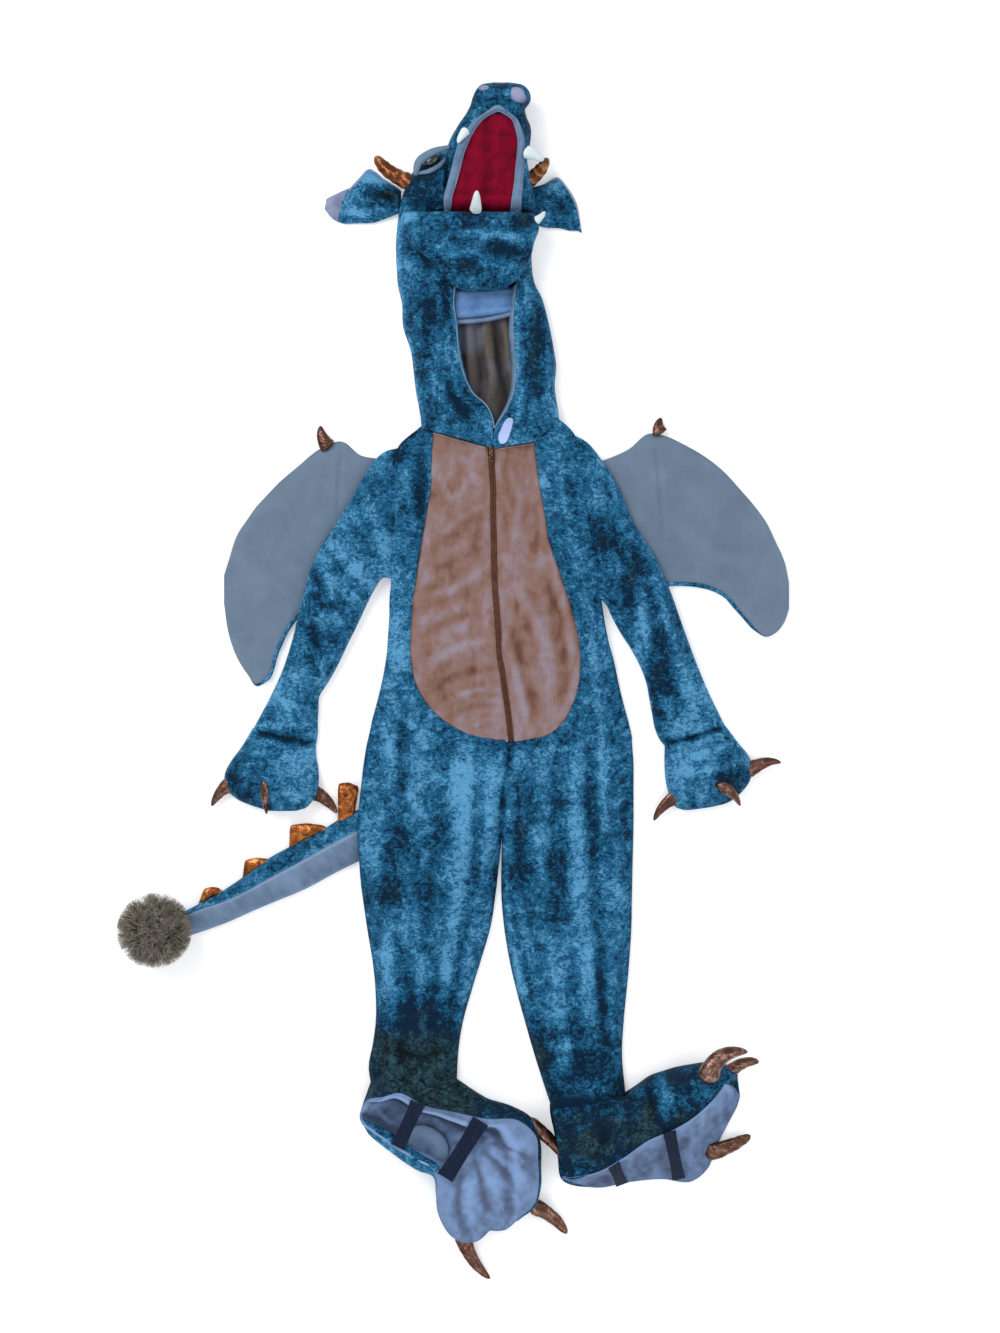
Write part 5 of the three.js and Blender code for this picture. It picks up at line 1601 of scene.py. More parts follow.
@dataclass
class Wings:
    """Two flat padded wings, felt in front and velvet behind, pinned between the shoulders."""

    wardrobe: Wardrobe
    rim: float = 5.0
    left: tuple = (
        (-321, 146, 104), (-315, 165, 64), (-302, 203, 28), (-288, 224, 6),
        (-276, 241, -10), (-263, 255, -4), (-246, 273, 39), (-218, 297, 85),
        (-188, 321, 102), (-157, 332, 111), (-129, 312, 122), (-106, 308, 147),
        (-76, 304, 155), (50, 304, 155),
    )
    right: tuple = (
        (468, 136, 97), (462, 164, 80), (449, 193, 64), (437, 218, 59),
        (423, 238, 66), (399, 266, 91), (377, 290, 115), (349, 312, 127),
        (321, 328, 130), (294, 340, 130), (274, 343, 129), (244, 321, 122),
        (204, 304, 115), (56, 304, 115),
    )
    seams: tuple = (
        ("left", ((-158, 335), (-162, 279), (-164, 223))), ("right", ((279, 339), (286, 265), (291, 188))),
    )

    def _height(self, rows: Points, x: Points, y: Points, full: float) -> Points:
        """Soft fullness of a cover: thin at its edges, dimpled along its stitching.

        Args:
            rows: The table of the wing.
            x: Places across, in millimetres.
            y: Places along, in millimetres.
            full: Fullness in the middle.

        Returns:
            Height in millimetres.
        """
        top = np.interp(x, *self._sorted(rows, 1))
        foot = np.interp(x, *self._sorted(rows, 2))
        share = clamp((y - foot) / np.maximum(top - foot, 1))
        lumps = full * dome(share) ** 0.6 + 0.45 * WRINKLES.at(x, y, 24.0, 1.3)
        return lumps + 0.25 * WRINKLES.at(x, y + 90, 11.0)

    @staticmethod
    def _sorted(rows: Points, column: int) -> tuple[Points, Points]:
        """A column of a table with its places in rising order."""
        order = np.argsort(rows[:, 0])
        return rows[order, 0], rows[order, column]

    def _cover(self, name: str, rows: tuple, finish: Finish, trim: float, z: float,
               under: tuple[str, ...]) -> None:
        """One cover of a wing.

        Args:
            name: Name of the piece.
            rows: Columns x, top and foot.
            finish: Its finish.
            trim: How much is cut off along the foot.
            z: Height of its underside.
            under: What it lies on.
        """
        table = np.asarray(rows, dtype=float)
        top = [(x, y) for x, y, _ in rows]
        foot = [(x, y + trim * min(1.0, max(0.0, (k - 3) / 2))) for k, (x, _, y) in enumerate(rows)]
        places = knot_places((top, foot), 3.6)
        first, second = spline(top, places), spline(foot, places)
        shares = crowded(52 if trim else 26, 0.75)
        x, y = across(first, second, shares)
        low = stack(x, y, z)
        full = self._height(table, x, y, 0.9 if trim else 0.0)
        near_end = clamp(np.abs(x - table[0, 0]) / 6)
        swell = clamp(dome(shares) * 2.2)[None, :]
        thick = (1.3 + (WING_LAYER - 1.3) * swell) if trim else WING_LAYER - 0.2
        high = low + stack(0 * x, 0 * y, thick + full * near_end)
        for _, line in (seam for seam in self.seams if trim and seam[0] in name):
            groove = Crease(line, 3.2, -1.3).rise(x, y) + Crease(line, 9.0, 0.7).rise(x, y)
            high[..., 2] += groove
        self.wardrobe.cloth(sheet_shell(name, high, low), finish, "laid", under, (name,))

    def _rim(self, side: str, rows: tuple) -> None:
        """The velvet edge that rolls over along the wing's lower side.

        Args:
            side: Name of the side.
            rows: Columns x, top and foot.
        """
        foot = [(x, y + 2.6) for x, _, y in rows[4:-3]]
        places = knot_places((foot, foot), 4.0)
        path = spline(foot, places)
        radii = 2.9 + 0.7 * WRINKLES.at(path[:, 0], path[:, 1], 12.0)
        radii = radii * np.minimum(1.0, 0.45 + 0.1 * np.arange(len(radii)))
        rim = swept(f"wing_rim_{side}", np.column_stack([path, np.full(len(path), 4.4)]), radii, 12)
        self.wardrobe.add(rim, Finish.VELVET)

    def build(self) -> None:
        """Makes both wings."""
        for side, rows in (("left", self.left), ("right", self.right)):
            self._cover(f"wing_back_{side}", rows, Finish.VELVET, 0.0, 0.0, ())
            self._cover(f"wing_front_{side}", rows, Finish.FELT, self.rim, WING_LAYER + SEAM,
                        (f"wing_back_{side}",))
            self._rim(side, rows)


# ---------------------------------------------------------------- tail

@dataclass
class Tail:
    """The stuffed tail, its crest of spikes and its fur ball."""

    wardrobe: Wardrobe
    rows: tuple = (
        (34, -150, 39, -174, 45, -200, 15), (-34, -162, -28, -186, -22, -213, 15),
        (-90, -174, -84, -199, -78, -225, 15), (-143, -186, -136, -213, -126, -251, 15),
        (-178, -207, -171, -230, -164, -270, 24), (-231, -235, -224, -259, -211, -295, 27),
        (-263, -253, -256, -276, -245, -309, 27), (-295, -277, -288, -294, -283, -325, 26),
        (-325, -297, -318, -308, -314, -339, 24), (-356, -314, -351, -319, -346, -351, 21),
        (-385, -329, -384, -333, -382, -363, 16),
    )
    spikes: tuple = (
        (-139, -190, -132, -150, -147, -144, -162, -146, -162, -202, 1.0),
        (-176, -209, -182, -204, -206, -201, -229, -204, -230, -237, 0.9),
        (-251, -251, -258, -251, -276, -249, -292, -253, -295, -277, 0.8),
        (-322, -297, -329, -291, -339, -290, -349, -293, -357, -314, 0.7),
    )
    ball_x: float = -411
    ball_y: float = -346
    ball_radius: float = 48.0
    ball_core: float = 0.72
    strands: int = 6400

    def _half(self, name: str, edge: Points, seam: Points, high: Points, finish: Finish) -> None:
        """A half of the tail, full along its seam and rolled at its edge, with small pulls across it.

        Args:
            name: Name of the piece.
            edge: Its outer edge.
            seam: Its edge on the seam.
            high: Height at the seam.
            finish: Its finish.
        """
        t = np.concatenate([np.linspace(0, 1, 26), np.linspace(0.98, 0.02, 14)])
        over = np.arange(len(t)) < 26
        plan = edge[:, None, :] * (1 - t[None, :, None]) + seam[:, None, :] * t[None, :, None]
        x, y = plan[..., 0], plan[..., 1]
        roll = 0.22 + 0.78 * np.sin(np.pi / 2 * clamp(t[:26])) ** 0.62
        pull = 0.5 * WRINKLES.at(x[:, :26] * 0.8 + y[:, :26] * 0.6, y[:, :26], 8.0, 3.0)
        pull = pull + 0.8 * WRINKLES.at(x[:, :26], y[:, :26] + 80, 24.0)
        seam_dip = -1.8 * np.exp(-((1 - t[:26]) / 0.06))[None, :]
        calm = np.sin(np.pi * clamp(t[:26], 0.0, 0.97)) ** 0.5
        free = ease(x[:, :26], -143, -162)
        top = high[:, None] * roll[None, :] + (pull * calm[None, :] + seam_dip) * (0.25 + 0.75 * free)
        z = np.zeros_like(x)
        z[:, :26] = np.maximum(top, 0.6)
        rings = np.stack([x, y, np.where(over[None, :], z, 0.0)], axis=-1)
        self.wardrobe.pad(loft(name, rings), finish, 0.7, (name,))

    def build(self) -> None:
        """Makes the tail."""
        data = np.asarray(self.rows, dtype=float)
        places = knot_places((data[:, :2], data[:, 4:6]), 3.2)
        top, seam, foot = (spline(data[:, k:k + 2], places) for k in (0, 2, 4))
        high = np.interp(places, np.arange(len(data)), data[:, 6])
        self._half("tail_top", top, beside(seam, -SEAM / 2), high, Finish.VELVET)
        self._half("tail_under", foot, beside(seam, SEAM / 2), high, Finish.TAIL_FELT)
        self._crest()
        self._ball()

    def _crest(self) -> None:
        """Coated spikes, stuffed in their middles, in one crest."""
        points, faces, relief = [], [], []
        for rx, ry, ax, ay, mx, my, bx, by, lx, ly, size in self.spikes:
            corners = np.array(((rx, ry), (ax, ay), (mx, my), (bx, by), (lx, ly)))
            at = np.linspace(0, 4, 44)
            outline = np.column_stack([np.interp(at, range(5), corners[:, k]) for k in (0, 1)])
            outline[2:-2] = sum(outline[k:k + 40] for k in range(5)) / 5
            base = np.linspace((lx, ly), (rx, ry), 16)[1:-1]
            ring = np.concatenate([outline, base])
            centre = ring.mean(axis=0) * 0.6 + np.array([(rx + lx) / 2, (ry + ly) / 2]) * 0.4
            levels = 9
            start = len(points)
            for side in (1, -1):
                for k in range(levels):
                    share = k / levels
                    plan = ring * (1 - share) + centre * share
                    crush = 0.7 * WRINKLES.at(plan[:, 0] * 1.3, plan[:, 1], 6.5)
                    puff = 4.6 * math.sin(math.pi / 2 * share) ** 0.6 * size + crush * min(1.0, 2 * share)
                    z = 7.6 + side * (puff + 0.35)
                    points += np.column_stack([plan, np.maximum(z, 0.4)]).tolist()
                    # Relief of the crush, which the coat paints as shade in its dents and highlight on its
                    # lumps.
                    relief += (np.tanh(crush / 1.2) * min(1.0, 2 * share)).tolist()
                points.append((centre[0], centre[1], 7.6 + side * 4.9 * size))
                relief.append(0.2)
            count = len(ring)
            block = levels * count + 1
            for side in range(2):
                first = start + side * block
                faces += grid_faces(levels, count, first, True, side == 1)
                last = first + (levels - 1) * count
                for j in range(count):
                    fan = (last + j, last + (j + 1) % count, first + block - 1)
                    faces.append(fan if side == 0 else fan[::-1])
            for j in range(count):
                a, b = start + j, start + (j + 1) % count
                faces.append((b, a, a + block, b + block))
        crest = make_object("tail_crest_spikes", np.array(points), faces, np.array(relief))
        self.wardrobe.pad(crest, Finish.COPPER, 0.6, ("tail_crest",))

    def _ball(self) -> None:
        """Tufts of fur that stand out from a core, longer at the edges and lying over each other."""
        random = np.random.default_rng(7)
        core_r = self.ball_radius * self.ball_core
        centre = np.array([self.ball_x, self.ball_y, self.ball_radius - 4])
        rows = []
        for polar in np.linspace(0.12, math.pi - 0.12, 18):
            ring = []
            for a in turns(30):
                flat = math.sin(polar)
                out = np.array([flat * math.cos(a), flat * math.sin(a), -math.cos(polar)])
                point = centre + out * core_r
                point[2] = max(1.5, point[2])
                ring.append(point)
            rows.append(ring)
        self.wardrobe.pad(loft("tail_ball_core", np.array(rows)), Finish.FUR, 0.8, ("tail_ball",))
        count, steps = self.strands, 4
        ways = random.normal(size=(count, 3))
        ways /= np.linalg.norm(ways, axis=1)[:, None]
        lean = random.normal(scale=0.34, size=(count, 3))
        clump = np.stack([
            TONES.at(ways[:, 0] * 60, ways[:, 1] * 60 + 30 * k, 9.0) for k in range(3)
        ], axis=-1)
        length = self.ball_radius * random.uniform(0.28, 0.54, count)
        points = np.zeros((count, steps, 3, 3))
        side = np.cross(ways, random.normal(size=(count, 3)))
        side /= np.linalg.norm(side, axis=1)[:, None]
        other = np.cross(ways, side)
        for k in range(steps):
            t = k / (steps - 1)
            middle = centre + ways * (core_r * 0.94 + length * t)[:, None]
            middle = middle + (lean + 0.8 * clump) * (t ** 1.6 * length)[:, None]
            reach = np.linalg.norm(middle - centre, axis=1)[:, None]
            middle = centre + (middle - centre) * np.minimum(1.0, (self.ball_radius + 3.5) / reach)
            thick = 0.5 * (1 - 0.8 * t)
            for c in range(3):
                a = 2 * math.pi * c / 3
                points[:, k, c] = middle + (side * math.cos(a) + other * math.sin(a)) * thick
        points[..., 2] = np.maximum(points[..., 2], 0.25)
        number = np.arange(count * steps * 3).reshape(count, steps, 3)
        faces = []
        for c in range(3):
            n = (c + 1) % 3
            quads = np.stack([
                number[:, :-1, c], number[:, :-1, n], number[:, 1:, n], number[:, 1:, c],
            ], -1)
            faces += [tuple(quad) for quad in quads.reshape(-1, 4).tolist()]
        for ends in (number[:, -1], number[:, 0, ::-1]):
            faces += [tuple(end) for end in ends.tolist()]
        # Painted shade towards the roots and painted light towards the tips, with a random tint for each
        # strand.
        paler = np.broadcast_to(np.linspace(-0.8, 0.9, steps)[None, :, None], (count, steps, 3))
        shade = np.clip(paler + random.normal(scale=0.45, size=(count, 1, 1)), -1, 1)
        fur = make_object("tail_ball_fur", points.reshape(-1, 3), faces, shade.ravel())
        self.wardrobe.add(fur, Finish.FUR)


# ---------------------------------------------------------------- claws

@dataclass(frozen=True)
class Horny:
    """A tapered, bent, stuffed point: three places along it, its root radius and its flatness."""

    name: str
    root: tuple[float, float, float]
    bend: tuple[float, float, float]
    tip: tuple[float, float, float]
    radius: float
    flat: float = 0.85
    rings: int = 0
    blunt: float = 0.42
    tuck: float = 0.12

    def make(self, sides: int = 26, steps: int = 26) -> Object:
        """The point, with soft crush or wound ribs on its surface.

        Args:
            sides: Corners of the section.
            steps: Sections along it.

        Returns:
            The piece.
        """
        root, bend, tip = (np.array(place, dtype=float) for place in (self.root, self.bend, self.tip))
        t = np.linspace(0, 1, steps)[:, None]
        path = (1 - t) ** 2 * root + 2 * t * (1 - t) * bend + t * t * tip
        ahead = 2 * (1 - t) * (bend - root) + 2 * t * (tip - bend)
        ahead /= np.linalg.norm(ahead, axis=1)[:, None]
        level = np.cross(np.array([0.0, 0.0, 1.0]), ahead)
        level /= np.linalg.norm(level, axis=1)[:, None]
        up = np.cross(ahead, level)
        taper = (1 - (1 - self.blunt) * t[:, 0]) * np.sqrt(1.002 - t[:, 0] ** 8)
        taper = taper * np.sqrt(clamp((t[:, 0] + 0.02) / self.tuck))
        angle = turns(sides)
        crush = 1 + 0.07 * WRINKLES.at(
            path[:, :1] * 2 + 30 * np.cos(angle), path[:, 1:2] * 2 + 30 * np.sin(angle), 9.0,
        )
        if self.rings:
            wound = np.sin(2 * np.pi * self.rings * t + 0.8 * np.sin(angle[None, :]))
            crush = crush + 0.045 * wound * np.minimum(1, 4 * (1 - t))
        radius = self.radius * taper[:, None] * crush
        ring = np.cos(angle)[None, :, None] * level[:, None]
        ring = ring + np.sin(angle)[None, :, None] * up[:, None] * self.flat
        return loft(self.name, path[:, None] + ring * radius[..., None])


@dataclass
class Claws:
    """The claws of hands, wings and feet, and the two horns."""

    wardrobe: Wardrobe
    claws: tuple = (
        Horny("claw_hand_left_1", (-305, -142, 9), (-330, -156, 11), (-338, -178, 8), 12, 0.62, blunt=0.25),
        Horny("claw_hand_left_2", (-262, -137, 31), (-260, -164, 36), (-260, -188, 18), 9.5,
              blunt=0.25, tuck=0.5),
        Horny("claw_hand_left_3", (-206, -155, 10), (-179, -160, 12), (-163, -187, 12), 13, 0.62, blunt=0.35),
        Horny("claw_hand_right_1", (406, -132, 9), (433, -109, 14), (457, -117, 9), 12, 0.62, blunt=0.25),
        Horny("claw_hand_right_2", (363, -145, 31), (387, -152, 37), (399, -177, 15), 11,
              blunt=0.25, tuck=0.35),
        Horny("claw_hand_right_3", (316, -162, 9), (290, -171, 13), (279, -198, 8), 11.5, 0.62, blunt=0.3),
        Horny("claw_wing_left", (-173, 323, 8), (-187.4, 336.1, 9), (-186, 354, 6), 12.5, 0.5, blunt=0.3),
        Horny("claw_wing_right", (289.3, 342.0, 8), (282.8, 352.5, 9), (290, 365, 6), 11.5, 0.5, blunt=0.3),
        Horny("claw_foot_left_1", (99, -615, 20), (138, -634, 24), (155, -671, 16), 12, blunt=0.4),
        Horny("claw_foot_left_2", (106, -734, 8), (138, -743, 11), (158, -774, 9), 12.5, 0.62, blunt=0.5),
        Horny("claw_foot_left_3", (10, -770, 8), (21, -813, 10), (51, -837, 8), 12.5, 0.62, blunt=0.36),
        Horny("claw_foot_right_1", (347, -552, 56), (358, -501, 68), (405, -512, 50), 16, blunt=0.36),
        Horny("claw_foot_right_2", (380, -547, 22), (404, -525, 28), (425, -533, 16), 10, blunt=0.5),
        Horny("claw_foot_right_3", (351, -663, 6), (388, -652, 13), (414, -636, 10), 13, 0.55, blunt=0.5),
    )
    horns: tuple = (
        Horny("horn_left", (-52, 686, 28), (-93, 696, 32), (-108, 726, 24), 12, 0.9, 6, 0.66),
        Horny("horn_right", (95, 686, 28), (121, 698, 32), (130, 723, 24), 11.5, 0.9, 5, 0.6),
    )

    def build(self) -> None:
        """Makes the claws and horns."""
        for claw in self.claws:
            self.wardrobe.pad(claw.make(), Finish.CLAW, 0.7, (claw.name,))
        for horn in self.horns:
            self.wardrobe.pad(horn.make(28, 44), Finish.HORN, 0.8, (horn.name,))


# ---------------------------------------------------------------- hood

HOOD = Table("y left openLeft openRight right", (
    (644, -78, 39, 41, 111), (609, -81, 39, 41, 109),
    (573, -80, 36, 42, 109), (547, -78, 1, 87, 113),
    (525, -73, -1, 85, 123), (491, -71, 3, 83, 132),
    (455, -60, 6, 85, 139), (424, -56, 13, 87, 143),
    (398, -53, 25, 84, 141), (377, -49, 46, 76, 143),
    (357, -46, 54, 64, 146), (346, -46, 55, 57, 146),
))
HOOD_MIDDLE = 42
HOOD_CROWN = 30.0

HOOD_FOLDS = crease_rows(
    (8, 4, -62, 545, -48, 489, -42, 419), (8, -3.6, -42, 559, -28, 503, -20, 433),
    (7, 3.4, -22, 545, -11, 489, -6, 419), (7, -3, -67, 489, -59, 433, -48, 377),
    (8, 4.4, -39, 447, -20, 398, 8, 356), (7, -3.6, -14, 419, 6, 384, 34, 351),
    (7, 3.2, -42, 391, -14, 365, 20, 340), (7, 3.6, -73, 584, -53, 567, -20, 553),
    (7, 3.4, 101, 559, 106, 503, 109, 433), (7, -3.2, 116, 531, 122, 475, 127, 405),
    (7, 3.2, 132, 489, 132, 433, 129, 370), (7, -3, 98, 447, 104, 398, 92, 349),
    (6, 3.2, 106, 405, 112, 370, 106, 337),
)


def hood_rise(share: Points) -> Points:
    """Height of the hood's upper layer over its lower one, from its outer fold to the opening."""
    return HOOD_CROWN * dome(0.5 * clamp(share) ** 0.7) * (1 + (0.72 - 1) * ease(share, 0.5, 1))


def hood_share(x: Points, y: Points) -> Points:
    """How far a place on the hood lies in from the outer fold.

    Args:
        x: Places across, in millimetres.
        y: Places along, in millimetres.

    Returns:
        Share from 0 at the fold to 1 at the opening.
    """
    left, right = HOOD.read("left", y), HOOD.read("right", y)
    open_left, open_right = HOOD.read("openLeft", y), HOOD.read("openRight", y)
    return np.where(x < HOOD_MIDDLE, (x - left) / (open_left - left), (right - x) / (right - open_right))


def hood_top(x: Points, y: Points) -> Points:
    """Top of the hood's upper layer, without its folds."""
    return bed(x, y) + 2 * VELVET + 2 * SEAM + hood_rise(hood_share(x, y))


@dataclass
class Hood:
    """The hood with its lining, brow pad, facing and throat tab."""

    wardrobe: Wardrobe
    neck_back: float = 344
    neck_left: tuple = ((-47, 348), (55, 319))
    neck_right: tuple = ((145, 360), (113, 328), (55, 319))
    brow: tuple = (
        (-18, 494, 102, 508, 5), (-18, 504, 102, 518, 12), (-17, 522, 101, 531, 13),
        (-15, 536, 99, 542, 12), (-14, 546, 98, 550, 5),
    )
    tab: tuple = (
        ((73, 361), (67, 348), (62, 335), (63, 324)),
        ((84, 360), (81, 348), (77, 335), (73, 325)),
    )
    tab_z: float = 36.5

    def _side(self, name: str, outer_key: str, open_key: str, neck: tuple) -> None:
        """One side of the hood, wrapped from the middle of the back round to the opening.

        Args:
            name: Name of the piece.
            outer_key: Column of the outer fold.
            open_key: Column of the opening.
            neck: Points of the neck seam, from the outer fold.
        """
        top_y = 644.0
        back_end = self.neck_back + SEAM
        stretch = (neck[0][1] - top_y) / (back_end - top_y)
        rows = [
            (y, float(HOOD.read(outer_key, y)), top_y + (y - top_y) * stretch,
             float(HOOD.read(open_key, y)), y) for y in HOOD.key[::-1]
        ]
        rows.append((back_end, neck[0][0], neck[0][1], neck[-1][0], neck[-1][1]))
        data = np.asarray(rows, dtype=float)
        places, outer, opening = edge_lines(data[:, 1:], 2.8)
        back_y = np.interp(places, np.arange(len(data)), data[:, 0])
        sideways = np.sign(opening[:, 0] - outer[:, 0])[:, None]
        grids = []
        for inset in (0.0, VELVET):
            ox, oy = outer[:, :1] + sideways * inset, outer[:, 1:]
            back_shares = np.linspace(1, 0.03, 22)[None, :]
            x = ox + (HOOD_MIDDLE - sideways * SEAM / 2 - ox) * back_shares
            y = oy + (back_y[:, None] - oy) * back_shares
            below = stack(x, y, bed(x, y) + inset)
            shares = crowded(44, 0.6)[None, :]
            x = ox + (opening[:, :1] - ox) * shares
            y = oy + (opening[:, 1:] - oy) * shares
            if len(neck) > 2:
                (ax, ay), (bx, by), (cx, cy) = neck
                bent = np.where(
                    x > bx, ay + (by - ay) * (x - ax) / (bx - ax), by + (cy - by) * (x - bx) / (cx - bx),
                )
                last = ease(np.arange(len(places)), len(places) - 12, len(places) - 1)[:, None]
                y = y + (bent - y) * last * (shares > 0)
            calm = clamp(shares * 5) * clamp((1.02 - shares) * 7)
            hidden = ease(y, 620, 584)
            folds = creased(HOOD_FOLDS, x, y) + 0.9 * wrinkles(x, y)
            hem = 0.9 * np.exp(-((1 - shares) / 0.05) ** 2)
            lip = np.minimum(0.0, -3.2 * (1 - clamp((1 - shares) / 0.03)))
            z = bed(x, y) + VELVET + 2 * SEAM + hood_rise(shares) + calm * hidden * folds + hem + lip * 0.4
            above = stack(x, y, np.maximum(z, bed(x, y) + VELVET + 2 * SEAM) + (VELVET - inset))
            grids.append(np.concatenate([below, above], axis=1))
        piece = sheet_shell(name, grids[0], grids[1])
        width = 2.2 * float(np.abs(opening[:, 0] - outer[:, 0]).max())
        self.wardrobe.cloth(piece, Finish.VELVET, "folded", (), (name,), width)

    def _lining(self) -> None:
        """Satin lining on the back of the hood, in soft upright folds."""
        inset = 13.0
        ys = (536, 505, 472, 438, 405, 379, 357, 326)
        left = [(float(HOOD.read("left", y)) + inset, y) for y in ys]
        right = [(float(HOOD.read("right", y)) - inset, y) for y in ys]
        places = knot_places((left, right), 2.4)

        def under(x: Points, y: Points) -> Points:
            """Underside of the lining.

            Args:
                x: Places across, in millimetres.
                y: Places along, in millimetres.

            Returns:
                Height in millimetres.
            """
            middle = 39 + (y - 536) * -0.05
            slant = (x - middle) * (1 + 0.0035 * (y - 447))
            wave = np.sin(slant / 4.2 + 1.3 * WRINKLES.at(x, y, 40.0, 1.5))
            folds = 2.4 * wave * (0.6 + 0.4 * WRINKLES.at(x, y, 30.0))
            return bed(x, y) + VELVET + 3 * SEAM + 2.6 + folds + 1.2 * WRINKLES.at(x, y, 13.0, 3.0)

        low = across_grid(spline(left, places), spline(right, places), np.linspace(0, 1, 80), under)
        piece = sheet_shell("hood_lining", low + (0, 0, LINING), low)
        self.wardrobe.cloth(piece, Finish.LINING, "laid", ("hood_left", "hood_right"), ("hood_lining",))

    def _brow(self) -> None:
        """The plush pad across the brow, with a welt under it."""
        rings = pad_rings(self.brow, lambda x, y: bed(x, y) + VELVET + 4 * SEAM + LINING + 2.4, 36, 2.6)
        self.wardrobe.pad(loft("brow_pad", rings), Finish.BROW, 0.6, ("brow_pad",))
        path = rounded(((-10, 496), (43, 500), (92, 511)), 40)
        welt = swept("brow_welt", np.column_stack([path, np.full(40, 15.5)]), np.full(40, 3.2), 12)
        self.wardrobe.add(welt, Finish.GUM)

    def _facing(self) -> None:
        """A strip turned in along each edge of the opening, paler on the right, with pale piping on it."""
        for side, column, inward in (("left", "openLeft", 1.0), ("right", "openRight", -1.0)):
            knots_y = HOOD.key[::-1][3:]
            knots = [(float(HOOD.read(column, y)), y) for y in knots_y]
            line = spline(knots, np.linspace(0, len(knots) - 1.1, 70))
            z = hood_top(line[:, 0] - inward * 2, line[:, 1]) - 1.0
            path = np.column_stack([line[:, 0] + inward * 1.0, line[:, 1], z])
            self.wardrobe.add(swept(f"opening_piping_{side}", path, np.full(70, 1.2), 10), Finish.PIPING)
            drop = np.linspace(0, 1, 9)[None, :]
            swell = 0.5 + 0.5 * np.sin(np.linspace(0.6, 2.9, 70))
            width = (6.0 if side == "right" else 4.0) * swell[:, None]
            x = line[:, :1] + inward * (1.0 + width * drop)
            y = np.broadcast_to(line[:, 1:2], x.shape)
            z = z[:, None] - 1.6 - 13.0 * drop ** 1.5 - 0.5 * WRINKLES.at(x, y, 9.0)
            low = stack(x, y, z)
            strip = sheet_shell(f"opening_facing_{side}", low + (0, 0, 1.2), low)
            finish = Finish.PIPING if side == "right" else Finish.VELVET
            self.wardrobe.cloth(strip, finish, "folded", ("hood_lining",))

    def _tab(self) -> None:
        """The felt fastening tab at the throat, rounded and slightly bent."""
        first, second = self.tab
        places = np.linspace(0, len(first) - 1, 28)
        a, b = spline(first, places), spline(second, places)
        ends = np.sqrt(clamp(1 - ((places - 1.5) / 1.5) ** 6))[:, None]
        middle = (a + b) / 2
        a, b = middle + (a - middle) * (0.35 + 0.65 * ends), middle + (b - middle) * (0.35 + 0.65 * ends)
        x, y = across(a, b, crowded(14, 0.6))
        low = stack(x, y, self.tab_z + 0.7 * np.sin(places)[:, None])
        high = low + stack(0 * x, 0 * y, 1.0 + 0.9 * dome(crowded(14, 0.6))[None, :])
        piece = sheet_shell("neck_tab", high, low)
        self.wardrobe.cloth(piece, Finish.TAB, "laid", ("hood_right",), ("neck_tab",))

    def build(self) -> None:
        """Makes the hood."""
        self._side("hood_left", "left", "openLeft", self.neck_left)
        self._side("hood_right", "right", "openRight", self.neck_right)
        self._lining()
        self._brow()
        self._facing()
        self._tab()


def pad_rings(rows: Sequence[Sequence[float]], under: Callable[[Points, Points], Points], around: int,
              step: float, lumps: float = 0.0) -> Points:
    """Rings of a stuffed pad that rests on something.

    Args:
        rows: Columns ax, ay, bx, by and high.
        under: Height of what it rests on.
        around: Points over the top.
        step: Distance between rings.
        lumps: Height of the uneven filling.

    Returns:
        The rings.
    """
    data = np.asarray(rows, dtype=float)
    places, first, second = edge_lines(data, step)
    high = np.interp(places, np.arange(len(data)), data[:, 4])[:, None]
    ends = np.minimum(1, np.minimum(np.arange(len(places)), np.arange(len(places))[::-1]) / 3 + 0.25)[:, None]
    over = crowded(around, 0.85)
    x, y = across(first, second, over)
    uneven = lumps * (WRINKLES.at(x, y, 20.0, 1.2) + 0.5 * WRINKLES.at(x, y, 9.0))
    rise = high * (0.3 + 0.7 * dome(over)[None, :] ** 0.8) + uneven * dome(over)[None, :]
    above = stack(x, y, under(x, y) + rise * ends)
    x, y = across(first, second, np.linspace(0.98, 0.02, around // 2))
    return np.concatenate([above, stack(x, y, under(x, y))], axis=1)


# ---------------------------------------------------------------- head

def smooth_across(sections: Points, count: int, wrap: bool = False) -> Points:
    """Rounds every section of a stack.

    Args:
        sections: Corners of the sections, shape (rows, corners, 3).
        count: Points wanted on each section.
        wrap: Whether a section closes on itself.

    Returns:
        The sections as smooth lines of that many points.
    """
    corners = sections.shape[1]
    at = np.linspace(0, corners if wrap else corners - 1, count, endpoint=not wrap)
    index = np.minimum(np.floor(at).astype(int), corners - 1 if wrap else corners - 2)
    t = (at - index)[None, :, None]

    def corner(shift: int) -> Points:
        """The corners beside each point."""
        number = index + shift
        return sections[:, number % corners if wrap else np.clip(number, 0, corners - 1)]

    before, a, b, after = (corner(shift) for shift in (-1, 0, 1, 2))
    slope_a, slope_b = 0.5 * (b - before), 0.5 * (after - a)
    t2, t3 = t * t, t * t * t
    return (
        (2 * t3 - 3 * t2 + 1) * a + (t3 - 2 * t2 + t) * slope_a + (3 * t2 - 2 * t3) * b + (t3 - t2) * slope_b
    )


MUZZLE = (
    (45, 824, 89, 824, 36), (33, 816, 103, 815, 52), (27, 804, 107, 802, 61),
    (23, 791, 99, 788, 57), (15, 777, 101, 777, 60), (4, 760, 107, 760, 62),
    (-7, 738, 106, 740, 64), (-10, 717, 102, 718, 63), (-10, 695, 106, 695, 60),
    (-10, 674, 110, 674, 56), (-10, 657, 114, 657, 50), (-11, 644.5, 115, 644.5, 31),
)
MUZZLE_TABLE = Table("y high", [(row[1], row[4]) for row in MUZZLE])


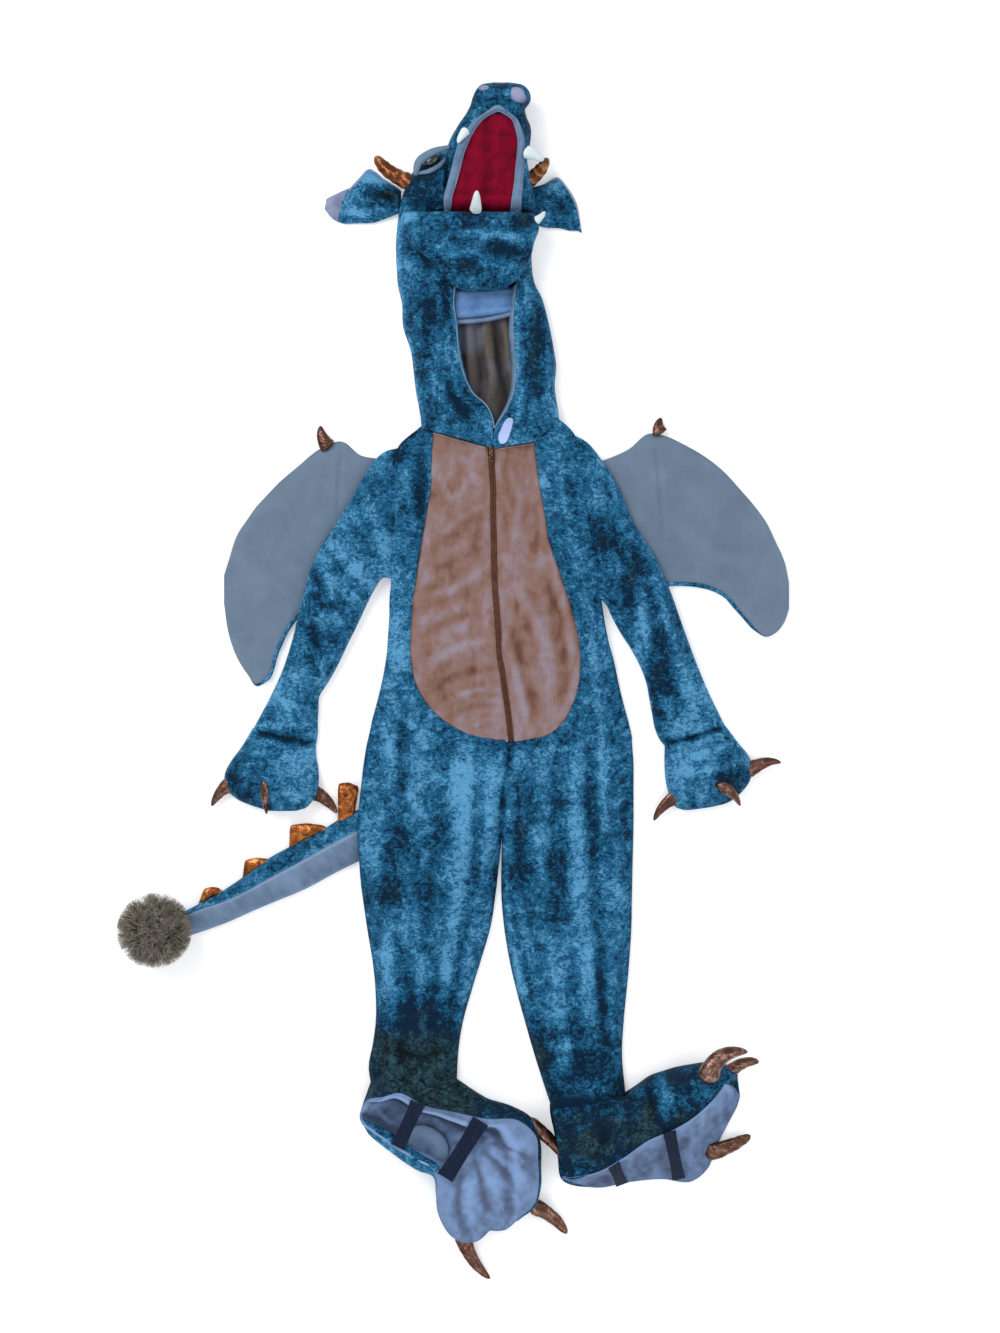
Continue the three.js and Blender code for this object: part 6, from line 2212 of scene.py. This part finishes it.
@dataclass
class Head:
    """The stuffed head on its crown, with the mouth open upwards."""

    wardrobe: Wardrobe
    muzzle_section: tuple = (
        (0.3, 0), (0.06, 0.2), (0, 0.5), (0.03, 0.8), (0.13, 1), (0.5, 1), (0.87, 1), (0.97, 0.8), (1, 0.5),
        (0.94, 0.2), (0.7, 0),
    )
    skull: tuple = (
        (-23, 735, 1, 736, 26), (-39, 723, -5, 723, 42), (-55, 705, -8, 702, 50),
        (-66, 684, -10, 682, 50), (-73, 664, -10, 663, 44), (-77, 644.5, -11, 644.5, 30),
    )
    skull_section: tuple = ((0.12, 0), (0, 0.35), (0.06, 0.7), (0.3, 0.92), (0.6, 1), (0.97, 0.98), (0.97, 0))
    mouth: tuple = (
        (52, 771, 71, 771, 9, 7), (41, 763, 81, 763, 10, 7),
        (30, 749, 86, 749, 11, 8), (22, 734, 89, 734, 12, 9),
        (15, 716, 88, 716, 12, 10), (10, 697, 86, 697, 12, 11),
        (4, 676, 84, 676, 12, 12), (-2, 658, 81, 658, 11, 13),
        (-3, 651, 80, 651, 10, 14), (-5, 641, 78, 641, 8, 16),
    )
    jaw: tuple = (
        (-69, 646, 108, 644, 19), (-72, 635, 117, 635, 26), (-69, 617, 118, 620, 29),
        (-56, 599, 112, 602, 31), (-37, 581, 107, 582, 31), (-21, 566, 100, 567, 29),
        (-10, 552, 90, 554, 24), (3, 541, 77, 543, 16), (23, 536, 56, 536, 7),
    )
    ear_left: tuple = (
        (-74, 683, -74, 652, 14), (-97, 697, -94, 644, 13), (-119, 713, -112, 638, 12),
        (-134, 699, -136, 637, 10), (-148, 685, -155, 637, 9), (-165, 678, -171, 645, 7),
        (-178, 672, -181, 658, 5),
    )
    ear_right: tuple = (
        (98, 685, 104, 640, 12), (126, 692, 127, 631, 12), (144, 701, 148, 630, 11),
        (157, 689, 162, 627, 9), (169, 669, 175, 626, 7), (174, 651, 179, 624, 4),
    )
    jaw_folds: tuple = crease_rows(
        (7, 5, 4, 576, 45, 603, 106, 602), (5, -4, 12, 565, 59, 587, 106, 584),
        (6, -3.4, 4, 614, 23, 622, 64, 620), (6, -4, -45, 609, -29, 584, -10, 565),
        (6, 3.4, -56, 614, -40, 587, -18, 567), (6, 3, -23, 636, -18, 609, -2, 589),
        (6, -2.8, 81, 633, 92, 611, 86, 581),
    )
    jaw_bottom: float = 32.9
    jaw_top: float = 88.0
    mouth_clear: float = 3.0
    eye: tuple = (-29, 712)
    eye_half: tuple = (12.5, 6.6)
    eye_turn: float = 28.0
    mouth_middle: float = 45

    def _stack(self, name: str, rows: tuple, section: tuple, around: int, fill: float) -> None:
        """A stuffed form through rows of width and height, with a rounded section.

        Args:
            name: Name of the piece.
            rows: Columns ax, ay, bx, by and high.
            section: Corners, as shares across and up.
            around: Points round it.
            fill: How full it is stuffed, from 0 to 1.
        """
        data = np.asarray(rows, dtype=float)
        places, first, second = edge_lines(data, 2.4)
        high = spline(np.column_stack([data[:, 1], 0 * data[:, 1], data[:, 4]]), places)[:, 2]
        share, lift = (np.array([point[k] for point in section])[None, :] for k in (0, 1))
        x, y = across(first, second, share[0])
        corners = np.stack([x, y, high[:, None] * lift], axis=-1)
        rings = smooth_across(corners, around, True)
        low = rings[..., 2] < 0.6
        uneven = 1.5 * WRINKLES.at(rings[..., 0], rings[..., 1], 13.0) + 0.9 * WRINKLES.at(
            rings[..., 0] + rings[..., 2], rings[..., 1] + rings[..., 2], 6.0)
        rings[..., 2] = np.where(low, 0.0, rings[..., 2] + uneven * clamp(rings[..., 2] / 20))
        ends = np.arange(len(rings))
        squeeze = np.minimum(1.0, 0.72 + 0.28 * np.sin(np.pi / 2 * np.minimum(1, ends / 6)))[:, None, None]
        middle = rings.mean(axis=1, keepdims=True)
        rings[..., :2] = middle[..., :2] + (rings[..., :2] - middle[..., :2]) * squeeze
        self.wardrobe.pad(loft(name, rings), Finish.VELVET, fill, (name,))

    def _palate(self) -> None:
        """The red plush of the open mouth, hollow along its middle and padded towards the throat."""
        data = np.asarray(self.mouth, dtype=float)
        _, first, second = edge_lines(data, 2.2)
        shares = crowded(44, 0.4)

        def under(x: Points, y: Points) -> Points:
            """Underside of the plush.

            Args:
                x: Places across, in millimetres.
                y: Places along, in millimetres.

            Returns:
                Height in millimetres.
            """
            lumps = 1.1 * WRINKLES.at(x, y, 14.0) + 0.6 * WRINKLES.at(x, y + 60, 6.0)
            trough = -1.2 * np.exp(-((x - self.mouth_middle) / 6.0) ** 2)
            tongue = 1.3 * np.exp(-((np.abs(x - self.mouth_middle) - 16) / 8) ** 2)
            floor = MUZZLE_TABLE.read("high", y) + self.mouth_clear + 1.0
            return floor + np.maximum(-1.6, lumps + trough + tongue)

        low = across_grid(first, second, shares, under)
        piece = sheet_shell("palate", low + (0, 0, LINING), low)
        self.wardrobe.cloth(piece, Finish.MOUTH, "laid", ("muzzle",), ("palate",))

    def _gum(self) -> None:
        """The padded pale band round the mouth, with a thin pale cord on its inner edge."""
        data = np.asarray(self.mouth, dtype=float)
        left = [((ax - 0.5, ay), (ax - wide_l, ay + 1)) for ax, ay, _, _, wide_l, _ in data][::-1]
        right = [((bx + 0.5, by), (bx + wide_r, by + 1)) for _, _, bx, by, _, wide_r in data]
        rows = [(*i, *o) for i, o in left] + [(62, 775, 62, 783)] + [(*i, *o) for i, o in right]
        table = np.asarray(rows, dtype=float)
        _, inner, outer = edge_lines(table, 2.4)
        angle = np.linspace(0, np.pi, 15)
        share = (1 - np.cos(angle)) / 2
        lift = np.sin(angle) ** 0.7
        plan = inner[:, None] * (1 - share[None, :, None]) + outer[:, None] * share[None, :, None]
        base = MUZZLE_TABLE.read("high", inner[:, 1])[:, None] + self.mouth_clear + 1.0
        lumps = 1 + 0.12 * WRINKLES.at(plan[..., 0], plan[..., 1], 9.0)
        over = stack(plan[..., 0], plan[..., 1], base + 8.0 * lift[None, :] * lumps)
        low = stack(plan[:, ::-1, 0][:, 1:-1:3], plan[:, ::-1, 1][:, 1:-1:3], base - 0.2)
        band = loft("gum_band", np.concatenate([over, low], axis=1))
        self.wardrobe.pad(band, Finish.GUM, 0.7, ("gum_band",))
        cord = np.column_stack([inner, base[:, 0] + 3.2])
        self.wardrobe.add(swept("mouth_piping", cord, np.full(len(cord), 1.3), 8), Finish.PIPING)

    def _jaw(self) -> None:
        """The padded lower jaw, with a curved ridge and a dark bulge on the right."""

        def under(x: Points, y: Points) -> Points:
            """Height of the hood below the jaw."""
            return np.maximum(hood_top(x, np.minimum(y, 644.0)) + SEAM, self.jaw_bottom)

        rings = pad_rings(self.jaw, under, 60, 2.2, 1.6)
        top = rings[:, :60]
        calm = clamp(dome(crowded(60, 0.85)) * 1.5)[None, :]
        folds = creased(self.jaw_folds, top[..., 0], top[..., 1])
        rings[:, :60, 2] = np.minimum(top[..., 2] + folds * calm, self.jaw_top)
        self.wardrobe.pad(loft("lower_jaw", rings), Finish.VELVET, 0.7, ("lower_jaw",))

    def _ear(self, name: str, rows: tuple, folds: tuple[Crease, ...]) -> None:
        """A soft ear with a rolled edge.

        Args:
            name: Name of the piece.
            rows: Columns ax, ay, bx, by and high.
            folds: Creases of its surface.
        """
        rings = pad_rings(rows, lambda x, y: 0 * x, 40, 2.0, 1.4)
        top = rings[:, :40]
        calm = clamp(dome(crowded(40, 0.85)) * 1.4)[None, :]
        rings[:, :40, 2] = np.maximum(0.4, top[..., 2] + creased(folds, top[..., 0], top[..., 1]) * calm)
        self.wardrobe.pad(loft(name, rings), Finish.VELVET, 0.4, (name,))

    def _ears(self) -> None:
        """Both ears, with the pale lining that turns out at the left tip and along the right edge."""
        self._ear("ear_left", self.ear_left, crease_rows(
            (5, -6, -70, 665, -98, 676, -123, 693), (5, 4, -78, 685, -101, 696, -118, 704),
            (4, 4.4, -87, 648, -112, 662, -140, 679), (3.4, -3.6, -98, 643, -120, 654, -143, 668),
            (4, 2.6, -115, 640, -137, 651, -154, 665),
        ))
        self._ear("ear_right", self.ear_right, crease_rows(
            (5, -5, 115, 676, 137, 671, 168, 640), (5, 3.4, 120, 687, 143, 687, 157, 673),
            (5, 3.6, 120, 643, 143, 648, 165, 634),
        ))
        tip = pad_rings(((-146, 686, -161, 640, 4), (-155, 682, -167, 641, 6), (-167, 676, -174, 648, 6),
                         (-178, 671, -180, 658, 4)), lambda x, y: 4.5 + 0 * x, 30, 1.6, 0.8)
        self.wardrobe.pad(loft("ear_lining_left", tip), Finish.EYELID, 0.3)
        for name, line, height in (
            ("left", ((-77, 683), (-98, 696), (-119, 710), (-134, 694), (-147, 682)), 8.5),
            ("right", ((112, 682), (129, 690), (144, 699), (157, 686), (168, 668), (176, 629)), 6.5),
        ):
            path = rounded(line, 50)
            z = np.linspace(height, height - 2.5, 50)
            self.wardrobe.add(swept(f"ear_edge_{name}", np.column_stack([path, z]), np.full(50, 1.9), 10),
                              Finish.EYELID)

    def _eye(self) -> None:
        """A dark glossy almond under a padded lid, with a thin lower lid."""
        (x, y), (long, tall) = self.eye, self.eye_half
        turn = math.radians(self.eye_turn)
        rings = []
        for share, z in ((1, 50.4), (1.0, 52.2), (0.9, 54.4), (0.72, 56.0), (0.45, 57.2), (0.18, 57.7)):
            a = turns(40)
            along = long * share * np.sign(np.cos(a)) * np.abs(np.cos(a)) ** 1.15
            over = tall * share * np.sin(a)
            rings.append(np.column_stack([*turned(x, y, along, over, turn), np.full(40, z)]))
        self.wardrobe.add(loft("eye_left", np.array(rings)), Finish.EYE, ("eye_left",))
        for name, line, count, base, lift, thin, thick, sides in (
            ("upper", ((-52, 691), (-47, 708), (-32, 720), (-4, 730)), 40, 53.5, 3.2, 1.6, 4.2, 16),
            ("lower", ((-48, 694), (-32, 697), (-18, 705), (-11, 713)), 30, 52.5, 1.5, 1.2, 2.2, 12),
        ):
            z = base + lift * np.sin(np.linspace(0.2, 3.0, count))
            radii = thin + thick * np.sin(np.linspace(0.15, 3.0, count)) ** 0.7
            lid = swept(f"eye_lid_{name}", np.column_stack([rounded(line, count), z]), radii, sides, 0.8)
            self.wardrobe.pad(lid, Finish.SOCKET, 0.6)

    def _nostrils(self) -> None:
        """Two pale patches on the snout with a dark dip between them."""
        for name, (x, y), (wide, tall), z, turn in (
            ("left", (45, 807), (11.5, 6.2), 57.0, -0.45), ("right", (88, 800), (14.0, 10.0), 60.0, -0.5),
        ):
            rings = []
            for share, rise in ((1, 0.0), (1.0, 1.4), (0.86, 3.0), (0.55, 4.2), (0.2, 4.7)):
                a = turns(36)
                along, over = wide * share * np.cos(a), tall * share * np.sin(a)
                heights = np.full(36, z + rise) - 0.03 * along ** 2 - 0.02 * over ** 2
                rings.append(np.column_stack([*turned(x, y, along, over, turn), heights]))
            self.wardrobe.pad(loft(f"nostril_{name}", np.array(rings)), Finish.EYELID, 0.5)

    def _fangs(self) -> None:
        """The four felt fangs."""
        for fang in (
            Horny("fang_upper_left", (18.8, 745.2, 77.7), (13.2, 739.4, 84), (7, 728, 78), 7, 0.9),
            Horny("fang_upper_right", (99.0, 717.0, 77.4), (112.0, 710.4, 86), (124, 705, 78), 10, 0.8),
            Horny("fang_lower_left", (31, 644, 50.5), (32, 646, 74), (33, 663, 82), 9, 0.9),
        ):
            self.wardrobe.pad(fang.make(24, 24), Finish.TOOTH, 0.7, (fang.name,))
        small = Horny("fang_lower_right", (114, 629, 54), (120, 631, 60), (126, 640, 60), 6, 0.8)
        self.wardrobe.pad(small.make(24, 24), Finish.TOOTH, 0.7)

    def build(self) -> None:
        """Makes the head."""
        self._stack("muzzle", MUZZLE, self.muzzle_section, 96, 0.8)
        self._stack("skull_side", self.skull, self.skull_section, 64, 0.7)
        self._palate()
        self._gum()
        self._jaw()
        self._ears()
        self._eye()
        self._nostrils()
        self._fangs()


# ---------------------------------------------------------------- foot covers

@dataclass
class Feet:
    """Foot covers with their soles and elastic straps: the left lies sole upwards, the right on its side."""

    wardrobe: Wardrobe
    left: tuple = (
        (-127, -593, -124, -587, -116, -562, 24, 0),
        (-129, -600, -114, -577, -88, -537, 44, 3),
        (-127, -610, -97, -573, -49, -532, 52, 15),
        (-119, -627, -75, -567, -16, -543, 54, 30),
        (-98, -646, -40, -584, 12, -561, 54, 40),
        (-76, -663, 1, -593, 46, -582, 54, 42),
        (-48, -681, 47, -603, 81, -593, 52, 36),
        (-28, -689, 89, -606, 109, -610, 48, 18),
        (-24, -712, 114, -629, 119, -641, 44, 9),
        (-22, -735, 117, -663, 120, -674, 38, 6),
        (-15, -755, 118, -698, 120, -706, 32, 4),
        (-4, -772, 112, -727, 112, -733, 26, 3),
        (11, -783, 89, -750, 88, -754, 20, 2),
    )
    right: tuple = (
        (230, -553, 142, -568, 138, -570, 17), (240, -582, 137, -597, 134, -601, 36),
        (245, -576, 141, -626, 140, -634, 50),
        (259, -564, 147, -659, 145, -668, 55), (276, -552, 156, -683, 150, -699, 56),
        (290, -547, 194, -675, 200, -711, 60), (309, -541, 232, -654, 246, -703, 64),
        (329, -537, 265, -630, 291, -699, 66), (347, -534, 303, -614, 333, -702, 64),
        (361, -534, 328, -600, 355, -684, 60), (373, -536, 349, -583, 366, -656, 56),
        (385, -539, 362, -571, 383, -622, 50), (392, -542, 373, -558, 397, -594, 42),
        (396, -551, 387, -563, 400, -583, 28),
    )
    straps: tuple = (
        ("strap_left_heel", (-48, -580), (-76, -642), 21, 57.0, 49.6),
        ("strap_left_arch", (38, -605), (-11, -684), 24, 56.6, 49.5),
        ("strap_right", (295, -616), (314, -698), 18, 70, 8),
        ("strap_right_heel", (219, -662), (235, -705), 18, 62, 9),
    )
    folds: tuple = crease_rows(
        (3.6, -2.6, 26, -657, 37, -690, 45, -739), (3.6, -2.6, 34, -649, 62, -670, 92, -715),
        (3.6, -2.6, 40, -641, 73, -645, 111, -663), (3.6, -2.6, 12, -672, 6, -714, 9, -760),
        (8, 2.2, 20, -683, 23, -720, 28, -763), (8, 2.2, 42, -675, 56, -705, 73, -742),
        (8, 2.2, 51, -655, 81, -673, 109, -698), (5, -3.2, -2, -646, 23, -646, 51, -627),
        (5, 3, -106, -594, -95, -613, -78, -633), (6, 2.8, -59, -585, -18, -599, 34, -616),
    )
    heel: tuple = (-37, -648)
    heel_half: tuple = (32, 25)
    heel_turn: float = -38.0
    step: float = 2.6
    side_folds: tuple = crease_rows(
        (3.4, -3.4, 267, -557, 272, -581, 283, -615), (7, -4.2, 202, -594, 207, -617, 201, -652),
        (7, 4, 224, -580, 232, -609, 237, -638), (7, 4, 172, -608, 174, -637, 169, -669),
        (7, 3.8, 293, -550, 300, -575, 305, -605), (6, -3.8, 321, -544, 324, -565, 324, -589),
        (6, 3.4, 343, -541, 347, -558, 344, -576),
    )

    @staticmethod
    def _lines(rows: tuple, step: float) -> Points:
        """The rows of a cover, smooth and closely spaced.

        Args:
            rows: Rows of the cover.
            step: Distance between rows.

        Returns:
            The close rows.
        """
        data = np.asarray(rows, dtype=float)
        places = knot_places((data[:, :2], data[:, 2:4], data[:, 4:6]), step)
        plan = [spline(data[:, k:k + 2], places) for k in (0, 2, 4)]
        rest = [
            spline(np.column_stack([data[:, :2], data[:, k]]), places)[:, 2:] for k in range(6, data.shape[1])
        ]
        return np.concatenate(plan + rest, axis=1)

    @staticmethod
    def _rim(well: Points) -> Points:
        """Share of the left sole's width that the velvet rim covers, where the hollow is deep."""
        return 0.13 * ease(well, 8, 40)

    @staticmethod
    def _bowl(lines: Points, inset: float) -> Points:
        """Sections of the left cover, from its low edge under the foot and up to the sole's line.

        Args:
            lines: Close rows of the cover.
            inset: Thickness of the cloth for the inside, or 0 for the outside.

        Returns:
            Corners, shape (rows, corners, 3).
        """
        ax, ay, mx, my, bx, by, high, well = (lines[:, k] for k in range(8))
        length = np.hypot(bx - ax, by - ay)
        w = inset / length

        def along(share: Points | float, z: Points | float) -> Points:
            """A point of every section."""
            share = share + 0 * ax
            return np.column_stack([ax + (bx - ax) * share, ay + (by - ay) * share, z + 0 * ax])

        m = np.hypot(mx - ax, my - ay) / length
        rim = Feet._rim(well)
        return np.stack([
            along(0.02 + w + 1.2 * rim, high * 0.87 - inset),
            along(0.01 + w + 0.3 * rim, high * 0.81 - inset),
            along(w, high * 0.45), along(0.1 + w, inset),
            along(0.5, inset), along(0.9 - w, inset), along(1 - w, high * 0.45),
            along((1 + m) / 2 - w, high * 0.8 - inset * 0.6), np.column_stack([mx, my, high - inset]),
        ], axis=1)

    @staticmethod
    def _side(lines: Points, inset: float) -> Points:
        """Sections of the right cover, from the sole's low edge under the foot and over to the sole's line.

        Args:
            lines: Close rows of the cover.
            inset: Thickness of the cloth for the inside, or 0 for the outside.

        Returns:
            Corners, shape (rows, corners, 3).
        """
        ix, iy, mx, my, ox, oy, high = (lines[:, k] for k in range(7))

        def low(share: float, z: Points | float) -> Points:
            """A point of every section below the foot."""
            t = share - (inset / np.hypot(ix - ox, iy - oy) if share > 0.5 else 0.0)
            return np.column_stack([ox + (ix - ox) * t, oy + (iy - oy) * t, z + 0 * ix])

        def top(share: float, z: Points | float) -> Points:
            """A point of every section over the foot."""
            t = share + (inset / np.hypot(mx - ix, my - iy) if share < 0.2 else 0.0)
            return np.column_stack([ix + (mx - ix) * t, iy + (my - iy) * t, z + 0 * ix])

        return np.stack([
            low(0, inset), low(0.5, inset), low(0.93, inset),
            top(0, high * 0.3), top(0.12, high * 0.68 - inset), top(0.4, high * 0.94 - inset),
            top(0.75, high * 1.02 - inset), top(1, high - inset),
        ], axis=1)

    def _cover(self, name: str, outer: Points, inner: Points, folds: tuple[Crease, ...]) -> None:
        """A velvet cover, rounded between its sections and wrinkled over its sides.

        Args:
            name: Name of the piece.
            outer: Points of the upper or outer face.
            inner: Points of the lower or inner face.
            folds: Creases of its surface.
        """
        grids = []
        for sections, floor in ((outer, 0.0), (inner, VELVET)):
            grid = smooth_across(sections, 64)
            x, y, z = grid[..., 0], grid[..., 1], grid[..., 2]
            calm = clamp((z - floor - 3) / 14) * clamp(np.linspace(1.0, 0.0, 64) * 9)[None, :]
            rise = creased(folds, x, y) + 1.3 * wrinkles(x, y)
            grid[..., 2] = np.maximum(floor, z + calm * rise)
            grids.append(grid)
        piece = sheet_shell(name, grids[0], grids[1])
        self.wardrobe.cloth(piece, Finish.VELVET, "folded", (), (name,), 230.0)

    def _sole_left(self, lines: Points) -> None:
        """The left sole, sunk into the hollow that takes the shoe and pleated round the toes.

        Args:
            lines: Close rows of the cover.
        """
        ax, ay, mx, my, _, _, high, well = (lines[:, k][:, None] for k in range(8))
        share = crowded(56, 0.45)[None, :]
        rim = self._rim(well)
        x, y = (a + (m - a) * (rim + (1 - rim) * share) for a, m in ((ax, mx), (ay, my)))
        flap = 0.68 + 0.09 * WRINKLES.at(x, 0 * y, 26.0)
        sink = well * ease(share, 0.02, 0.2) * (1 - ease(share, flap, flap + 0.13))
        sink = sink + 22 * rim * (1 - ease(share, 0.0, 0.06))
        calm = clamp(8 * share) * clamp(8 * (1 - share))
        rise = creased(self.folds, x, y) + 0.9 * WRINKLES.at(x, y, 12.0)
        rise = rise + 0.6 * WRINKLES.at(x, y + 40, 6.0)
        toes = np.linspace(0, 1, len(x))[:, None] ** 6 * 7 * np.abs(np.sin(2 * np.pi * share))
        low = stack(x + 0.2 * toes, y - toes, high * (0.86 + 0.14 * share) + SEAM - sink + calm * rise)
        low[..., 2] = np.maximum(low[..., 2], VELVET + 1.0)
        piece = sheet_shell("sole_left", low + (0, 0, VELVET), low)
        self.wardrobe.cloth(piece, Finish.SOLE, "folded", ("foot_left",), ("sole_left",))

    def _insole(self) -> None:
        """The worn heel pad that shows inside the left cover, in a ring of shadow."""
        (x, y), (long, wide) = self.heel, self.heel_half
        a = turns(64)
        turn = math.radians(self.heel_turn)
        rings = []
        for share, z in ((1, 12.5), (1.02, 20.5), (0.93, 23.4), (0.6, 24.6), (0.3, 25.0), (0.05, 25.2)):
            along, over = long * share * np.cos(a), wide * share * np.sin(a)
            px, py = turned(x, y, along, over, turn)
            rings.append(np.column_stack([px, py, z + 0.8 * WRINKLES.at(px, py, 9.0)]))
        self.wardrobe.pad(loft("heel_pad", np.array(rings)), Finish.GUM, 0.4)

    def _sole_right(self, lines: Points) -> None:
        """The right sole, hollow between its edges.

        Args:
            lines: Close rows of the cover.
        """
        _, _, mx, my, ox, oy, high = (lines[:, k][:, None] for k in range(7))
        share = crowded(44, 0.4)[None, :]
        x, y = mx + (ox - mx) * share, my + (oy - my) * share
        sink = 12 * np.sin(np.pi * share)
        calm = clamp(8 * share) * clamp(8 * (1 - share))
        rise = 1.6 * WRINKLES.at(x, y, 16.0, 1.6) + 0.8 * WRINKLES.at(x, y + 40, 7.0)
        low = stack(x, y, high + (VELVET - high) * share + SEAM - sink + calm * rise)
        low[..., 2] = np.maximum(low[..., 2], VELVET)
        piece = sheet_shell("sole_right", low + (0, 0, VELVET), low)
        self.wardrobe.cloth(piece, Finish.SOLE, "folded", ("foot_right",), ("sole_right",))

    def _strap(self, name: str, start: tuple, end: tuple, width: float, start_z: float, end_z: float,
               nodes: tuple[str, ...]) -> None:
        """A woven strap between two sewn ends, bowed a little.

        Args:
            name: Name of the piece.
            start: Its first end.
            end: Its other end.
            width: Its width.
            start_z: Height of the first end.
            end_z: Height of the other end.
            nodes: Plain solids that it stands for.
        """
        t = np.linspace(0, 1, 36)
        line = np.outer(1 - t, start) + np.outer(t, end)
        z = start_z + (end_z - start_z) * t + 2.4 * np.sin(np.pi * t)
        waist = width / 2 * (1 - 0.12 * np.sin(np.pi * t))
        dx, dy = end[0] - start[0], end[1] - start[1]
        normal = np.array([-dy, dx]) / np.hypot(dx, dy)
        s = np.linspace(1, -1, 13)
        plan = line[:, None] + normal[None, None] * (s[None, :] * waist[:, None])[..., None]
        height = z[:, None] + 0.5 * np.cos(s * 9.0)[None, :] * 0.5
        low = np.concatenate([plan, height[..., None]], axis=-1)
        piece = sheet_shell(name, low + (0, 0, 1.6), low)
        self.wardrobe.cloth(piece, Finish.ELASTIC, "stretched", (), nodes)

    def build(self) -> None:
        """Makes both feet."""
        left, right = self._lines(self.left, self.step), self._lines(self.right, self.step)
        self._cover("foot_left", self._bowl(left, 0.0), self._bowl(left, VELVET), ())
        self._sole_left(left)
        self._insole()
        self._cover("foot_right", self._side(right, 0.0), self._side(right, VELVET), self.side_folds)
        self._sole_right(self._lines(self.right[4:], self.step))
        for name, *strap in self.straps:
            self._strap(name, *strap, () if name == "strap_right_heel" else (name,))


# ---------------------------------------------------------------- room

@dataclass(frozen=True)
class Room:
    """Pale floor, soft lights and the camera straight above."""

    centre: tuple[float, float] = (0.0635, 0.0276)
    distance: float = 2.592
    lens: float = 50.0
    sky: tuple[float, float, float, float] = (0.93, 0.96, 1.0, 1.0)
    daylight: float = 0.62

    def build(self) -> None:
        """Makes the floor, lights and camera."""
        self._floor()
        self._light("softbox_key", (-1.5, 1.5, 2.3), 1.6, 46.0)
        self._light("softbox_fill", (1.9, -0.4, 1.9), 1.8, 15.0)
        self._light("softbox_foot", (0.1, -2.2, 1.8), 1.4, 12.0)
        world = bpy.data.worlds.new("studio")
        world.use_nodes = True
        background = world.node_tree.nodes["Background"]
        background.inputs[0].default_value = self.sky
        background.inputs[1].default_value = self.daylight
        bpy.context.scene.world = world
        bpy.context.scene.view_settings.view_transform = "Standard"
        camera = bpy.data.objects.new("camera", bpy.data.cameras.new("camera"))
        camera.data.lens = self.lens
        camera.location = (*self.centre, self.distance)
        bpy.context.scene.collection.objects.link(camera)
        bpy.context.scene.camera = camera

    def _floor(self) -> None:
        """A wide white table."""
        mesh = bpy.data.meshes.new("table")
        corners = [(x, y, -0.0006) for x, y in ((-4, -4), (4, -4), (4, 4), (-4, 4))]
        mesh.from_pydata(corners, [], [(0, 1, 2, 3)])
        table = bpy.data.objects.new("table", mesh)
        bpy.context.scene.collection.objects.link(table)
        s = Shader("table_white")
        white = s.node("ShaderNodeMix", {"data_type": "RGBA"}, {
            0: s.noise(3.0, 1), 6: (0.94, 0.94, 0.95, 1.0), 7: (0.96, 0.96, 0.96, 1.0),
        }, 2)
        mesh.materials.append(s.dress(
            Base_Color=white, Roughness=0.9, Emission_Color=(1.0, 1.0, 1.0, 1.0), Emission_Strength=0.28,
        ))

    def _light(self, name: str, place: tuple[float, float, float], size: float, power: float) -> None:
        """A square soft light aimed at the middle of the costume.

        Args:
            name: Name of the light.
            place: Where it hangs, in metres.
            size: Its width.
            power: Its power in watts.
        """
        lamp = bpy.data.lights.new(name, "AREA")
        lamp.size, lamp.energy = size, power
        light = bpy.data.objects.new(name, lamp)
        light.location = place
        aim = Vector((*self.centre, 0)) - Vector(place)
        light.rotation_euler = aim.to_track_quat("-Z", "Y").to_euler()
        bpy.context.scene.collection.objects.link(light)


def main() -> None:
    """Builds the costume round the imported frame, sub-assembly by sub-assembly."""
    logging.basicConfig(level=logging.INFO, format="%(message)s")
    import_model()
    Room().build()
    wardrobe = Wardrobe(make_finishes())
    for assembly in (Body, ZipPull, Arms, Wings, Tail, Claws, Hood, Head, Feet):
        assembly(wardrobe).build()
    LOG.info("%d pieces", wardrobe.count)


if __name__ == "__main__":
    main()
